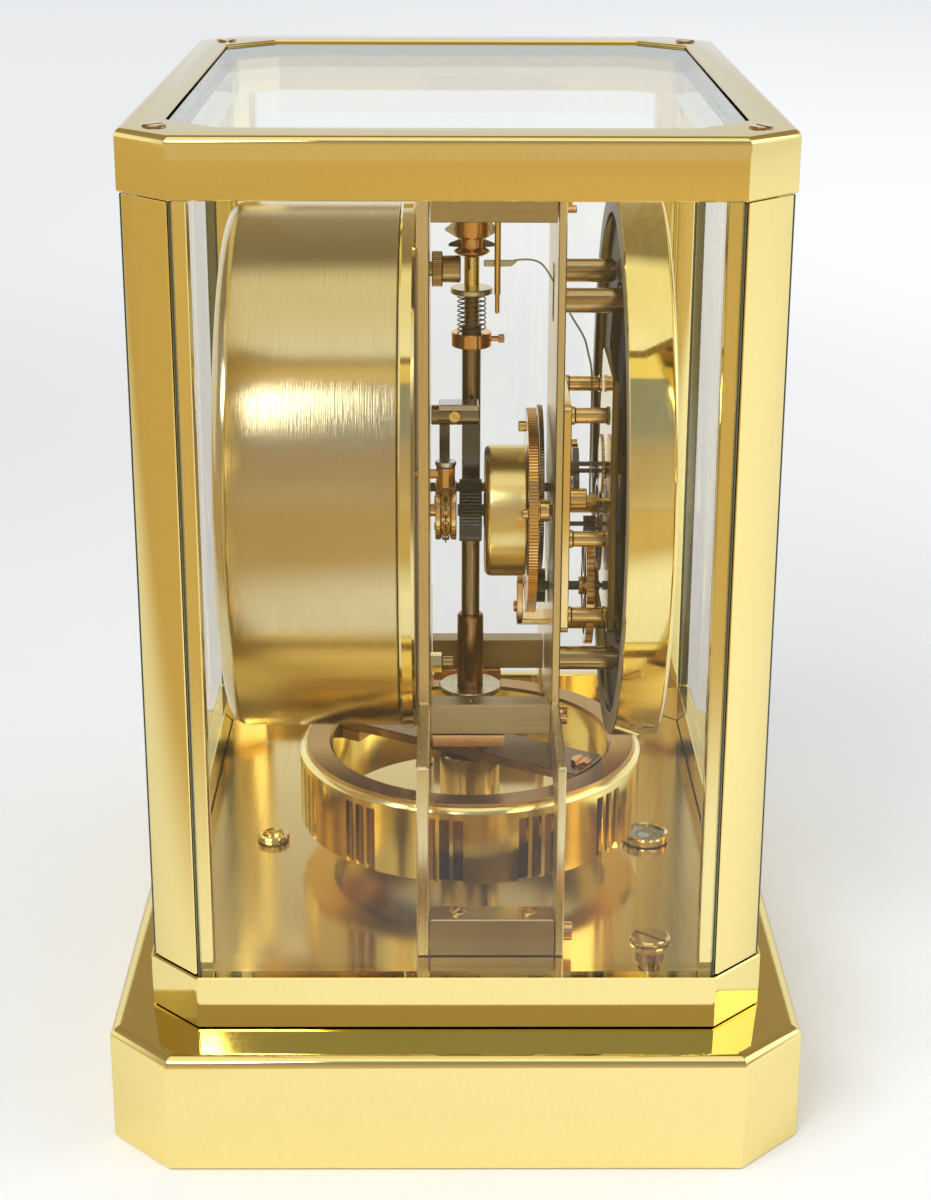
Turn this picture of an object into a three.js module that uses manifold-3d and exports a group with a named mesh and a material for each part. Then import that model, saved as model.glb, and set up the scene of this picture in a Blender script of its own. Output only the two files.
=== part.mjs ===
// Atmospheric clock with a torsion pendulum in a glazed cut-corner case.
// Millimetres, +Z up. The dial faces -Y and the bellows drum lies at +Y.
// The origin is the middle of the plinth's underside.
import * as THREE from "three";
import { mergeVertices } from "three/addons/utils/BufferGeometryUtils.js";
import Module from "manifold-3d";

// Shared fits
const GAP = 0.3;
const OVERRUN = 1;
const ROUND_SIDES = 16;
const SMALL_SIDES = 10;
const WIRE_SIDES = 8;
const LARGE_SIDES = 44;

// Plinth
const PLINTH_LENGTH = 220.4;
const PLINTH_DEPTH = 160;
const PLINTH_HEIGHT = 28.9;
const PLINTH_CORNER = 14.4;
const PLINTH_EDGE = 3;
const PLINTH_WALL = 3;
const EDGE_STEPS = 3;

// Base plate and bottom rim
const LEDGE_SIDE = 13.4;
const LEDGE_FRONT = 8.9;
const RIM_CORNER = 11.8;
const RIM_WALL = 3.6;
const RIM_HEIGHT = 12.9;
const BASE_THICKNESS = 1.8;

// Cage of posts and glass
const CASE_HEIGHT = 232.7;
const CAGE_INSET = 0.7;
const CAGE_CORNER = 11.2;
const GLASS_THICKNESS = 3;
const POST_DEPTH = 9;
const POST_RETURN = 3.5;

// Cap
const CAP_HEIGHT = 13.1;
const CAP_OVERHANG = 0.6;
const CAP_CORNER = 11.8;
const CAP_EDGE = 2.4;
const CAP_BORDER_SIDE = 12.9;
const CAP_BORDER_FRONT = 9.1;
const CAP_OPENING_CORNER = 12.2;
const CAP_LIP = 3;
const TOP_GLASS_SINK = 0.7;
const CAP_SCREW_INSET = 14.2;
const CAP_SCREW_BACKSET = 8.2;
const CAP_SCREW_HEAD_RADIUS = 2.3;
const CAP_SCREW_HEAD_HEIGHT = 0.7;
const CAP_SCREW_RADIUS = 1.3;
const CAP_SCREW_REACH = 6;
const CAP_SCREW_SLOT = 0.6;

// Levelling screws and feet
const LEVELLER_SIDE_INSET = 25.8;
const LEVELLER_FRONT_INSET = 24.7;
const LEVELLER_ROD_RADIUS = 2.4;
const KNOB_RADIUS = 4.1;
const KNOB_HEIGHT = 4;
const KNOB_LIFT = 2.2;
const KNOB_HEAD_RADIUS = 4.9;
const KNOB_HEAD_HEIGHT = 2.4;
const PAD_RADIUS = 8;
const PAD_THICKNESS = 2;
const PAD_LIFT = 0.3;
const PAD_SOCKET_RADIUS = 4.6;
const PAD_SOCKET_HEIGHT = 3;
const REAR_FOOT_INSET = 22.1;
const REAR_FOOT_RADIUS = 9;
const REAR_FOOT_THICKNESS = 3;
const REAR_STEM_RADIUS = 3.6;
const BUSH_RADIUS = 4.4;
const BUSH_HEIGHT = 1.6;
const BUSH_HOLE_RADIUS = 2.6;
const BUSH_HOLE_DEPTH = 2.4;

// Spirit level
const LEVEL_INSET = 19.9;
const LEVEL_RADIUS = 6.2;
const LEVEL_HEIGHT = 2.2;
const LEVEL_RIM = 1;
const LEVEL_SINK = 0.6;

// Movement frame
const FRAME_HALF_WIDTH = 26;
const FRAME_TOP = 215;
const BACK_PLATE_FRONT = 6.5;
const BACK_PLATE_THICKNESS = 3;
const FRONT_PLATE_BACK = -24;
const FRONT_PLATE_THICKNESS = 2;
const LEG_OUTER = 66;
const LEG_WIDTH = 16;
const SHOULDER_TOP = 81;
const ARCH_TOP = 66;
const TOP_BLOCK_BOTTOM = 202.5;
const TOP_BLOCK_HEIGHT = 8;
const MID_BLOCK_BOTTOM = 72.7;
const MID_BLOCK_HEIGHT = 8;
const MID_BLOCK_WIDTH = 5.9;
const FOOT_BLOCK_HEIGHT = 9.7;
const FOOT_BLOCK_WIDTH = 7.4;
const DIAL_PILLAR_PLACES = [[-18, 182.4], [18, 182.4], [-18, 90.4], [22.8, 86.4]];
const DIAL_PILLAR_RADIUS = 3;
const GUARD_ROD_X = -8;
const GUARD_ROD_Y = -10;
const GUARD_ROD_RADIUS = 0.8;
const GUARD_ROD_LENGTH = 20.8;
const GUARD_PIN_RADIUS = 0.5;
const GUARD_PIN_LENGTH = 4.7;
const UPPER_STUD_X = -8.8;
const UPPER_STUD_Z = 188.1;
const UPPER_STUD_RADIUS = 3.3;
const UPPER_STUD_LENGTH = 7.6;
const LOWER_STUD_X = -15;
const LOWER_STUD_Z = 88;
const LOWER_STUD_RADIUS = 2.6;
const LOWER_STUD_LENGTH = 6;

// Bellows
const BELLOWS_Z = 136;
const DRUM_RADIUS = 66;
const DRUM_GLASS_GAP = 11.4;
const DRUM_WALL = 1.6;
const DRUM_EDGE = 4;
const FLANGE_RADIUS = 66.6;
const FLANGE_THICKNESS = 3.6;
const CAPSULE_RADIUS = 60;
const CAPSULE_FRONT_GAP = 5.3;
const CAPSULE_REAR_GAP = 6;
const CAPSULE_FOLD = 5;
const CAPSULE_FOLDS = 3;
const CAPSULE_WALL = 1;
const CAPSULE_SIDES = 20;
const CAPSULE_STEM_RADIUS = 4;
const CAPSULE_STEM_BORE = 2;
const CAPSULE_STEM_INSET = 0.2;
const PUSH_ROD_RADIUS = 1.2;
const PUSH_ROD_RISE = 11.6;
const CHAIN_CAP_RADIUS = 2.3;
const CHAIN_CAP_HEIGHT = 6;
const CHAIN_Y = 2.6;
const CHAIN_RADIUS = 0.55;
const CHAIN_LAY_RADIUS = 7.3;
const CHAIN_STEPS = 8;

// Dial, bezel and hands
const DIAL_Z = 136.4;
const DIAL_BACK = -41.2;
const DIAL_THICKNESS = 1.2;
const DIAL_RADIUS = 66.6;
const POCKET_RADIUS = 45;
const POCKET_DEPTH = 2.2;
const POCKET_THICKNESS = 0.8;
const BEZEL_RADIUS = 69;
const BEZEL_WALL = 2;
const BEZEL_BACK = -38.6;
const BEZEL_DEPTH = 11.5;
const BEZEL_LIP = 4;
const BEZEL_LIP_THICKNESS = 1.2;
const HAND_THICKNESS = 0.6;
const MINUTE_HAND_LENGTH = 55;
const MINUTE_HAND_WIDTH = 3.4;
const HOUR_HAND_LENGTH = 38;
const HOUR_HAND_WIDTH = 4.4;
const HAND_BOSS_RADIUS = 3.4;
const HAND_TIP_SHARE = 0.3;
const MINUTE_HAND_TURN = 60;
const HOUR_HAND_TURN = 305;
const HAND_SPACING = 1.2;
const MOTION_WHEEL_WIDTH = 1;
const MOTION_PINION_WIDTH = 1.2;
const HOUR_WHEEL_WIDTH = 0.9;
const HOUR_PIPE_RADIUS = 2.1;
const HOUR_PIPE_BORE = 1.1;
const HOUR_PIPE_LENGTH = 3.4;

// Wheel train
const TOOTH_TIP_SHARE = 0.35;
const TOOTH_ROOT_SHARE = 1.05;
const GREAT_TEETH = 96;
const SECOND_LEAVES = 12;
const SECOND_TEETH = 80;
const THIRD_LEAVES = 16;
const THIRD_TEETH = 60;
const FOURTH_LEAVES = 8;
const FOURTH_TEETH = 64;
const ESCAPE_LEAVES = 10;
const CENTRE_TEETH = 40;
const CANNON_LEAVES = 10;
const MOTION_TEETH = 30;
const MOTION_LEAVES = 8;
const HOUR_TEETH = 32;
const GREAT_MODULE = 0.5315;
const SECOND_MODULE = 0.5375;
const THIRD_MODULE = 0.51;
const FOURTH_MODULE = 0.375;
const MOTION_MODULE = 0.45;
const THIRD_X = 8;
const THIRD_DROP = 35.6;
const SECOND_LEAN = 69.6;
const GREAT_LEAN = 174.8;
const FOURTH_LEAN = 93.3;
const CENTRE_LEAN = 111;
const ESCAPE_LEAN = 66.6;
const MOTION_LEAN = 135;
const ARBOR_RADIUS = 1.2;
const PIVOT_RADIUS = 0.6;

// Barrel, pulley and ratchet
const PULLEY_BACK = 5.2;
const PULLEY_RADIUS = 7.5;
const PULLEY_WIDTH = 5.3;
const PULLEY_RIM = 1.5;
const PULLEY_GROOVE_RADIUS = 6.4;
const WINDING_ARBOR_RADIUS = 1.5;
const RATCHET_BACK = -0.8;
const RATCHET_WIDTH = 5.6;
const RATCHET_TEETH = 36;
const RATCHET_RADIUS = 7.8;
const RATCHET_TOOTH = 0.5;
const BARREL_BACK = -6.9;
const BARREL_DEPTH = 10.3;
const BARREL_RADIUS = 16.5;
const BARREL_WALL = 1;
const BARREL_EDGE = 1.6;
const BARREL_BORE = 1.8;
const MAINSPRING_INNER = 4;
const MAINSPRING_OUTER = 14.8;
const MAINSPRING_STRIP = 0.6;
const MAINSPRING_TURNS = 5;
const MAINSPRING_STEPS = 12;
const MAINSPRING_INSET = 1;
const GREAT_WIDTH = 2.3;
const GREAT_HUB_RADIUS = 4.5;
const GREAT_HUB_WIDTH = 1.2;

// Second, third and fourth wheels
const SECOND_PINION_BACK = -17.2;
const SECOND_PINION_WIDTH = 2.9;
const SECOND_WHEEL_BACK = -21.3;
const SECOND_WHEEL_WIDTH = 1.2;
const THIRD_PINION_BACK = -20.7;
const THIRD_PINION_WIDTH = 2.7;
const THIRD_WHEEL_BACK = -33.6;
const THIRD_WHEEL_WIDTH = 2;
const FOURTH_PINION_BACK = -33.1;
const FOURTH_PINION_WIDTH = 3;
const FOURTH_WHEEL_BACK = -36.6;
const FOURTH_WHEEL_WIDTH = 0.8;
const COCK_REACH = 8;
const COCK_THICKNESS = 1.6;
const COCK_WIDTH = 8;
const COCK_DROP = 9.6;
const COCK_RISE = 3;

// Module plates in front of the front plate
const MODULE_BACK_THICKNESS = 2;
const MODULE_FRONT_BACK = -38.1;
const MODULE_FRONT_THICKNESS = 1.9;
const MODULE_LEFT = -18;
const MODULE_RIGHT = 26;
const MODULE_TOP_RISE = 19.6;
const MODULE_FRONT_TOP_RISE = 25.6;
const MODULE_FOOT_DROP = 4.2;
const MODULE_PILLAR_INSET = 3;
const MODULE_PILLAR_RADIUS = 2.3;

// Escapement
const ESCAPE_TEETH = 15;
const ESCAPE_RADIUS = 8.2;
const ESCAPE_ROOT_SHARE = 0.76;
const ESCAPE_HOOK_SHARE = 0.3;
const ESCAPE_WHEEL_BACK = -30;
const ESCAPE_WHEEL_WIDTH = 1.5;
const ESCAPE_PINION_BACK = -35.9;
const ESCAPE_PINION_WIDTH = 2;
const ANCHOR_X = -2.4;
const ANCHOR_DROP = 8.8;
const ANCHOR_HUB_RADIUS = 2.9;
const ANCHOR_HUB_BACK = -28.9;
const ANCHOR_HUB_WIDTH = 4.3;
const ANCHOR_NECK_RADIUS = 1.1;
const ANCHOR_NECK_WIDTH = 0.9;
const ANCHOR_COLLAR_RADIUS = 1.8;
const ANCHOR_COLLAR_WIDTH = 1.6;
const ANCHOR_PIVOT_RADIUS = 0.5;
const ANCHOR_ARM_WIDTH = 1.6;
const ANCHOR_ARM_LENGTH = 14;
const ANCHOR_PALLET_GAP = 0.5;
const FORK_WIRE_RADIUS = 0.4;
const FORK_WIRE_Y = -34;
const FORK_WIRE_BENDS = [
  [-34, 162], [-32.6, 168], [-30.2, 172.6], [-27, 178], [-23.4, 184.8], [-20, 188],
];
const FORK_BAR_NEAR = -6.6;
const FORK_BAR_FAR = -14.8;
const FORK_BAR_Z = 188.3;
const FORK_BAR_WIDTH = 1;
const FORK_BAR_HEIGHT = 1.8;
const FORK_SLOT_WIDTH = 8;
const FORK_SLOT_BOTTOM = 173;
const FORK_SLOT_TOP = 188;

// Suspension and pendulum
const PENDULUM_Y = -3.8;
const WIRE_RADIUS = 0.35;
const WIRE_BORE = 0.9;
const WIRE_TOP = 201.5;
const WIRE_BOTTOM = 79;
const SUSPENSION_BOTTOM = 189.9;
const SUSPENSION_FLANGE_RADIUS = 4.9;
const SUSPENSION_FLANGE_HEIGHT = 1.5;
const SUSPENSION_TUBE_RADIUS = 4.2;
const SUSPENSION_DISC_RADIUS = 5.5;
const SUSPENSION_DISC_HEIGHT = 1;
const SUSPENSION_CONE_RADIUS = 6.8;
const SUSPENSION_CONE_RISE = 3.4;
const SUSPENSION_CONE_HEIGHT = 3.2;
const SLEEVE_TOP = 189.6;
const SLEEVE_RADIUS = 2.05;
const SPRING_SEAT_RADIUS = 5.3;
const SPRING_SEAT_TOP = 181.8;
const SPRING_SEAT_HEIGHT = 1.5;
const COLLAR_TOP = 170.6;
const COLLAR_HEIGHT = 3.6;
const COLLAR_RADIUS = 5.2;
const COLLAR_SCREW_REACH = 8.2;
const COLLAR_SCREW_RADIUS = 0.7;
const COLLAR_SCREW_HEAD_RADIUS = 1.3;
const COLLAR_SCREW_HEAD_WIDTH = 1.4;
const STAFF_RADIUS = 2.35;
const STAFF_SLEEVE_TOP = 96;
const STAFF_SLEEVE_RADIUS = 3.4;
const STAFF_DISC_TOP = 76.2;
const STAFF_DISC_HEIGHT = 1.4;
const STAFF_DISC_RADIUS = 8.1;
const STAFF_ROD_RADIUS = 1.6;
const COIL_RADIUS = 3.4;
const COIL_WIRE_RADIUS = 0.27;
const COIL_CURLS = 8;
const COIL_STEPS = 8;
const COIL_SIDES = 5;
const RING_RADIUS = 45;
const RING_INNER = 36.5;
const RING_BOTTOM = 40;
const RING_WALL_HEIGHT = 19;
const RING_BEVEL = 1.2;
const RING_BEVEL_HEIGHT = 1.3;
const RING_STEP = 0.6;
const RING_STEP_HEIGHT = 0.7;
const RING_CHAMFER = 0.7;
const GROOVE_GROUPS = 12;
const GROOVES_IN_GROUP = 3;
const GROOVE_PITCH = 3.5;
const GROOVE_WIDTH = 2.2;
const GROOVE_DEPTH = 1;
const GROOVE_TURN = -8.6;
const PLAIN_WALL_SHARES = [0.35, 0.5, 0.65];
const RING_LUG_DEPTH = 6;
const RING_LUG_WIDTH = 14;
const RING_LUG_HEIGHT = 3;
const BAR_WIDTH = 15;
const BAR_THICKNESS = 2.4;
const BAR_TURN = 59;
const BAR_HUB_RADIUS = 5;
const BAR_HUB_HEIGHT = 3;
const BAR_SCREW_INSET = 3.2;
const BAR_SCREW_RADIUS = 2.6;
const BAR_SCREW_HEIGHT = 1.2;

// Pendulum lock
const COLUMN_RADIUS = 7.9;
const COLUMN_TOP = 57.3;
const COLUMN_STEM_RADIUS = 3;
const COLUMN_STEM_DROP = 12;
const LOCK_HUB_RADIUS = 6;
const LOCK_HUB_HEIGHT = 3;
const LOCK_HUB_DROP = 1;
const LOCK_ARM_LENGTH = 42;
const LOCK_ARM_WIDTH = 7;

// Winding bracket and click
const BRACKET_X = -7;
const BRACKET_Z = 151;
const BRACKET_POST_RADIUS = 2.5;
const BRACKET_REACH = 12;
const BRACKET_PLATE_WIDTH = 6;
const BRACKET_PLATE_LENGTH = 9.8;
const BRACKET_PLATE_THICKNESS = 1.6;
const BRACKET_ARM_WIDTH = 2;
const BRACKET_ARM_LENGTH = 12.2;
const BRACKET_ARM_DEPTH = 2.6;
const CLICK_DEPTH = 4.2;
const CLICK_CLEARANCE = 0.2;

// Levels and centres that follow from the sizes above
const HALF = 0.5;
const QUARTER_TURN = Math.PI / 2;
const rimHalfLength = PLINTH_LENGTH * HALF - LEDGE_SIDE;
const rimHalfDepth = PLINTH_DEPTH * HALF - LEDGE_FRONT;
const levellerX = rimHalfLength - LEVELLER_SIDE_INSET;
const levellerY = LEVELLER_FRONT_INSET - rimHalfDepth;
const levelY = LEVEL_INSET - rimHalfDepth;
const rearFootY = rimHalfDepth - REAR_FOOT_INSET;
const rimBottom = PLINTH_HEIGHT + GAP;
const rimTop = rimBottom + RIM_HEIGHT;
const baseTop = rimBottom + BASE_THICKNESS;
const cageHalfLength = rimHalfLength - CAGE_INSET;
const cageHalfDepth = rimHalfDepth - CAGE_INSET;
const cageBottom = rimTop + GAP;
const capBottom = CASE_HEIGHT - CAP_HEIGHT;
const cageTop = capBottom - GAP;
const capHalfLength = cageHalfLength + CAP_OVERHANG;
const capHalfDepth = cageHalfDepth + CAP_OVERHANG;
const deckBottom = PLINTH_HEIGHT - PLINTH_WALL;
const footBottom = baseTop + GAP;
const backPlateRear = BACK_PLATE_FRONT + BACK_PLATE_THICKNESS;
const frontPlateFront = FRONT_PLATE_BACK - FRONT_PLATE_THICKNESS;
const blockRear = BACK_PLATE_FRONT - GAP;
const blockFront = FRONT_PLATE_BACK + GAP;
const flangeFront = backPlateRear + GAP;
const flangeRear = flangeFront + FLANGE_THICKNESS;
const drumFront = flangeRear + GAP;
const drumRear = cageHalfDepth - GLASS_THICKNESS - DRUM_GLASS_GAP;
const capsuleFront = drumFront + CAPSULE_FRONT_GAP;
const capsuleRear = drumRear - CAPSULE_REAR_GAP;
const moduleBack = frontPlateFront - GAP;
const moduleBackFront = moduleBack - MODULE_BACK_THICKNESS;
const moduleFront = MODULE_FRONT_BACK - MODULE_FRONT_THICKNESS;
const barrelFront = BARREL_BACK - BARREL_DEPTH;
const greatWheelBack = barrelFront - GAP;
const greatWheelFront = greatWheelBack - GREAT_WIDTH;
const ringWallTop = RING_BOTTOM + RING_WALL_HEIGHT;
const ringTop = ringWallTop + RING_BEVEL_HEIGHT + RING_STEP_HEIGHT;
const barTop = ringTop;
const barBottom = barTop - BAR_THICKNESS;
const motionWheelBack = moduleFront - GAP;
const hourWheelBack = motionWheelBack - MOTION_WHEEL_WIDTH - GAP;
const motionStudFront = hourWheelBack - HOUR_WHEEL_WIDTH - GAP - GAP * HALF;
const hourHandFront = hourWheelBack - HOUR_WHEEL_WIDTH - HOUR_PIPE_LENGTH;
const minuteHandFront = hourHandFront - HAND_SPACING - HAND_THICKNESS;

// A point of the wheel train, as x and z
const place = (x, z) => ({ x, z });

// The point at a distance from another, leaning by an angle in degrees from +X towards +Z
function stepFrom(start, distance, lean) {
  const angle = THREE.MathUtils.degToRad(lean);
  return place(start.x + distance * Math.cos(angle), start.z + distance * Math.sin(angle));
}

// Centre distance of two wheels of one module
const meshDistance = (module, teethA, teethB) => module * (teethA + teethB) * HALF;

const dialCentre = place(0, DIAL_Z);
const thirdCentre = place(THIRD_X, DIAL_Z - THIRD_DROP);
const secondCentre = stepFrom(
  thirdCentre, meshDistance(SECOND_MODULE, SECOND_TEETH, THIRD_LEAVES), SECOND_LEAN);
const greatCentre = stepFrom(
  secondCentre, meshDistance(GREAT_MODULE, GREAT_TEETH, SECOND_LEAVES), GREAT_LEAN);
const fourthCentre = stepFrom(
  thirdCentre, meshDistance(THIRD_MODULE, THIRD_TEETH, FOURTH_LEAVES), FOURTH_LEAN);
const centreWheelCentre = stepFrom(
  fourthCentre, meshDistance(FOURTH_MODULE, FOURTH_TEETH, CENTRE_TEETH), CENTRE_LEAN);
const escapeCentre = stepFrom(
  fourthCentre, meshDistance(FOURTH_MODULE, FOURTH_TEETH, ESCAPE_LEAVES), ESCAPE_LEAN);
const motionCentre = stepFrom(
  centreWheelCentre, meshDistance(MOTION_MODULE, CANNON_LEAVES, MOTION_TEETH), MOTION_LEAN);
const anchorCentre = place(ANCHOR_X, DIAL_Z - ANCHOR_DROP);

// Joining and cutting of solids
const wasm = await Module();
wasm.setup();

// A geometry with positions alone and its shared vertices merged
function welded(geometry) {
  const copy = geometry.clone();
  copy.deleteAttribute("normal");
  copy.deleteAttribute("uv");
  return mergeVertices(copy);
}

function toSolid(geometry) {
  const merged = welded(geometry);
  return new wasm.Manifold(new wasm.Mesh({
    numProp: 3,
    vertProperties: new Float32Array(merged.attributes.position.array),
    triVerts: new Uint32Array(merged.index.array),
  }));
}

function toGeometry(solid) {
  const mesh = solid.getMesh();
  const geometry = new THREE.BufferGeometry();
  geometry.setAttribute("position", new THREE.BufferAttribute(mesh.vertProperties, 3));
  geometry.setIndex(new THREE.BufferAttribute(mesh.triVerts, 1));
  return geometry;
}

function join(...geometries) {
  const solids = geometries.map(toSolid);
  return toGeometry(solids.reduce((whole, piece) => whole.add(piece)));
}

function cut(base, ...tools) {
  const solids = tools.map(toSolid);
  return toGeometry(solids.reduce((rest, tool) => rest.subtract(tool), toSolid(base)));
}

// Shapes and bodies
const point = (x, y) => new THREE.Vector2(x, y);

// A rectangle with cut corners, centred on the origin
function cutCornerShape(halfX, halfY, corner) {
  const shape = new THREE.Shape();
  shape.moveTo(halfX, -halfY + corner);
  shape.lineTo(halfX, halfY - corner);
  shape.lineTo(halfX - corner, halfY);
  shape.lineTo(-halfX + corner, halfY);
  shape.lineTo(-halfX, halfY - corner);
  shape.lineTo(-halfX, -halfY + corner);
  shape.lineTo(-halfX + corner, -halfY);
  shape.lineTo(halfX - corner, -halfY);
  return shape;
}

// How much a cut corner shrinks when its sides all move in by one unit
const CORNER_SHRINK = 2 - Math.SQRT2;

// A shape pushed up from a level
function raised(shape, bottom, top) {
  const geometry = new THREE.ExtrudeGeometry(shape, { depth: top - bottom, bevelEnabled: false });
  return geometry.translate(0, 0, bottom);
}

// A shape drawn in x and z, pushed from its rear face towards -Y
function standing(shape, rear, front, centre = place(0, 0)) {
  const geometry = new THREE.ExtrudeGeometry(shape, { depth: rear - front, bevelEnabled: false });
  return geometry.rotateX(QUARTER_TURN).translate(centre.x, rear, centre.z);
}

// A box between two corners
function block(x0, x1, y0, y1, z0, z1) {
  const geometry = new THREE.BoxGeometry(x1 - x0, y1 - y0, z1 - z0);
  return geometry.translate((x0 + x1) * HALF, (y0 + y1) * HALF, (z0 + z1) * HALF);
}

// A cut-corner block whose top edge is rounded, as a stack of shrinking outlines
function roundedBlock(halfX, halfY, corner, bottom, top, edge) {
  const rings = [{ inset: 0, level: bottom }];
  for (let i = 0; i <= EDGE_STEPS; i++) {
    const angle = (i / EDGE_STEPS) * QUARTER_TURN;
    rings.push({
      inset: edge * (1 - Math.cos(angle)),
      level: top - edge + edge * Math.sin(angle),
    });
  }
  const points = rings.map(({ inset, level }) =>
    cutCornerShape(halfX - inset, halfY - inset, corner - inset * CORNER_SHRINK)
      .getPoints().map((p) => new THREE.Vector3(p.x, p.y, level)));
  return stacked(points);
}

// A closed body through a stack of rings with equally many points, turning counter-clockwise
function stacked(rings) {
  const count = rings[0].length;
  const positions = rings.flat().flatMap((p) => [p.x, p.y, p.z]);
  const faces = [];
  for (let r = 0; r + 1 < rings.length; r++) {
    for (let i = 0; i < count; i++) {
      const a = r * count + i;
      const b = r * count + (i + 1) % count;
      faces.push(a, b, b + count, a, b + count, a + count);
    }
  }
  const last = (rings.length - 1) * count;
  for (let i = 1; i + 1 < count; i++) {
    faces.push(0, i + 1, i, last, last + i, last + i + 1);
  }
  const geometry = new THREE.BufferGeometry();
  geometry.setAttribute("position", new THREE.Float32BufferAttribute(positions, 3));
  geometry.setIndex(faces);
  return geometry;
}

// A profile of [radius, height] pairs turned about the vertical line through x, y
function turned(profile, sides, x = 0, y = 0) {
  return turnedProfile(profile, sides).rotateX(QUARTER_TURN).translate(x, y, 0);
}

// A profile of [radius, y] pairs turned about the level line through centre
function turnedLevel(profile, sides, centre) {
  return turnedProfile(profile, sides).translate(centre.x, 0, centre.z);
}

// The turned body about +Y, its profile put in the order that makes the faces point out
function turnedProfile(profile, sides) {
  const closed = profile[0][0] !== 0;
  const points = profile.map(([radius, height]) => point(radius, height));
  if (closed) points.push(points[0].clone());
  const area = THREE.ShapeUtils.area(points);
  if (area < 0) points.reverse();
  return new THREE.LatheGeometry(points, sides);
}

// A solid disc or rod about the vertical
function rod(radius, bottom, top, sides, x = 0, y = 0) {
  return turned([[0, bottom], [radius, bottom], [radius, top], [0, top]], sides, x, y);
}

// A solid disc or rod about a level line, from its rear to its front
function levelRod(radius, rear, front, sides, centre) {
  return turnedLevel([[0, front], [radius, front], [radius, rear], [0, rear]], sides, centre);
}

// Wheels
// A wheel's outline: pointed teeth that reach past the pitch circle by shares of the module
function toothedShape(teeth, module, phase) {
  const pitchRadius = teeth * module * HALF;
  const tip = pitchRadius + module * TOOTH_TIP_SHARE;
  const root = pitchRadius - module * TOOTH_ROOT_SHARE;
  const shape = new THREE.Shape();
  const step = Math.PI / teeth;
  for (let i = 0; i < 2 * teeth; i++) {
    const radius = i % 2 ? root : tip;
    const angle = phase + i * step;
    const corner = [radius * Math.cos(angle), radius * Math.sin(angle)];
    if (i) shape.lineTo(...corner);
    else shape.moveTo(...corner);
  }
  return shape;
}

function boreHole(radius, sides, centre = place(0, 0)) {
  const corners = [];
  for (let i = 0; i < sides; i++) {
    const angle = -(i / sides) * 2 * Math.PI;
    corners.push(point(centre.x + radius * Math.cos(angle), centre.z + radius * Math.sin(angle)));
  }
  return new THREE.Path(corners);
}

function toothedWheel(teeth, module, phase, rear, width, centre, bore = 0) {
  const shape = toothedShape(teeth, module, phase);
  if (bore) shape.holes.push(boreHole(bore, ROUND_SIDES));
  return standing(shape, rear, rear - width, centre);
}

const leanBetween = (from, to) => Math.atan2(to.z - from.z, to.x - from.x);

// The turn of a wheel that sets its teeth between those of a wheel it meshes with
function meshedPhase(teethA, phaseA, centreA, teethB, centreB) {
  const lean = leanBetween(centreA, centreB);
  const shareA = ((lean - phaseA) * teethA) / (2 * Math.PI);
  const shareB = HALF - shareA;
  return lean + Math.PI - (shareB * 2 * Math.PI) / teethB;
}

const thirdPhase = 0;
const thirdPinionPhase = 0;
const secondPhase = meshedPhase(
  THIRD_LEAVES, thirdPinionPhase, thirdCentre, SECOND_TEETH, secondCentre);
const secondPinionPhase = 0;
const greatPhase = meshedPhase(
  SECOND_LEAVES, secondPinionPhase, secondCentre, GREAT_TEETH, greatCentre);
const fourthPinionPhase = meshedPhase(
  THIRD_TEETH, thirdPhase, thirdCentre, FOURTH_LEAVES, fourthCentre);
const fourthPhase = 0;
const centrePhase = meshedPhase(
  FOURTH_TEETH, fourthPhase, fourthCentre, CENTRE_TEETH, centreWheelCentre);
const escapePinionPhase = meshedPhase(
  FOURTH_TEETH, fourthPhase, fourthCentre, ESCAPE_LEAVES, escapeCentre);
const cannonPhase = 0;
const motionPhase = meshedPhase(
  CANNON_LEAVES, cannonPhase, centreWheelCentre, MOTION_TEETH, motionCentre);
const motionPinionPhase = 0;
const hourPhase = meshedPhase(
  MOTION_LEAVES, motionPinionPhase, motionCentre, HOUR_TEETH, centreWheelCentre);

// Round tubes along a route
// A closed tube of few sides through a list of points, its frame carried along without twist
function tubeAlong(route, radius, sides) {
  const rings = [];
  let side = null;
  route.forEach((here, i) => {
    const before = route[Math.max(i - 1, 0)];
    const after = route[Math.min(i + 1, route.length - 1)];
    const forward = after.clone().sub(before).normalize();
    if (!side) {
      const guide = Math.abs(forward.z) > HALF ? new THREE.Vector3(1, 0, 0) : new THREE.Vector3(0, 0, 1);
      side = guide.cross(forward).normalize();
    }
    side.addScaledVector(forward, -side.dot(forward)).normalize();
    const up = forward.clone().cross(side);
    const ring = [];
    for (let k = 0; k < sides; k++) {
      const angle = (k / sides) * 2 * Math.PI;
      ring.push(here.clone()
        .addScaledVector(side, radius * Math.cos(angle))
        .addScaledVector(up, radius * Math.sin(angle)));
    }
    rings.push(ring);
  });
  return stacked(rings);
}

// Materials
const finish = (color, roughness, metalness) =>
  new THREE.MeshStandardMaterial({ color, roughness, metalness });
const polishedGold = () => finish(0xe8c878, 0.12, 1);
const satinBrass = () => finish(0xd4b870, 0.3, 1);
const brushedBrass = () => finish(0xa8925a, 0.38, 1);
const copperBrass = () => finish(0xc08048, 0.3, 1);
const darkBronze = () => finish(0x6b5434, 0.35, 1);
const darkSteel = () => finish(0x3a3a3a, 0.35, 1);
const whiteDial = () => finish(0xece8dc, 0.5, 0);

function clearGlass() {
  const material = finish(0xe8f4f0, 0.02, 0);
  material.transparent = true;
  material.opacity = 0.25;
  return material;
}

const clock = new THREE.Group();

function add(name, geometry, material) {
  const mesh = new THREE.Mesh(geometry, material);
  mesh.name = name;
  clock.add(mesh);
}

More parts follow.
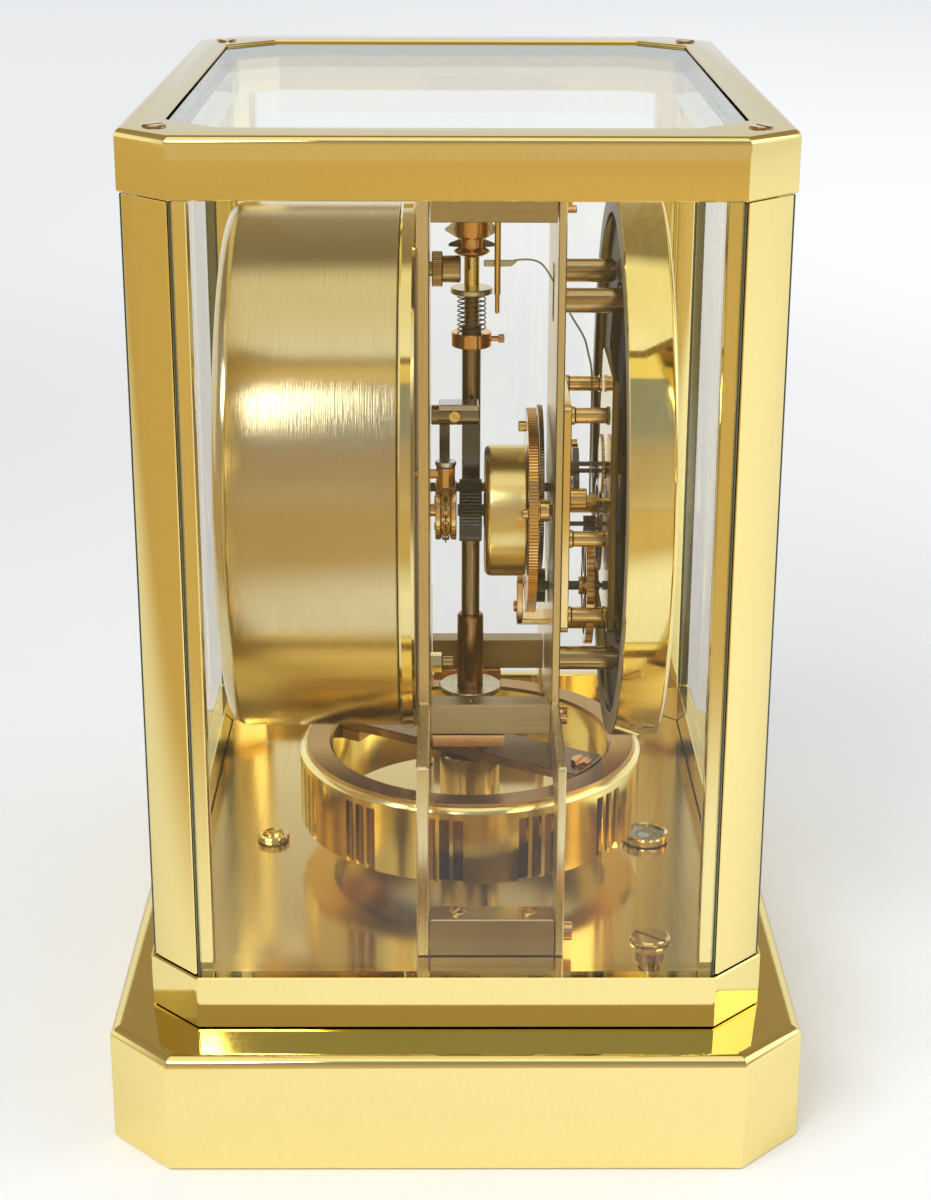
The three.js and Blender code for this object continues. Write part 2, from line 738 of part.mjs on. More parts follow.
// Case
function plinth() {
  const halfX = PLINTH_LENGTH * HALF;
  const halfY = PLINTH_DEPTH * HALF;
  const shell = roundedBlock(halfX, halfY, PLINTH_CORNER, 0, PLINTH_HEIGHT, PLINTH_EDGE);
  const hollow = raised(
    cutCornerShape(halfX - PLINTH_WALL, halfY - PLINTH_WALL, PLINTH_CORNER - PLINTH_WALL * CORNER_SHRINK),
    -OVERRUN, deckBottom);
  return cut(shell, hollow, ...baseHoles(deckBottom - OVERRUN, PLINTH_HEIGHT + OVERRUN));
}

// The holes that the feet, the levelling screws and the lock column pass through
function baseHoles(bottom, top) {
  const rodHole = LEVELLER_ROD_RADIUS + GAP;
  return [
    rod(rodHole, bottom, top, SMALL_SIDES, levellerX, levellerY),
    rod(rodHole, bottom, top, SMALL_SIDES, -levellerX, levellerY),
    rod(REAR_STEM_RADIUS + GAP, bottom, top, ROUND_SIDES, 0, rearFootY),
    rod(COLUMN_STEM_RADIUS + GAP, bottom, top, ROUND_SIDES, 0, PENDULUM_Y),
  ];
}

function basePlate() {
  const inset = RIM_WALL + GAP;
  const plate = raised(
    cutCornerShape(rimHalfLength - inset, rimHalfDepth - inset, RIM_CORNER - inset * CORNER_SHRINK),
    rimBottom, baseTop);
  return cut(plate, ...baseHoles(rimBottom - OVERRUN, baseTop + OVERRUN));
}

function bottomRim() {
  const shape = cutCornerShape(rimHalfLength, rimHalfDepth, RIM_CORNER);
  shape.holes.push(cutCornerShape(
    rimHalfLength - RIM_WALL, rimHalfDepth - RIM_WALL, RIM_CORNER - RIM_WALL * CORNER_SHRINK));
  return raised(shape, rimBottom, rimTop);
}

// A post's section stands in the +X +Y corner, with a return behind each pane
function cornerPost(signX, signY) {
  const seat = GLASS_THICKNESS + GAP;
  const outline = [
    [cageHalfLength - CAGE_CORNER, cageHalfDepth],
    [cageHalfLength - CAGE_CORNER, cageHalfDepth - seat],
    [cageHalfLength - CAGE_CORNER - POST_RETURN, cageHalfDepth - seat],
    [cageHalfLength - CAGE_CORNER - POST_RETURN, cageHalfDepth - POST_DEPTH],
    [cageHalfLength - POST_DEPTH, cageHalfDepth - CAGE_CORNER - POST_RETURN],
    [cageHalfLength - seat, cageHalfDepth - CAGE_CORNER - POST_RETURN],
    [cageHalfLength - seat, cageHalfDepth - CAGE_CORNER],
    [cageHalfLength, cageHalfDepth - CAGE_CORNER],
  ];
  const shape = new THREE.Shape(outline.map(([x, y]) => point(signX * x, signY * y)));
  const hole = rod(CAP_SCREW_RADIUS + GAP, cageTop - CAP_SCREW_REACH, cageTop + OVERRUN, SMALL_SIDES,
    signX * (capHalfLength - CAP_SCREW_INSET), signY * (capHalfDepth - CAP_SCREW_BACKSET));
  return cut(raised(shape, cageBottom, cageTop), hole);
}

function topFrame() {
  const body = roundedBlock(capHalfLength, capHalfDepth, CAP_CORNER, capBottom, CASE_HEIGHT, CAP_EDGE);
  const halfX = capHalfLength - CAP_BORDER_SIDE;
  const halfY = capHalfDepth - CAP_BORDER_FRONT;
  const glassFloor = CASE_HEIGHT - TOP_GLASS_SINK - GLASS_THICKNESS - GAP;
  const pane = raised(cutCornerShape(halfX, halfY, CAP_OPENING_CORNER), glassFloor, CASE_HEIGHT + OVERRUN);
  const through = raised(
    cutCornerShape(halfX - CAP_LIP, halfY - CAP_LIP, CAP_OPENING_CORNER - CAP_LIP * CORNER_SHRINK),
    capBottom - OVERRUN, CASE_HEIGHT);
  const holes = capScrewPlaces().map(([x, y]) =>
    rod(CAP_SCREW_RADIUS + GAP, capBottom - OVERRUN, CASE_HEIGHT + OVERRUN, SMALL_SIDES, x, y));
  return cut(body, pane, through, ...holes);
}

function topGlass() {
  const halfX = capHalfLength - CAP_BORDER_SIDE - GAP;
  const halfY = capHalfDepth - CAP_BORDER_FRONT - GAP;
  const top = CASE_HEIGHT - TOP_GLASS_SINK;
  const corner = CAP_OPENING_CORNER - GAP * CORNER_SHRINK;
  return raised(cutCornerShape(halfX, halfY, corner), top - GLASS_THICKNESS, top);
}

function capScrewPlaces() {
  const x = capHalfLength - CAP_SCREW_INSET;
  const y = capHalfDepth - CAP_SCREW_BACKSET;
  return [[-x, -y], [x, -y], [-x, y], [x, y]];
}

function capScrew(x, y) {
  const under = CASE_HEIGHT + GAP;
  const top = under + CAP_SCREW_HEAD_HEIGHT;
  const body = turned([
    [0, cageTop - CAP_SCREW_REACH + GAP],
    [CAP_SCREW_RADIUS, cageTop - CAP_SCREW_REACH + GAP],
    [CAP_SCREW_RADIUS, under],
    [CAP_SCREW_HEAD_RADIUS, under],
    [CAP_SCREW_HEAD_RADIUS, top],
    [0, top],
  ], SMALL_SIDES, x, y);
  const half = CAP_SCREW_SLOT * HALF;
  const reach = CAP_SCREW_HEAD_RADIUS + OVERRUN;
  const slot = block(x - reach, x + reach, y - half, y + half, top - half, top + OVERRUN);
  return cut(body, slot);
}

function panes() {
  const endX = cageHalfLength - CAGE_CORNER - GAP;
  const endY = cageHalfDepth - CAGE_CORNER - GAP;
  const faceX = cageHalfLength;
  const faceY = cageHalfDepth;
  const innerX = faceX - GLASS_THICKNESS;
  const innerY = faceY - GLASS_THICKNESS;
  const pane = (x0, x1, y0, y1) => block(x0, x1, y0, y1, cageBottom, cageTop);
  add("front_glass", pane(-endX, endX, -faceY, -innerY), clearGlass());
  add("rear_glass", pane(-endX, endX, innerY, faceY), clearGlass());
  add("left_glass", pane(-faceX, -innerX, -endY, endY), clearGlass());
  add("right_glass", pane(innerX, faceX, -endY, endY), clearGlass());
}

add("plinth", plinth(), polishedGold());
add("base_plate", basePlate(), satinBrass());
add("bottom_rim", bottomRim(), polishedGold());
add("corner_post_front_left", cornerPost(-1, -1), polishedGold());
add("corner_post_front_right", cornerPost(1, -1), polishedGold());
add("corner_post_rear_left", cornerPost(-1, 1), polishedGold());
add("corner_post_rear_right", cornerPost(1, 1), polishedGold());
add("top_frame", topFrame(), polishedGold());
add("top_glass", topGlass(), clearGlass());
panes();
const screwNames = ["front_left", "front_right", "rear_left", "rear_right"];
capScrewPlaces().forEach(([x, y], i) => add("cap_screw_" + screwNames[i], capScrew(x, y), copperBrass()));

// Feet and level
function levellingScrew(x) {
  const knobBottom = baseTop + KNOB_LIFT;
  const headBottom = knobBottom + KNOB_HEIGHT;
  const top = headBottom + KNOB_HEAD_HEIGHT;
  const rodBottom = PAD_LIFT + PAD_THICKNESS + GAP;
  const body = turned([
    [0, rodBottom],
    [LEVELLER_ROD_RADIUS, rodBottom],
    [LEVELLER_ROD_RADIUS, knobBottom],
    [KNOB_RADIUS, knobBottom],
    [KNOB_RADIUS, headBottom],
    [KNOB_HEAD_RADIUS, headBottom],
    [KNOB_HEAD_RADIUS, top],
    [0, top],
  ], ROUND_SIDES, x, levellerY);
  const half = CAP_SCREW_SLOT * HALF;
  const reach = KNOB_HEAD_RADIUS + OVERRUN;
  const slot = block(x - reach, x + reach, levellerY - half, levellerY + half,
    top - CAP_SCREW_SLOT, top + OVERRUN);
  return cut(body, slot);
}

function footPad(x) {
  const floor = PAD_LIFT + PAD_THICKNESS;
  const bore = LEVELLER_ROD_RADIUS + GAP;
  return turned([
    [0, PAD_LIFT],
    [PAD_RADIUS, PAD_LIFT],
    [PAD_RADIUS, floor],
    [PAD_SOCKET_RADIUS, floor],
    [PAD_SOCKET_RADIUS, floor + PAD_SOCKET_HEIGHT],
    [bore, floor + PAD_SOCKET_HEIGHT],
    [bore, floor],
    [0, floor],
  ], ROUND_SIDES, x, levellerY);
}

function rearFoot() {
  const bushBottom = baseTop + GAP;
  const bushTop = bushBottom + BUSH_HEIGHT;
  return turned([
    [0, 0],
    [REAR_FOOT_RADIUS, 0],
    [REAR_FOOT_RADIUS, REAR_FOOT_THICKNESS],
    [REAR_STEM_RADIUS, REAR_FOOT_THICKNESS],
    [REAR_STEM_RADIUS, bushBottom],
    [BUSH_RADIUS, bushBottom],
    [BUSH_RADIUS, bushTop],
    [BUSH_HOLE_RADIUS, bushTop],
    [BUSH_HOLE_RADIUS, bushTop - BUSH_HOLE_DEPTH],
    [0, bushTop - BUSH_HOLE_DEPTH],
  ], ROUND_SIDES, 0, rearFootY);
}

function spiritLevel() {
  const bottom = baseTop + GAP;
  const top = bottom + LEVEL_HEIGHT;
  return turned([
    [0, bottom],
    [LEVEL_RADIUS, bottom],
    [LEVEL_RADIUS, top],
    [LEVEL_RADIUS - LEVEL_RIM, top],
    [LEVEL_RADIUS - LEVEL_RIM, top - LEVEL_SINK],
    [0, top - LEVEL_SINK],
  ], ROUND_SIDES, 0, levelY);
}

add("levelling_screw_left", levellingScrew(-levellerX), satinBrass());
add("levelling_screw_right", levellingScrew(levellerX), satinBrass());
add("foot_pad_left", footPad(-levellerX), darkSteel());
add("foot_pad_right", footPad(levellerX), darkSteel());
add("rear_foot", rearFoot(), satinBrass());
add("spirit_level", spiritLevel(), satinBrass());

// Movement frame
// The plates share one outline: a narrow upper part, shoulders and two legs
function frameShape() {
  const legInner = LEG_OUTER - LEG_WIDTH;
  const half = [
    [FRAME_HALF_WIDTH, FRAME_TOP],
    [FRAME_HALF_WIDTH, SHOULDER_TOP],
    [LEG_OUTER, SHOULDER_TOP],
    [LEG_OUTER, footBottom],
    [legInner, footBottom],
    [legInner, ARCH_TOP],
  ];
  const mirrored = half.map(([x, z]) => point(-x, z)).reverse();
  return new THREE.Shape([...half.map(([x, z]) => point(x, z)), ...mirrored]);
}

// Holes with running clearance for arbors, each a centre and a radius
function arborHoles(arbors, rear, front) {
  return arbors.map(([centre, radius]) =>
    levelRod(radius + GAP, rear + OVERRUN, front - OVERRUN, SMALL_SIDES, centre));
}

const chainX = greatCentre.x - CHAIN_LAY_RADIUS;
const pushRodCentre = place(chainX, greatCentre.z + PUSH_ROD_RISE);

function backPlate() {
  const plate = standing(frameShape(), backPlateRear, BACK_PLATE_FRONT);
  const holes = arborHoles(
    [[greatCentre, WINDING_ARBOR_RADIUS], [secondCentre, ARBOR_RADIUS], [pushRodCentre, PUSH_ROD_RADIUS]],
    backPlateRear, BACK_PLATE_FRONT);
  const upperStud = levelRod(UPPER_STUD_RADIUS, BACK_PLATE_FRONT + OVERRUN,
    BACK_PLATE_FRONT - UPPER_STUD_LENGTH, ROUND_SIDES, place(UPPER_STUD_X, UPPER_STUD_Z));
  const lowerStud = levelRod(LOWER_STUD_RADIUS, BACK_PLATE_FRONT + OVERRUN,
    BACK_PLATE_FRONT - LOWER_STUD_LENGTH, ROUND_SIDES, place(LOWER_STUD_X, LOWER_STUD_Z));
  return cut(join(plate, upperStud, lowerStud), ...holes);
}

function frontPlate() {
  const plate = standing(frameShape(), FRONT_PLATE_BACK, frontPlateFront);
  const pillars = DIAL_PILLAR_PLACES.map(([x, z]) =>
    levelRod(DIAL_PILLAR_RADIUS, frontPlateFront + OVERRUN, DIAL_BACK + GAP, ROUND_SIDES, place(x, z)));
  const cockRear = FRONT_PLATE_BACK + COCK_REACH;
  const cockBottom = thirdCentre.z - COCK_DROP;
  const left = thirdCentre.x - COCK_WIDTH * HALF;
  const right = thirdCentre.x + COCK_WIDTH * HALF;
  const foot = block(left, right, FRONT_PLATE_BACK - HALF * FRONT_PLATE_THICKNESS, cockRear,
    cockBottom, cockBottom + COCK_THICKNESS);
  const upright = block(left, right, cockRear - COCK_THICKNESS, cockRear,
    cockBottom, thirdCentre.z + COCK_RISE);
  const holes = arborHoles([[greatCentre, ARBOR_RADIUS], [secondCentre, ARBOR_RADIUS]],
    FRONT_PLATE_BACK, frontPlateFront);
  const thirdHole = levelRod(ARBOR_RADIUS + GAP, FRONT_PLATE_BACK + OVERRUN,
    frontPlateFront - OVERRUN, SMALL_SIDES, thirdCentre);
  const cockHole = levelRod(PIVOT_RADIUS + GAP, cockRear + OVERRUN,
    cockRear - COCK_THICKNESS - OVERRUN, SMALL_SIDES, thirdCentre);
  const slot = block(ANCHOR_X - FORK_SLOT_WIDTH * HALF, ANCHOR_X + FORK_SLOT_WIDTH * HALF,
    frontPlateFront - OVERRUN, FRONT_PLATE_BACK + OVERRUN, FORK_SLOT_BOTTOM, FORK_SLOT_TOP);
  return cut(join(plate, ...pillars, foot, upright), ...holes, thirdHole, cockHole, slot);
}

function topBlock() {
  const body = block(-FRAME_HALF_WIDTH, FRAME_HALF_WIDTH, blockFront, blockRear,
    TOP_BLOCK_BOTTOM, TOP_BLOCK_BOTTOM + TOP_BLOCK_HEIGHT);
  const rodBottom = TOP_BLOCK_BOTTOM - GUARD_ROD_LENGTH;
  const guard = turned([
    [0, rodBottom - GUARD_PIN_LENGTH],
    [GUARD_PIN_RADIUS, rodBottom - GUARD_PIN_LENGTH],
    [GUARD_PIN_RADIUS, rodBottom],
    [GUARD_ROD_RADIUS, rodBottom],
    [GUARD_ROD_RADIUS, TOP_BLOCK_BOTTOM + OVERRUN],
    [0, TOP_BLOCK_BOTTOM + OVERRUN],
  ], SMALL_SIDES, GUARD_ROD_X, GUARD_ROD_Y);
  return join(body, guard);
}

function spacer(side, outer, width, bottom, height) {
  const inner = outer - width;
  const x0 = Math.min(side * outer, side * inner);
  const x1 = Math.max(side * outer, side * inner);
  return block(x0, x1, blockFront, blockRear, bottom, bottom + height);
}

const midBlock = (side) =>
  spacer(side, FRAME_HALF_WIDTH, MID_BLOCK_WIDTH, MID_BLOCK_BOTTOM, MID_BLOCK_HEIGHT);
const footBlock = (side) =>
  spacer(side, LEG_OUTER, FOOT_BLOCK_WIDTH, footBottom, FOOT_BLOCK_HEIGHT);

add("back_plate", backPlate(), satinBrass());
add("front_plate", frontPlate(), satinBrass());
add("top_block", topBlock(), brushedBrass());
add("mid_block_left", midBlock(-1), brushedBrass());
add("mid_block_right", midBlock(1), brushedBrass());
add("foot_block_left", footBlock(-1), brushedBrass());
add("foot_block_right", footBlock(1), brushedBrass());

// Bellows
const bellowsCentre = place(0, BELLOWS_Z);

// A quarter round from the side to the end of a turned profile, as [radius, y] pairs
function roundedRim(radius, end, edge, towards) {
  const rim = [];
  for (let i = 0; i <= EDGE_STEPS; i++) {
    const angle = (i / EDGE_STEPS) * QUARTER_TURN;
    rim.push([
      radius - edge + edge * Math.cos(angle),
      end - towards * edge + towards * edge * Math.sin(angle),
    ]);
  }
  return rim;
}

function bellowsDrum() {
  const inner = DRUM_RADIUS - DRUM_WALL;
  const stemHole = CAPSULE_STEM_RADIUS + GAP;
  return turnedLevel([
    [DRUM_RADIUS, drumFront],
    ...roundedRim(DRUM_RADIUS, drumRear, DRUM_EDGE, 1),
    [stemHole, drumRear],
    [stemHole, drumRear - DRUM_WALL],
    ...roundedRim(inner, drumRear - DRUM_WALL, DRUM_EDGE - DRUM_WALL, 1).reverse(),
    [inner, drumFront],
  ], LARGE_SIDES, bellowsCentre);
}

function bellowsFlange() {
  const disc = levelRod(FLANGE_RADIUS, flangeRear, flangeFront, LARGE_SIDES, bellowsCentre);
  return cut(disc, ...arborHoles([[pushRodCentre, PUSH_ROD_RADIUS]], flangeRear, flangeFront));
}

// A side that runs in and out in folds from front to rear, as [radius, y] pairs
function foldedSide(radius, front, rear) {
  const steps = 2 * CAPSULE_FOLDS;
  const side = [];
  for (let i = 0; i <= steps; i++) {
    side.push([radius - (i % 2 ? CAPSULE_FOLD : 0), front + ((rear - front) * i) / steps]);
  }
  return side;
}

// The hollow capsule is guided by its filling stem at the rear and its push rod at the front
function bellowsCapsule() {
  const innerFront = capsuleFront + CAPSULE_WALL;
  const innerRear = capsuleRear - CAPSULE_WALL;
  const stemRear = drumRear - CAPSULE_STEM_INSET;
  const body = turnedLevel([
    [CAPSULE_STEM_BORE, stemRear],
    [CAPSULE_STEM_BORE, innerRear],
    ...foldedSide(CAPSULE_RADIUS - CAPSULE_WALL, innerFront, innerRear).reverse(),
    [0, innerFront],
    [0, capsuleFront],
    ...foldedSide(CAPSULE_RADIUS, capsuleFront, capsuleRear),
    [CAPSULE_STEM_RADIUS, capsuleRear],
    [CAPSULE_STEM_RADIUS, stemRear],
  ], CAPSULE_SIDES, bellowsCentre);
  const rodRear = capsuleFront + CAPSULE_WALL * HALF;
  const pushRod = levelRod(PUSH_ROD_RADIUS, rodRear, CHAIN_Y, SMALL_SIDES, pushRodCentre);
  const capBottomLevel = pushRodCentre.z - CHAIN_CAP_HEIGHT * HALF;
  const chainCap = rod(CHAIN_CAP_RADIUS, capBottomLevel, capBottomLevel + CHAIN_CAP_HEIGHT,
    SMALL_SIDES, chainX, CHAIN_Y);
  return join(body, pushRod, chainCap);
}

// The chain drops from under its cap and lies round the pulley's groove for a quarter turn
function chainRoute() {
  const top = pushRodCentre.z - CHAIN_CAP_HEIGHT * HALF - GAP;
  const route = [new THREE.Vector3(chainX, CHAIN_Y, top)];
  for (let i = 0; i <= CHAIN_STEPS; i++) {
    const angle = Math.PI + (i / CHAIN_STEPS) * QUARTER_TURN;
    route.push(new THREE.Vector3(
      greatCentre.x + CHAIN_LAY_RADIUS * Math.cos(angle), CHAIN_Y,
      greatCentre.z + CHAIN_LAY_RADIUS * Math.sin(angle)));
  }
  return route;
}

add("bellows_drum", bellowsDrum(), brushedBrass());
add("bellows_flange", bellowsFlange(), polishedGold());
add("bellows_capsule", bellowsCapsule(), copperBrass());
add("chain", tubeAlong(chainRoute(), CHAIN_RADIUS, WIRE_SIDES), satinBrass());

// Winding side of the barrel
function windingPulley() {
  const front = PULLEY_BACK - PULLEY_WIDTH;
  return turnedLevel([
    [0, front],
    [PULLEY_RADIUS, front],
    [PULLEY_RADIUS, front + PULLEY_RIM],
    [PULLEY_GROOVE_RADIUS, front + PULLEY_RIM],
    [PULLEY_GROOVE_RADIUS, PULLEY_BACK - PULLEY_RIM],
    [PULLEY_RADIUS, PULLEY_BACK - PULLEY_RIM],
    [PULLEY_RADIUS, PULLEY_BACK],
    [WINDING_ARBOR_RADIUS, PULLEY_BACK],
    [WINDING_ARBOR_RADIUS, backPlateRear - GAP],
    [0, backPlateRear - GAP],
  ], ROUND_SIDES, greatCentre);
}

// Saw-shaped teeth, each rising slowly and falling at once
function ratchetShape() {
  const shape = new THREE.Shape();
  const step = (2 * Math.PI) / RATCHET_TEETH;
  for (let i = 0; i < RATCHET_TEETH; i++) {
    const angle = i * step;
    const root = RATCHET_RADIUS - RATCHET_TOOTH;
    const start = [root * Math.cos(angle), root * Math.sin(angle)];
    if (i) shape.lineTo(...start);
    else shape.moveTo(...start);
    shape.lineTo(
      RATCHET_RADIUS * Math.cos(angle + step * HALF), RATCHET_RADIUS * Math.sin(angle + step * HALF));
  }
  return shape;
}

// The ratchet and the arbor that runs through the barrel into the front plate
function ratchetWheel() {
  const front = RATCHET_BACK - RATCHET_WIDTH;
  const wheel = standing(ratchetShape(), RATCHET_BACK, front, greatCentre);
  const arborRear = PULLEY_BACK - PULLEY_WIDTH - GAP;
  const arbor = turnedLevel([
    [0, arborRear],
    [WINDING_ARBOR_RADIUS, arborRear],
    [WINDING_ARBOR_RADIUS, FRONT_PLATE_BACK + GAP],
    [ARBOR_RADIUS, FRONT_PLATE_BACK + GAP],
    [ARBOR_RADIUS, frontPlateFront],
    [0, frontPlateFront],
  ], SMALL_SIDES, greatCentre);
  return join(wheel, arbor);
}

function barrel() {
  const inner = BARREL_RADIUS - BARREL_WALL;
  const floor = BARREL_BACK - BARREL_WALL;
  return turnedLevel([
    [BARREL_BORE, BARREL_BACK],
    ...roundedRim(BARREL_RADIUS, BARREL_BACK, BARREL_EDGE, 1).reverse(),
    [BARREL_RADIUS, barrelFront],
    [inner, barrelFront],
    [inner, floor],
    [BARREL_BORE, floor],
  ], LARGE_SIDES * HALF, greatCentre);
}

// A flat strip wound from the arbor's side to the barrel's wall
function mainspring() {
  const count = MAINSPRING_TURNS * MAINSPRING_STEPS;
  const outer = [];
  const inner = [];
  for (let i = 0; i <= count; i++) {
    const share = i / count;
    const angle = share * MAINSPRING_TURNS * 2 * Math.PI;
    const radius = MAINSPRING_INNER + (MAINSPRING_OUTER - MAINSPRING_INNER) * share;
    outer.push(point(radius * Math.cos(angle), radius * Math.sin(angle)));
    inner.push(point(
      (radius - MAINSPRING_STRIP) * Math.cos(angle), (radius - MAINSPRING_STRIP) * Math.sin(angle)));
  }
  const shape = new THREE.Shape([...outer, ...inner.reverse()]);
  const rear = BARREL_BACK - BARREL_WALL - MAINSPRING_INSET;
  return standing(shape, rear, barrelFront + MAINSPRING_INSET, greatCentre);
}

function greatWheel() {
  const wheel = toothedWheel(
    GREAT_TEETH, GREAT_MODULE, greatPhase, greatWheelBack, GREAT_WIDTH, greatCentre, BARREL_BORE);
  const hub = turnedLevel([
    [BARREL_BORE, greatWheelFront + OVERRUN],
    [GREAT_HUB_RADIUS, greatWheelFront + OVERRUN],
    [GREAT_HUB_RADIUS, greatWheelFront - GREAT_HUB_WIDTH],
    [BARREL_BORE, greatWheelFront - GREAT_HUB_WIDTH],
  ], ROUND_SIDES, greatCentre);
  return join(wheel, hub);
}

function windingBracket() {
  const rear = BACK_PLATE_FRONT - GAP;
  const front = rear - BRACKET_REACH;
  const post = levelRod(BRACKET_POST_RADIUS, rear, front, ROUND_SIDES, place(BRACKET_X, BRACKET_Z));
  const plateBottom = BRACKET_Z + BRACKET_POST_RADIUS * HALF;
  const half = BRACKET_PLATE_WIDTH * HALF;
  const plateTop = BRACKET_Z + BRACKET_POST_RADIUS + BRACKET_PLATE_THICKNESS * HALF;
  const plateFront = front + GAP;
  const plate = block(BRACKET_X - half, BRACKET_X + half, plateFront, plateFront + BRACKET_PLATE_LENGTH,
    plateBottom, plateTop);
  const armHalf = BRACKET_ARM_WIDTH * HALF;
  const armRear = rear - BRACKET_ARM_WIDTH;
  const armBottom = BRACKET_Z - BRACKET_ARM_LENGTH;
  const arm = block(BRACKET_X - armHalf, BRACKET_X + armHalf, armRear - BRACKET_ARM_DEPTH, armRear,
    armBottom, BRACKET_Z);
  const clickBottom = greatCentre.z + RATCHET_RADIUS + CLICK_CLEARANCE;
  const click = block(BRACKET_X - armHalf, BRACKET_X + armHalf, front, front + CLICK_DEPTH,
    clickBottom, BRACKET_Z);
  return join(post, plate, arm, click);
}

add("winding_pulley", windingPulley(), copperBrass());
add("ratchet_wheel", ratchetWheel(), darkSteel());
add("winding_bracket", windingBracket(), darkBronze());
add("barrel", barrel(), brushedBrass());
add("mainspring", mainspring(), darkSteel());
add("great_wheel", greatWheel(), copperBrass());

// Wheels on their arbors
function secondWheel() {
  const pinion = toothedWheel(SECOND_LEAVES, GREAT_MODULE, secondPinionPhase, SECOND_PINION_BACK,
    SECOND_PINION_WIDTH, secondCentre);
  const wheel = toothedWheel(SECOND_TEETH, SECOND_MODULE, secondPhase, SECOND_WHEEL_BACK,
    SECOND_WHEEL_WIDTH, secondCentre);
  const arbor = levelRod(ARBOR_RADIUS, backPlateRear - GAP, frontPlateFront, SMALL_SIDES, secondCentre);
  return join(pinion, wheel, arbor);
}

function thirdWheel() {
  const pinion = toothedWheel(THIRD_LEAVES, SECOND_MODULE, thirdPinionPhase, THIRD_PINION_BACK,
    THIRD_PINION_WIDTH, thirdCentre);
  const wheel = toothedWheel(THIRD_TEETH, THIRD_MODULE, thirdPhase, THIRD_WHEEL_BACK,
    THIRD_WHEEL_WIDTH, thirdCentre);
  const arbor = turnedLevel([
    [0, FRONT_PLATE_BACK + COCK_REACH],
    [PIVOT_RADIUS, FRONT_PLATE_BACK + COCK_REACH],
    [PIVOT_RADIUS, THIRD_PINION_BACK + GAP],
    [ARBOR_RADIUS, THIRD_PINION_BACK + GAP],
    [ARBOR_RADIUS, MODULE_FRONT_BACK + GAP],
    [PIVOT_RADIUS, MODULE_FRONT_BACK + GAP],
    [PIVOT_RADIUS, moduleFront],
    [0, moduleFront],
  ], SMALL_SIDES, thirdCentre);
  return join(pinion, wheel, arbor);
}

function fourthWheel() {
  const pinion = toothedWheel(FOURTH_LEAVES, THIRD_MODULE, fourthPinionPhase, FOURTH_PINION_BACK,
    FOURTH_PINION_WIDTH, fourthCentre);
  const wheel = toothedWheel(FOURTH_TEETH, FOURTH_MODULE, fourthPhase, FOURTH_WHEEL_BACK,
    FOURTH_WHEEL_WIDTH, fourthCentre);
  const arbor = levelRod(PIVOT_RADIUS, moduleBack, moduleFront, SMALL_SIDES, fourthCentre);
  return join(pinion, wheel, arbor);
}

// The escape wheel's teeth hook forward, and each ends in a point
function escapeShape() {
  const shape = new THREE.Shape();
  const step = (2 * Math.PI) / ESCAPE_TEETH;
  const root = ESCAPE_RADIUS * ESCAPE_ROOT_SHARE;
  for (let i = 0; i < ESCAPE_TEETH; i++) {
    const angle = i * step;
    const start = [root * Math.cos(angle), root * Math.sin(angle)];
    if (i) shape.lineTo(...start);
    else shape.moveTo(...start);
    const tip = angle + step * ESCAPE_HOOK_SHARE;
    shape.lineTo(ESCAPE_RADIUS * Math.cos(tip), ESCAPE_RADIUS * Math.sin(tip));
    const back = angle + 2 * step * ESCAPE_HOOK_SHARE;
    shape.lineTo(root * Math.cos(back), root * Math.sin(back));
  }
  return shape;
}

function escapeWheel() {
  const front = ESCAPE_WHEEL_BACK - ESCAPE_WHEEL_WIDTH;
  const wheel = standing(escapeShape(), ESCAPE_WHEEL_BACK, front, escapeCentre);
  const pinion = toothedWheel(ESCAPE_LEAVES, FOURTH_MODULE, escapePinionPhase, ESCAPE_PINION_BACK,
    ESCAPE_PINION_WIDTH, escapeCentre);
  const arbor = levelRod(PIVOT_RADIUS, moduleBack, moduleFront, SMALL_SIDES, escapeCentre);
  return join(wheel, pinion, arbor);
}

// Module plates
function moduleShape(top, holes) {
  const bottom = thirdCentre.z - MODULE_FOOT_DROP;
  const narrow = MODULE_PILLAR_INSET * 2;
  const shape = new THREE.Shape([
    point(MODULE_LEFT, bottom),
    point(thirdCentre.x + narrow, bottom),
    point(MODULE_RIGHT, fourthCentre.z - narrow),
    point(MODULE_RIGHT, DIAL_Z + narrow),
    point(MODULE_RIGHT - narrow, top),
    point(MODULE_LEFT, top),
  ]);
  for (const [centre, radius] of holes) shape.holes.push(boreHole(radius + GAP, SMALL_SIDES, centre));
  return shape;
}

function modulePillars() {
  const left = MODULE_LEFT + MODULE_PILLAR_INSET;
  const right = MODULE_RIGHT - MODULE_PILLAR_INSET;
  const top = DIAL_Z + MODULE_TOP_RISE - MODULE_PILLAR_INSET;
  return [
    place(left, top),
    place(right - 2 * MODULE_PILLAR_INSET, top),
    place(left, fourthCentre.z + MODULE_PILLAR_INSET),
    place(right, fourthCentre.z),
    place(left, thirdCentre.z),
  ];
}

function moduleRearPlate() {
  const shape = moduleShape(DIAL_Z + MODULE_TOP_RISE, [
    [centreWheelCentre, PIVOT_RADIUS],
    [escapeCentre, PIVOT_RADIUS],
    [fourthCentre, PIVOT_RADIUS],
    [anchorCentre, PIVOT_RADIUS],
    [thirdCentre, ARBOR_RADIUS],
  ]);
  const plate = standing(shape, moduleBack, moduleBackFront);
  const pillars = modulePillars().map((centre) =>
    levelRod(MODULE_PILLAR_RADIUS, moduleBackFront + OVERRUN, MODULE_FRONT_BACK + GAP, SMALL_SIDES, centre));
  return join(plate, ...pillars);
}

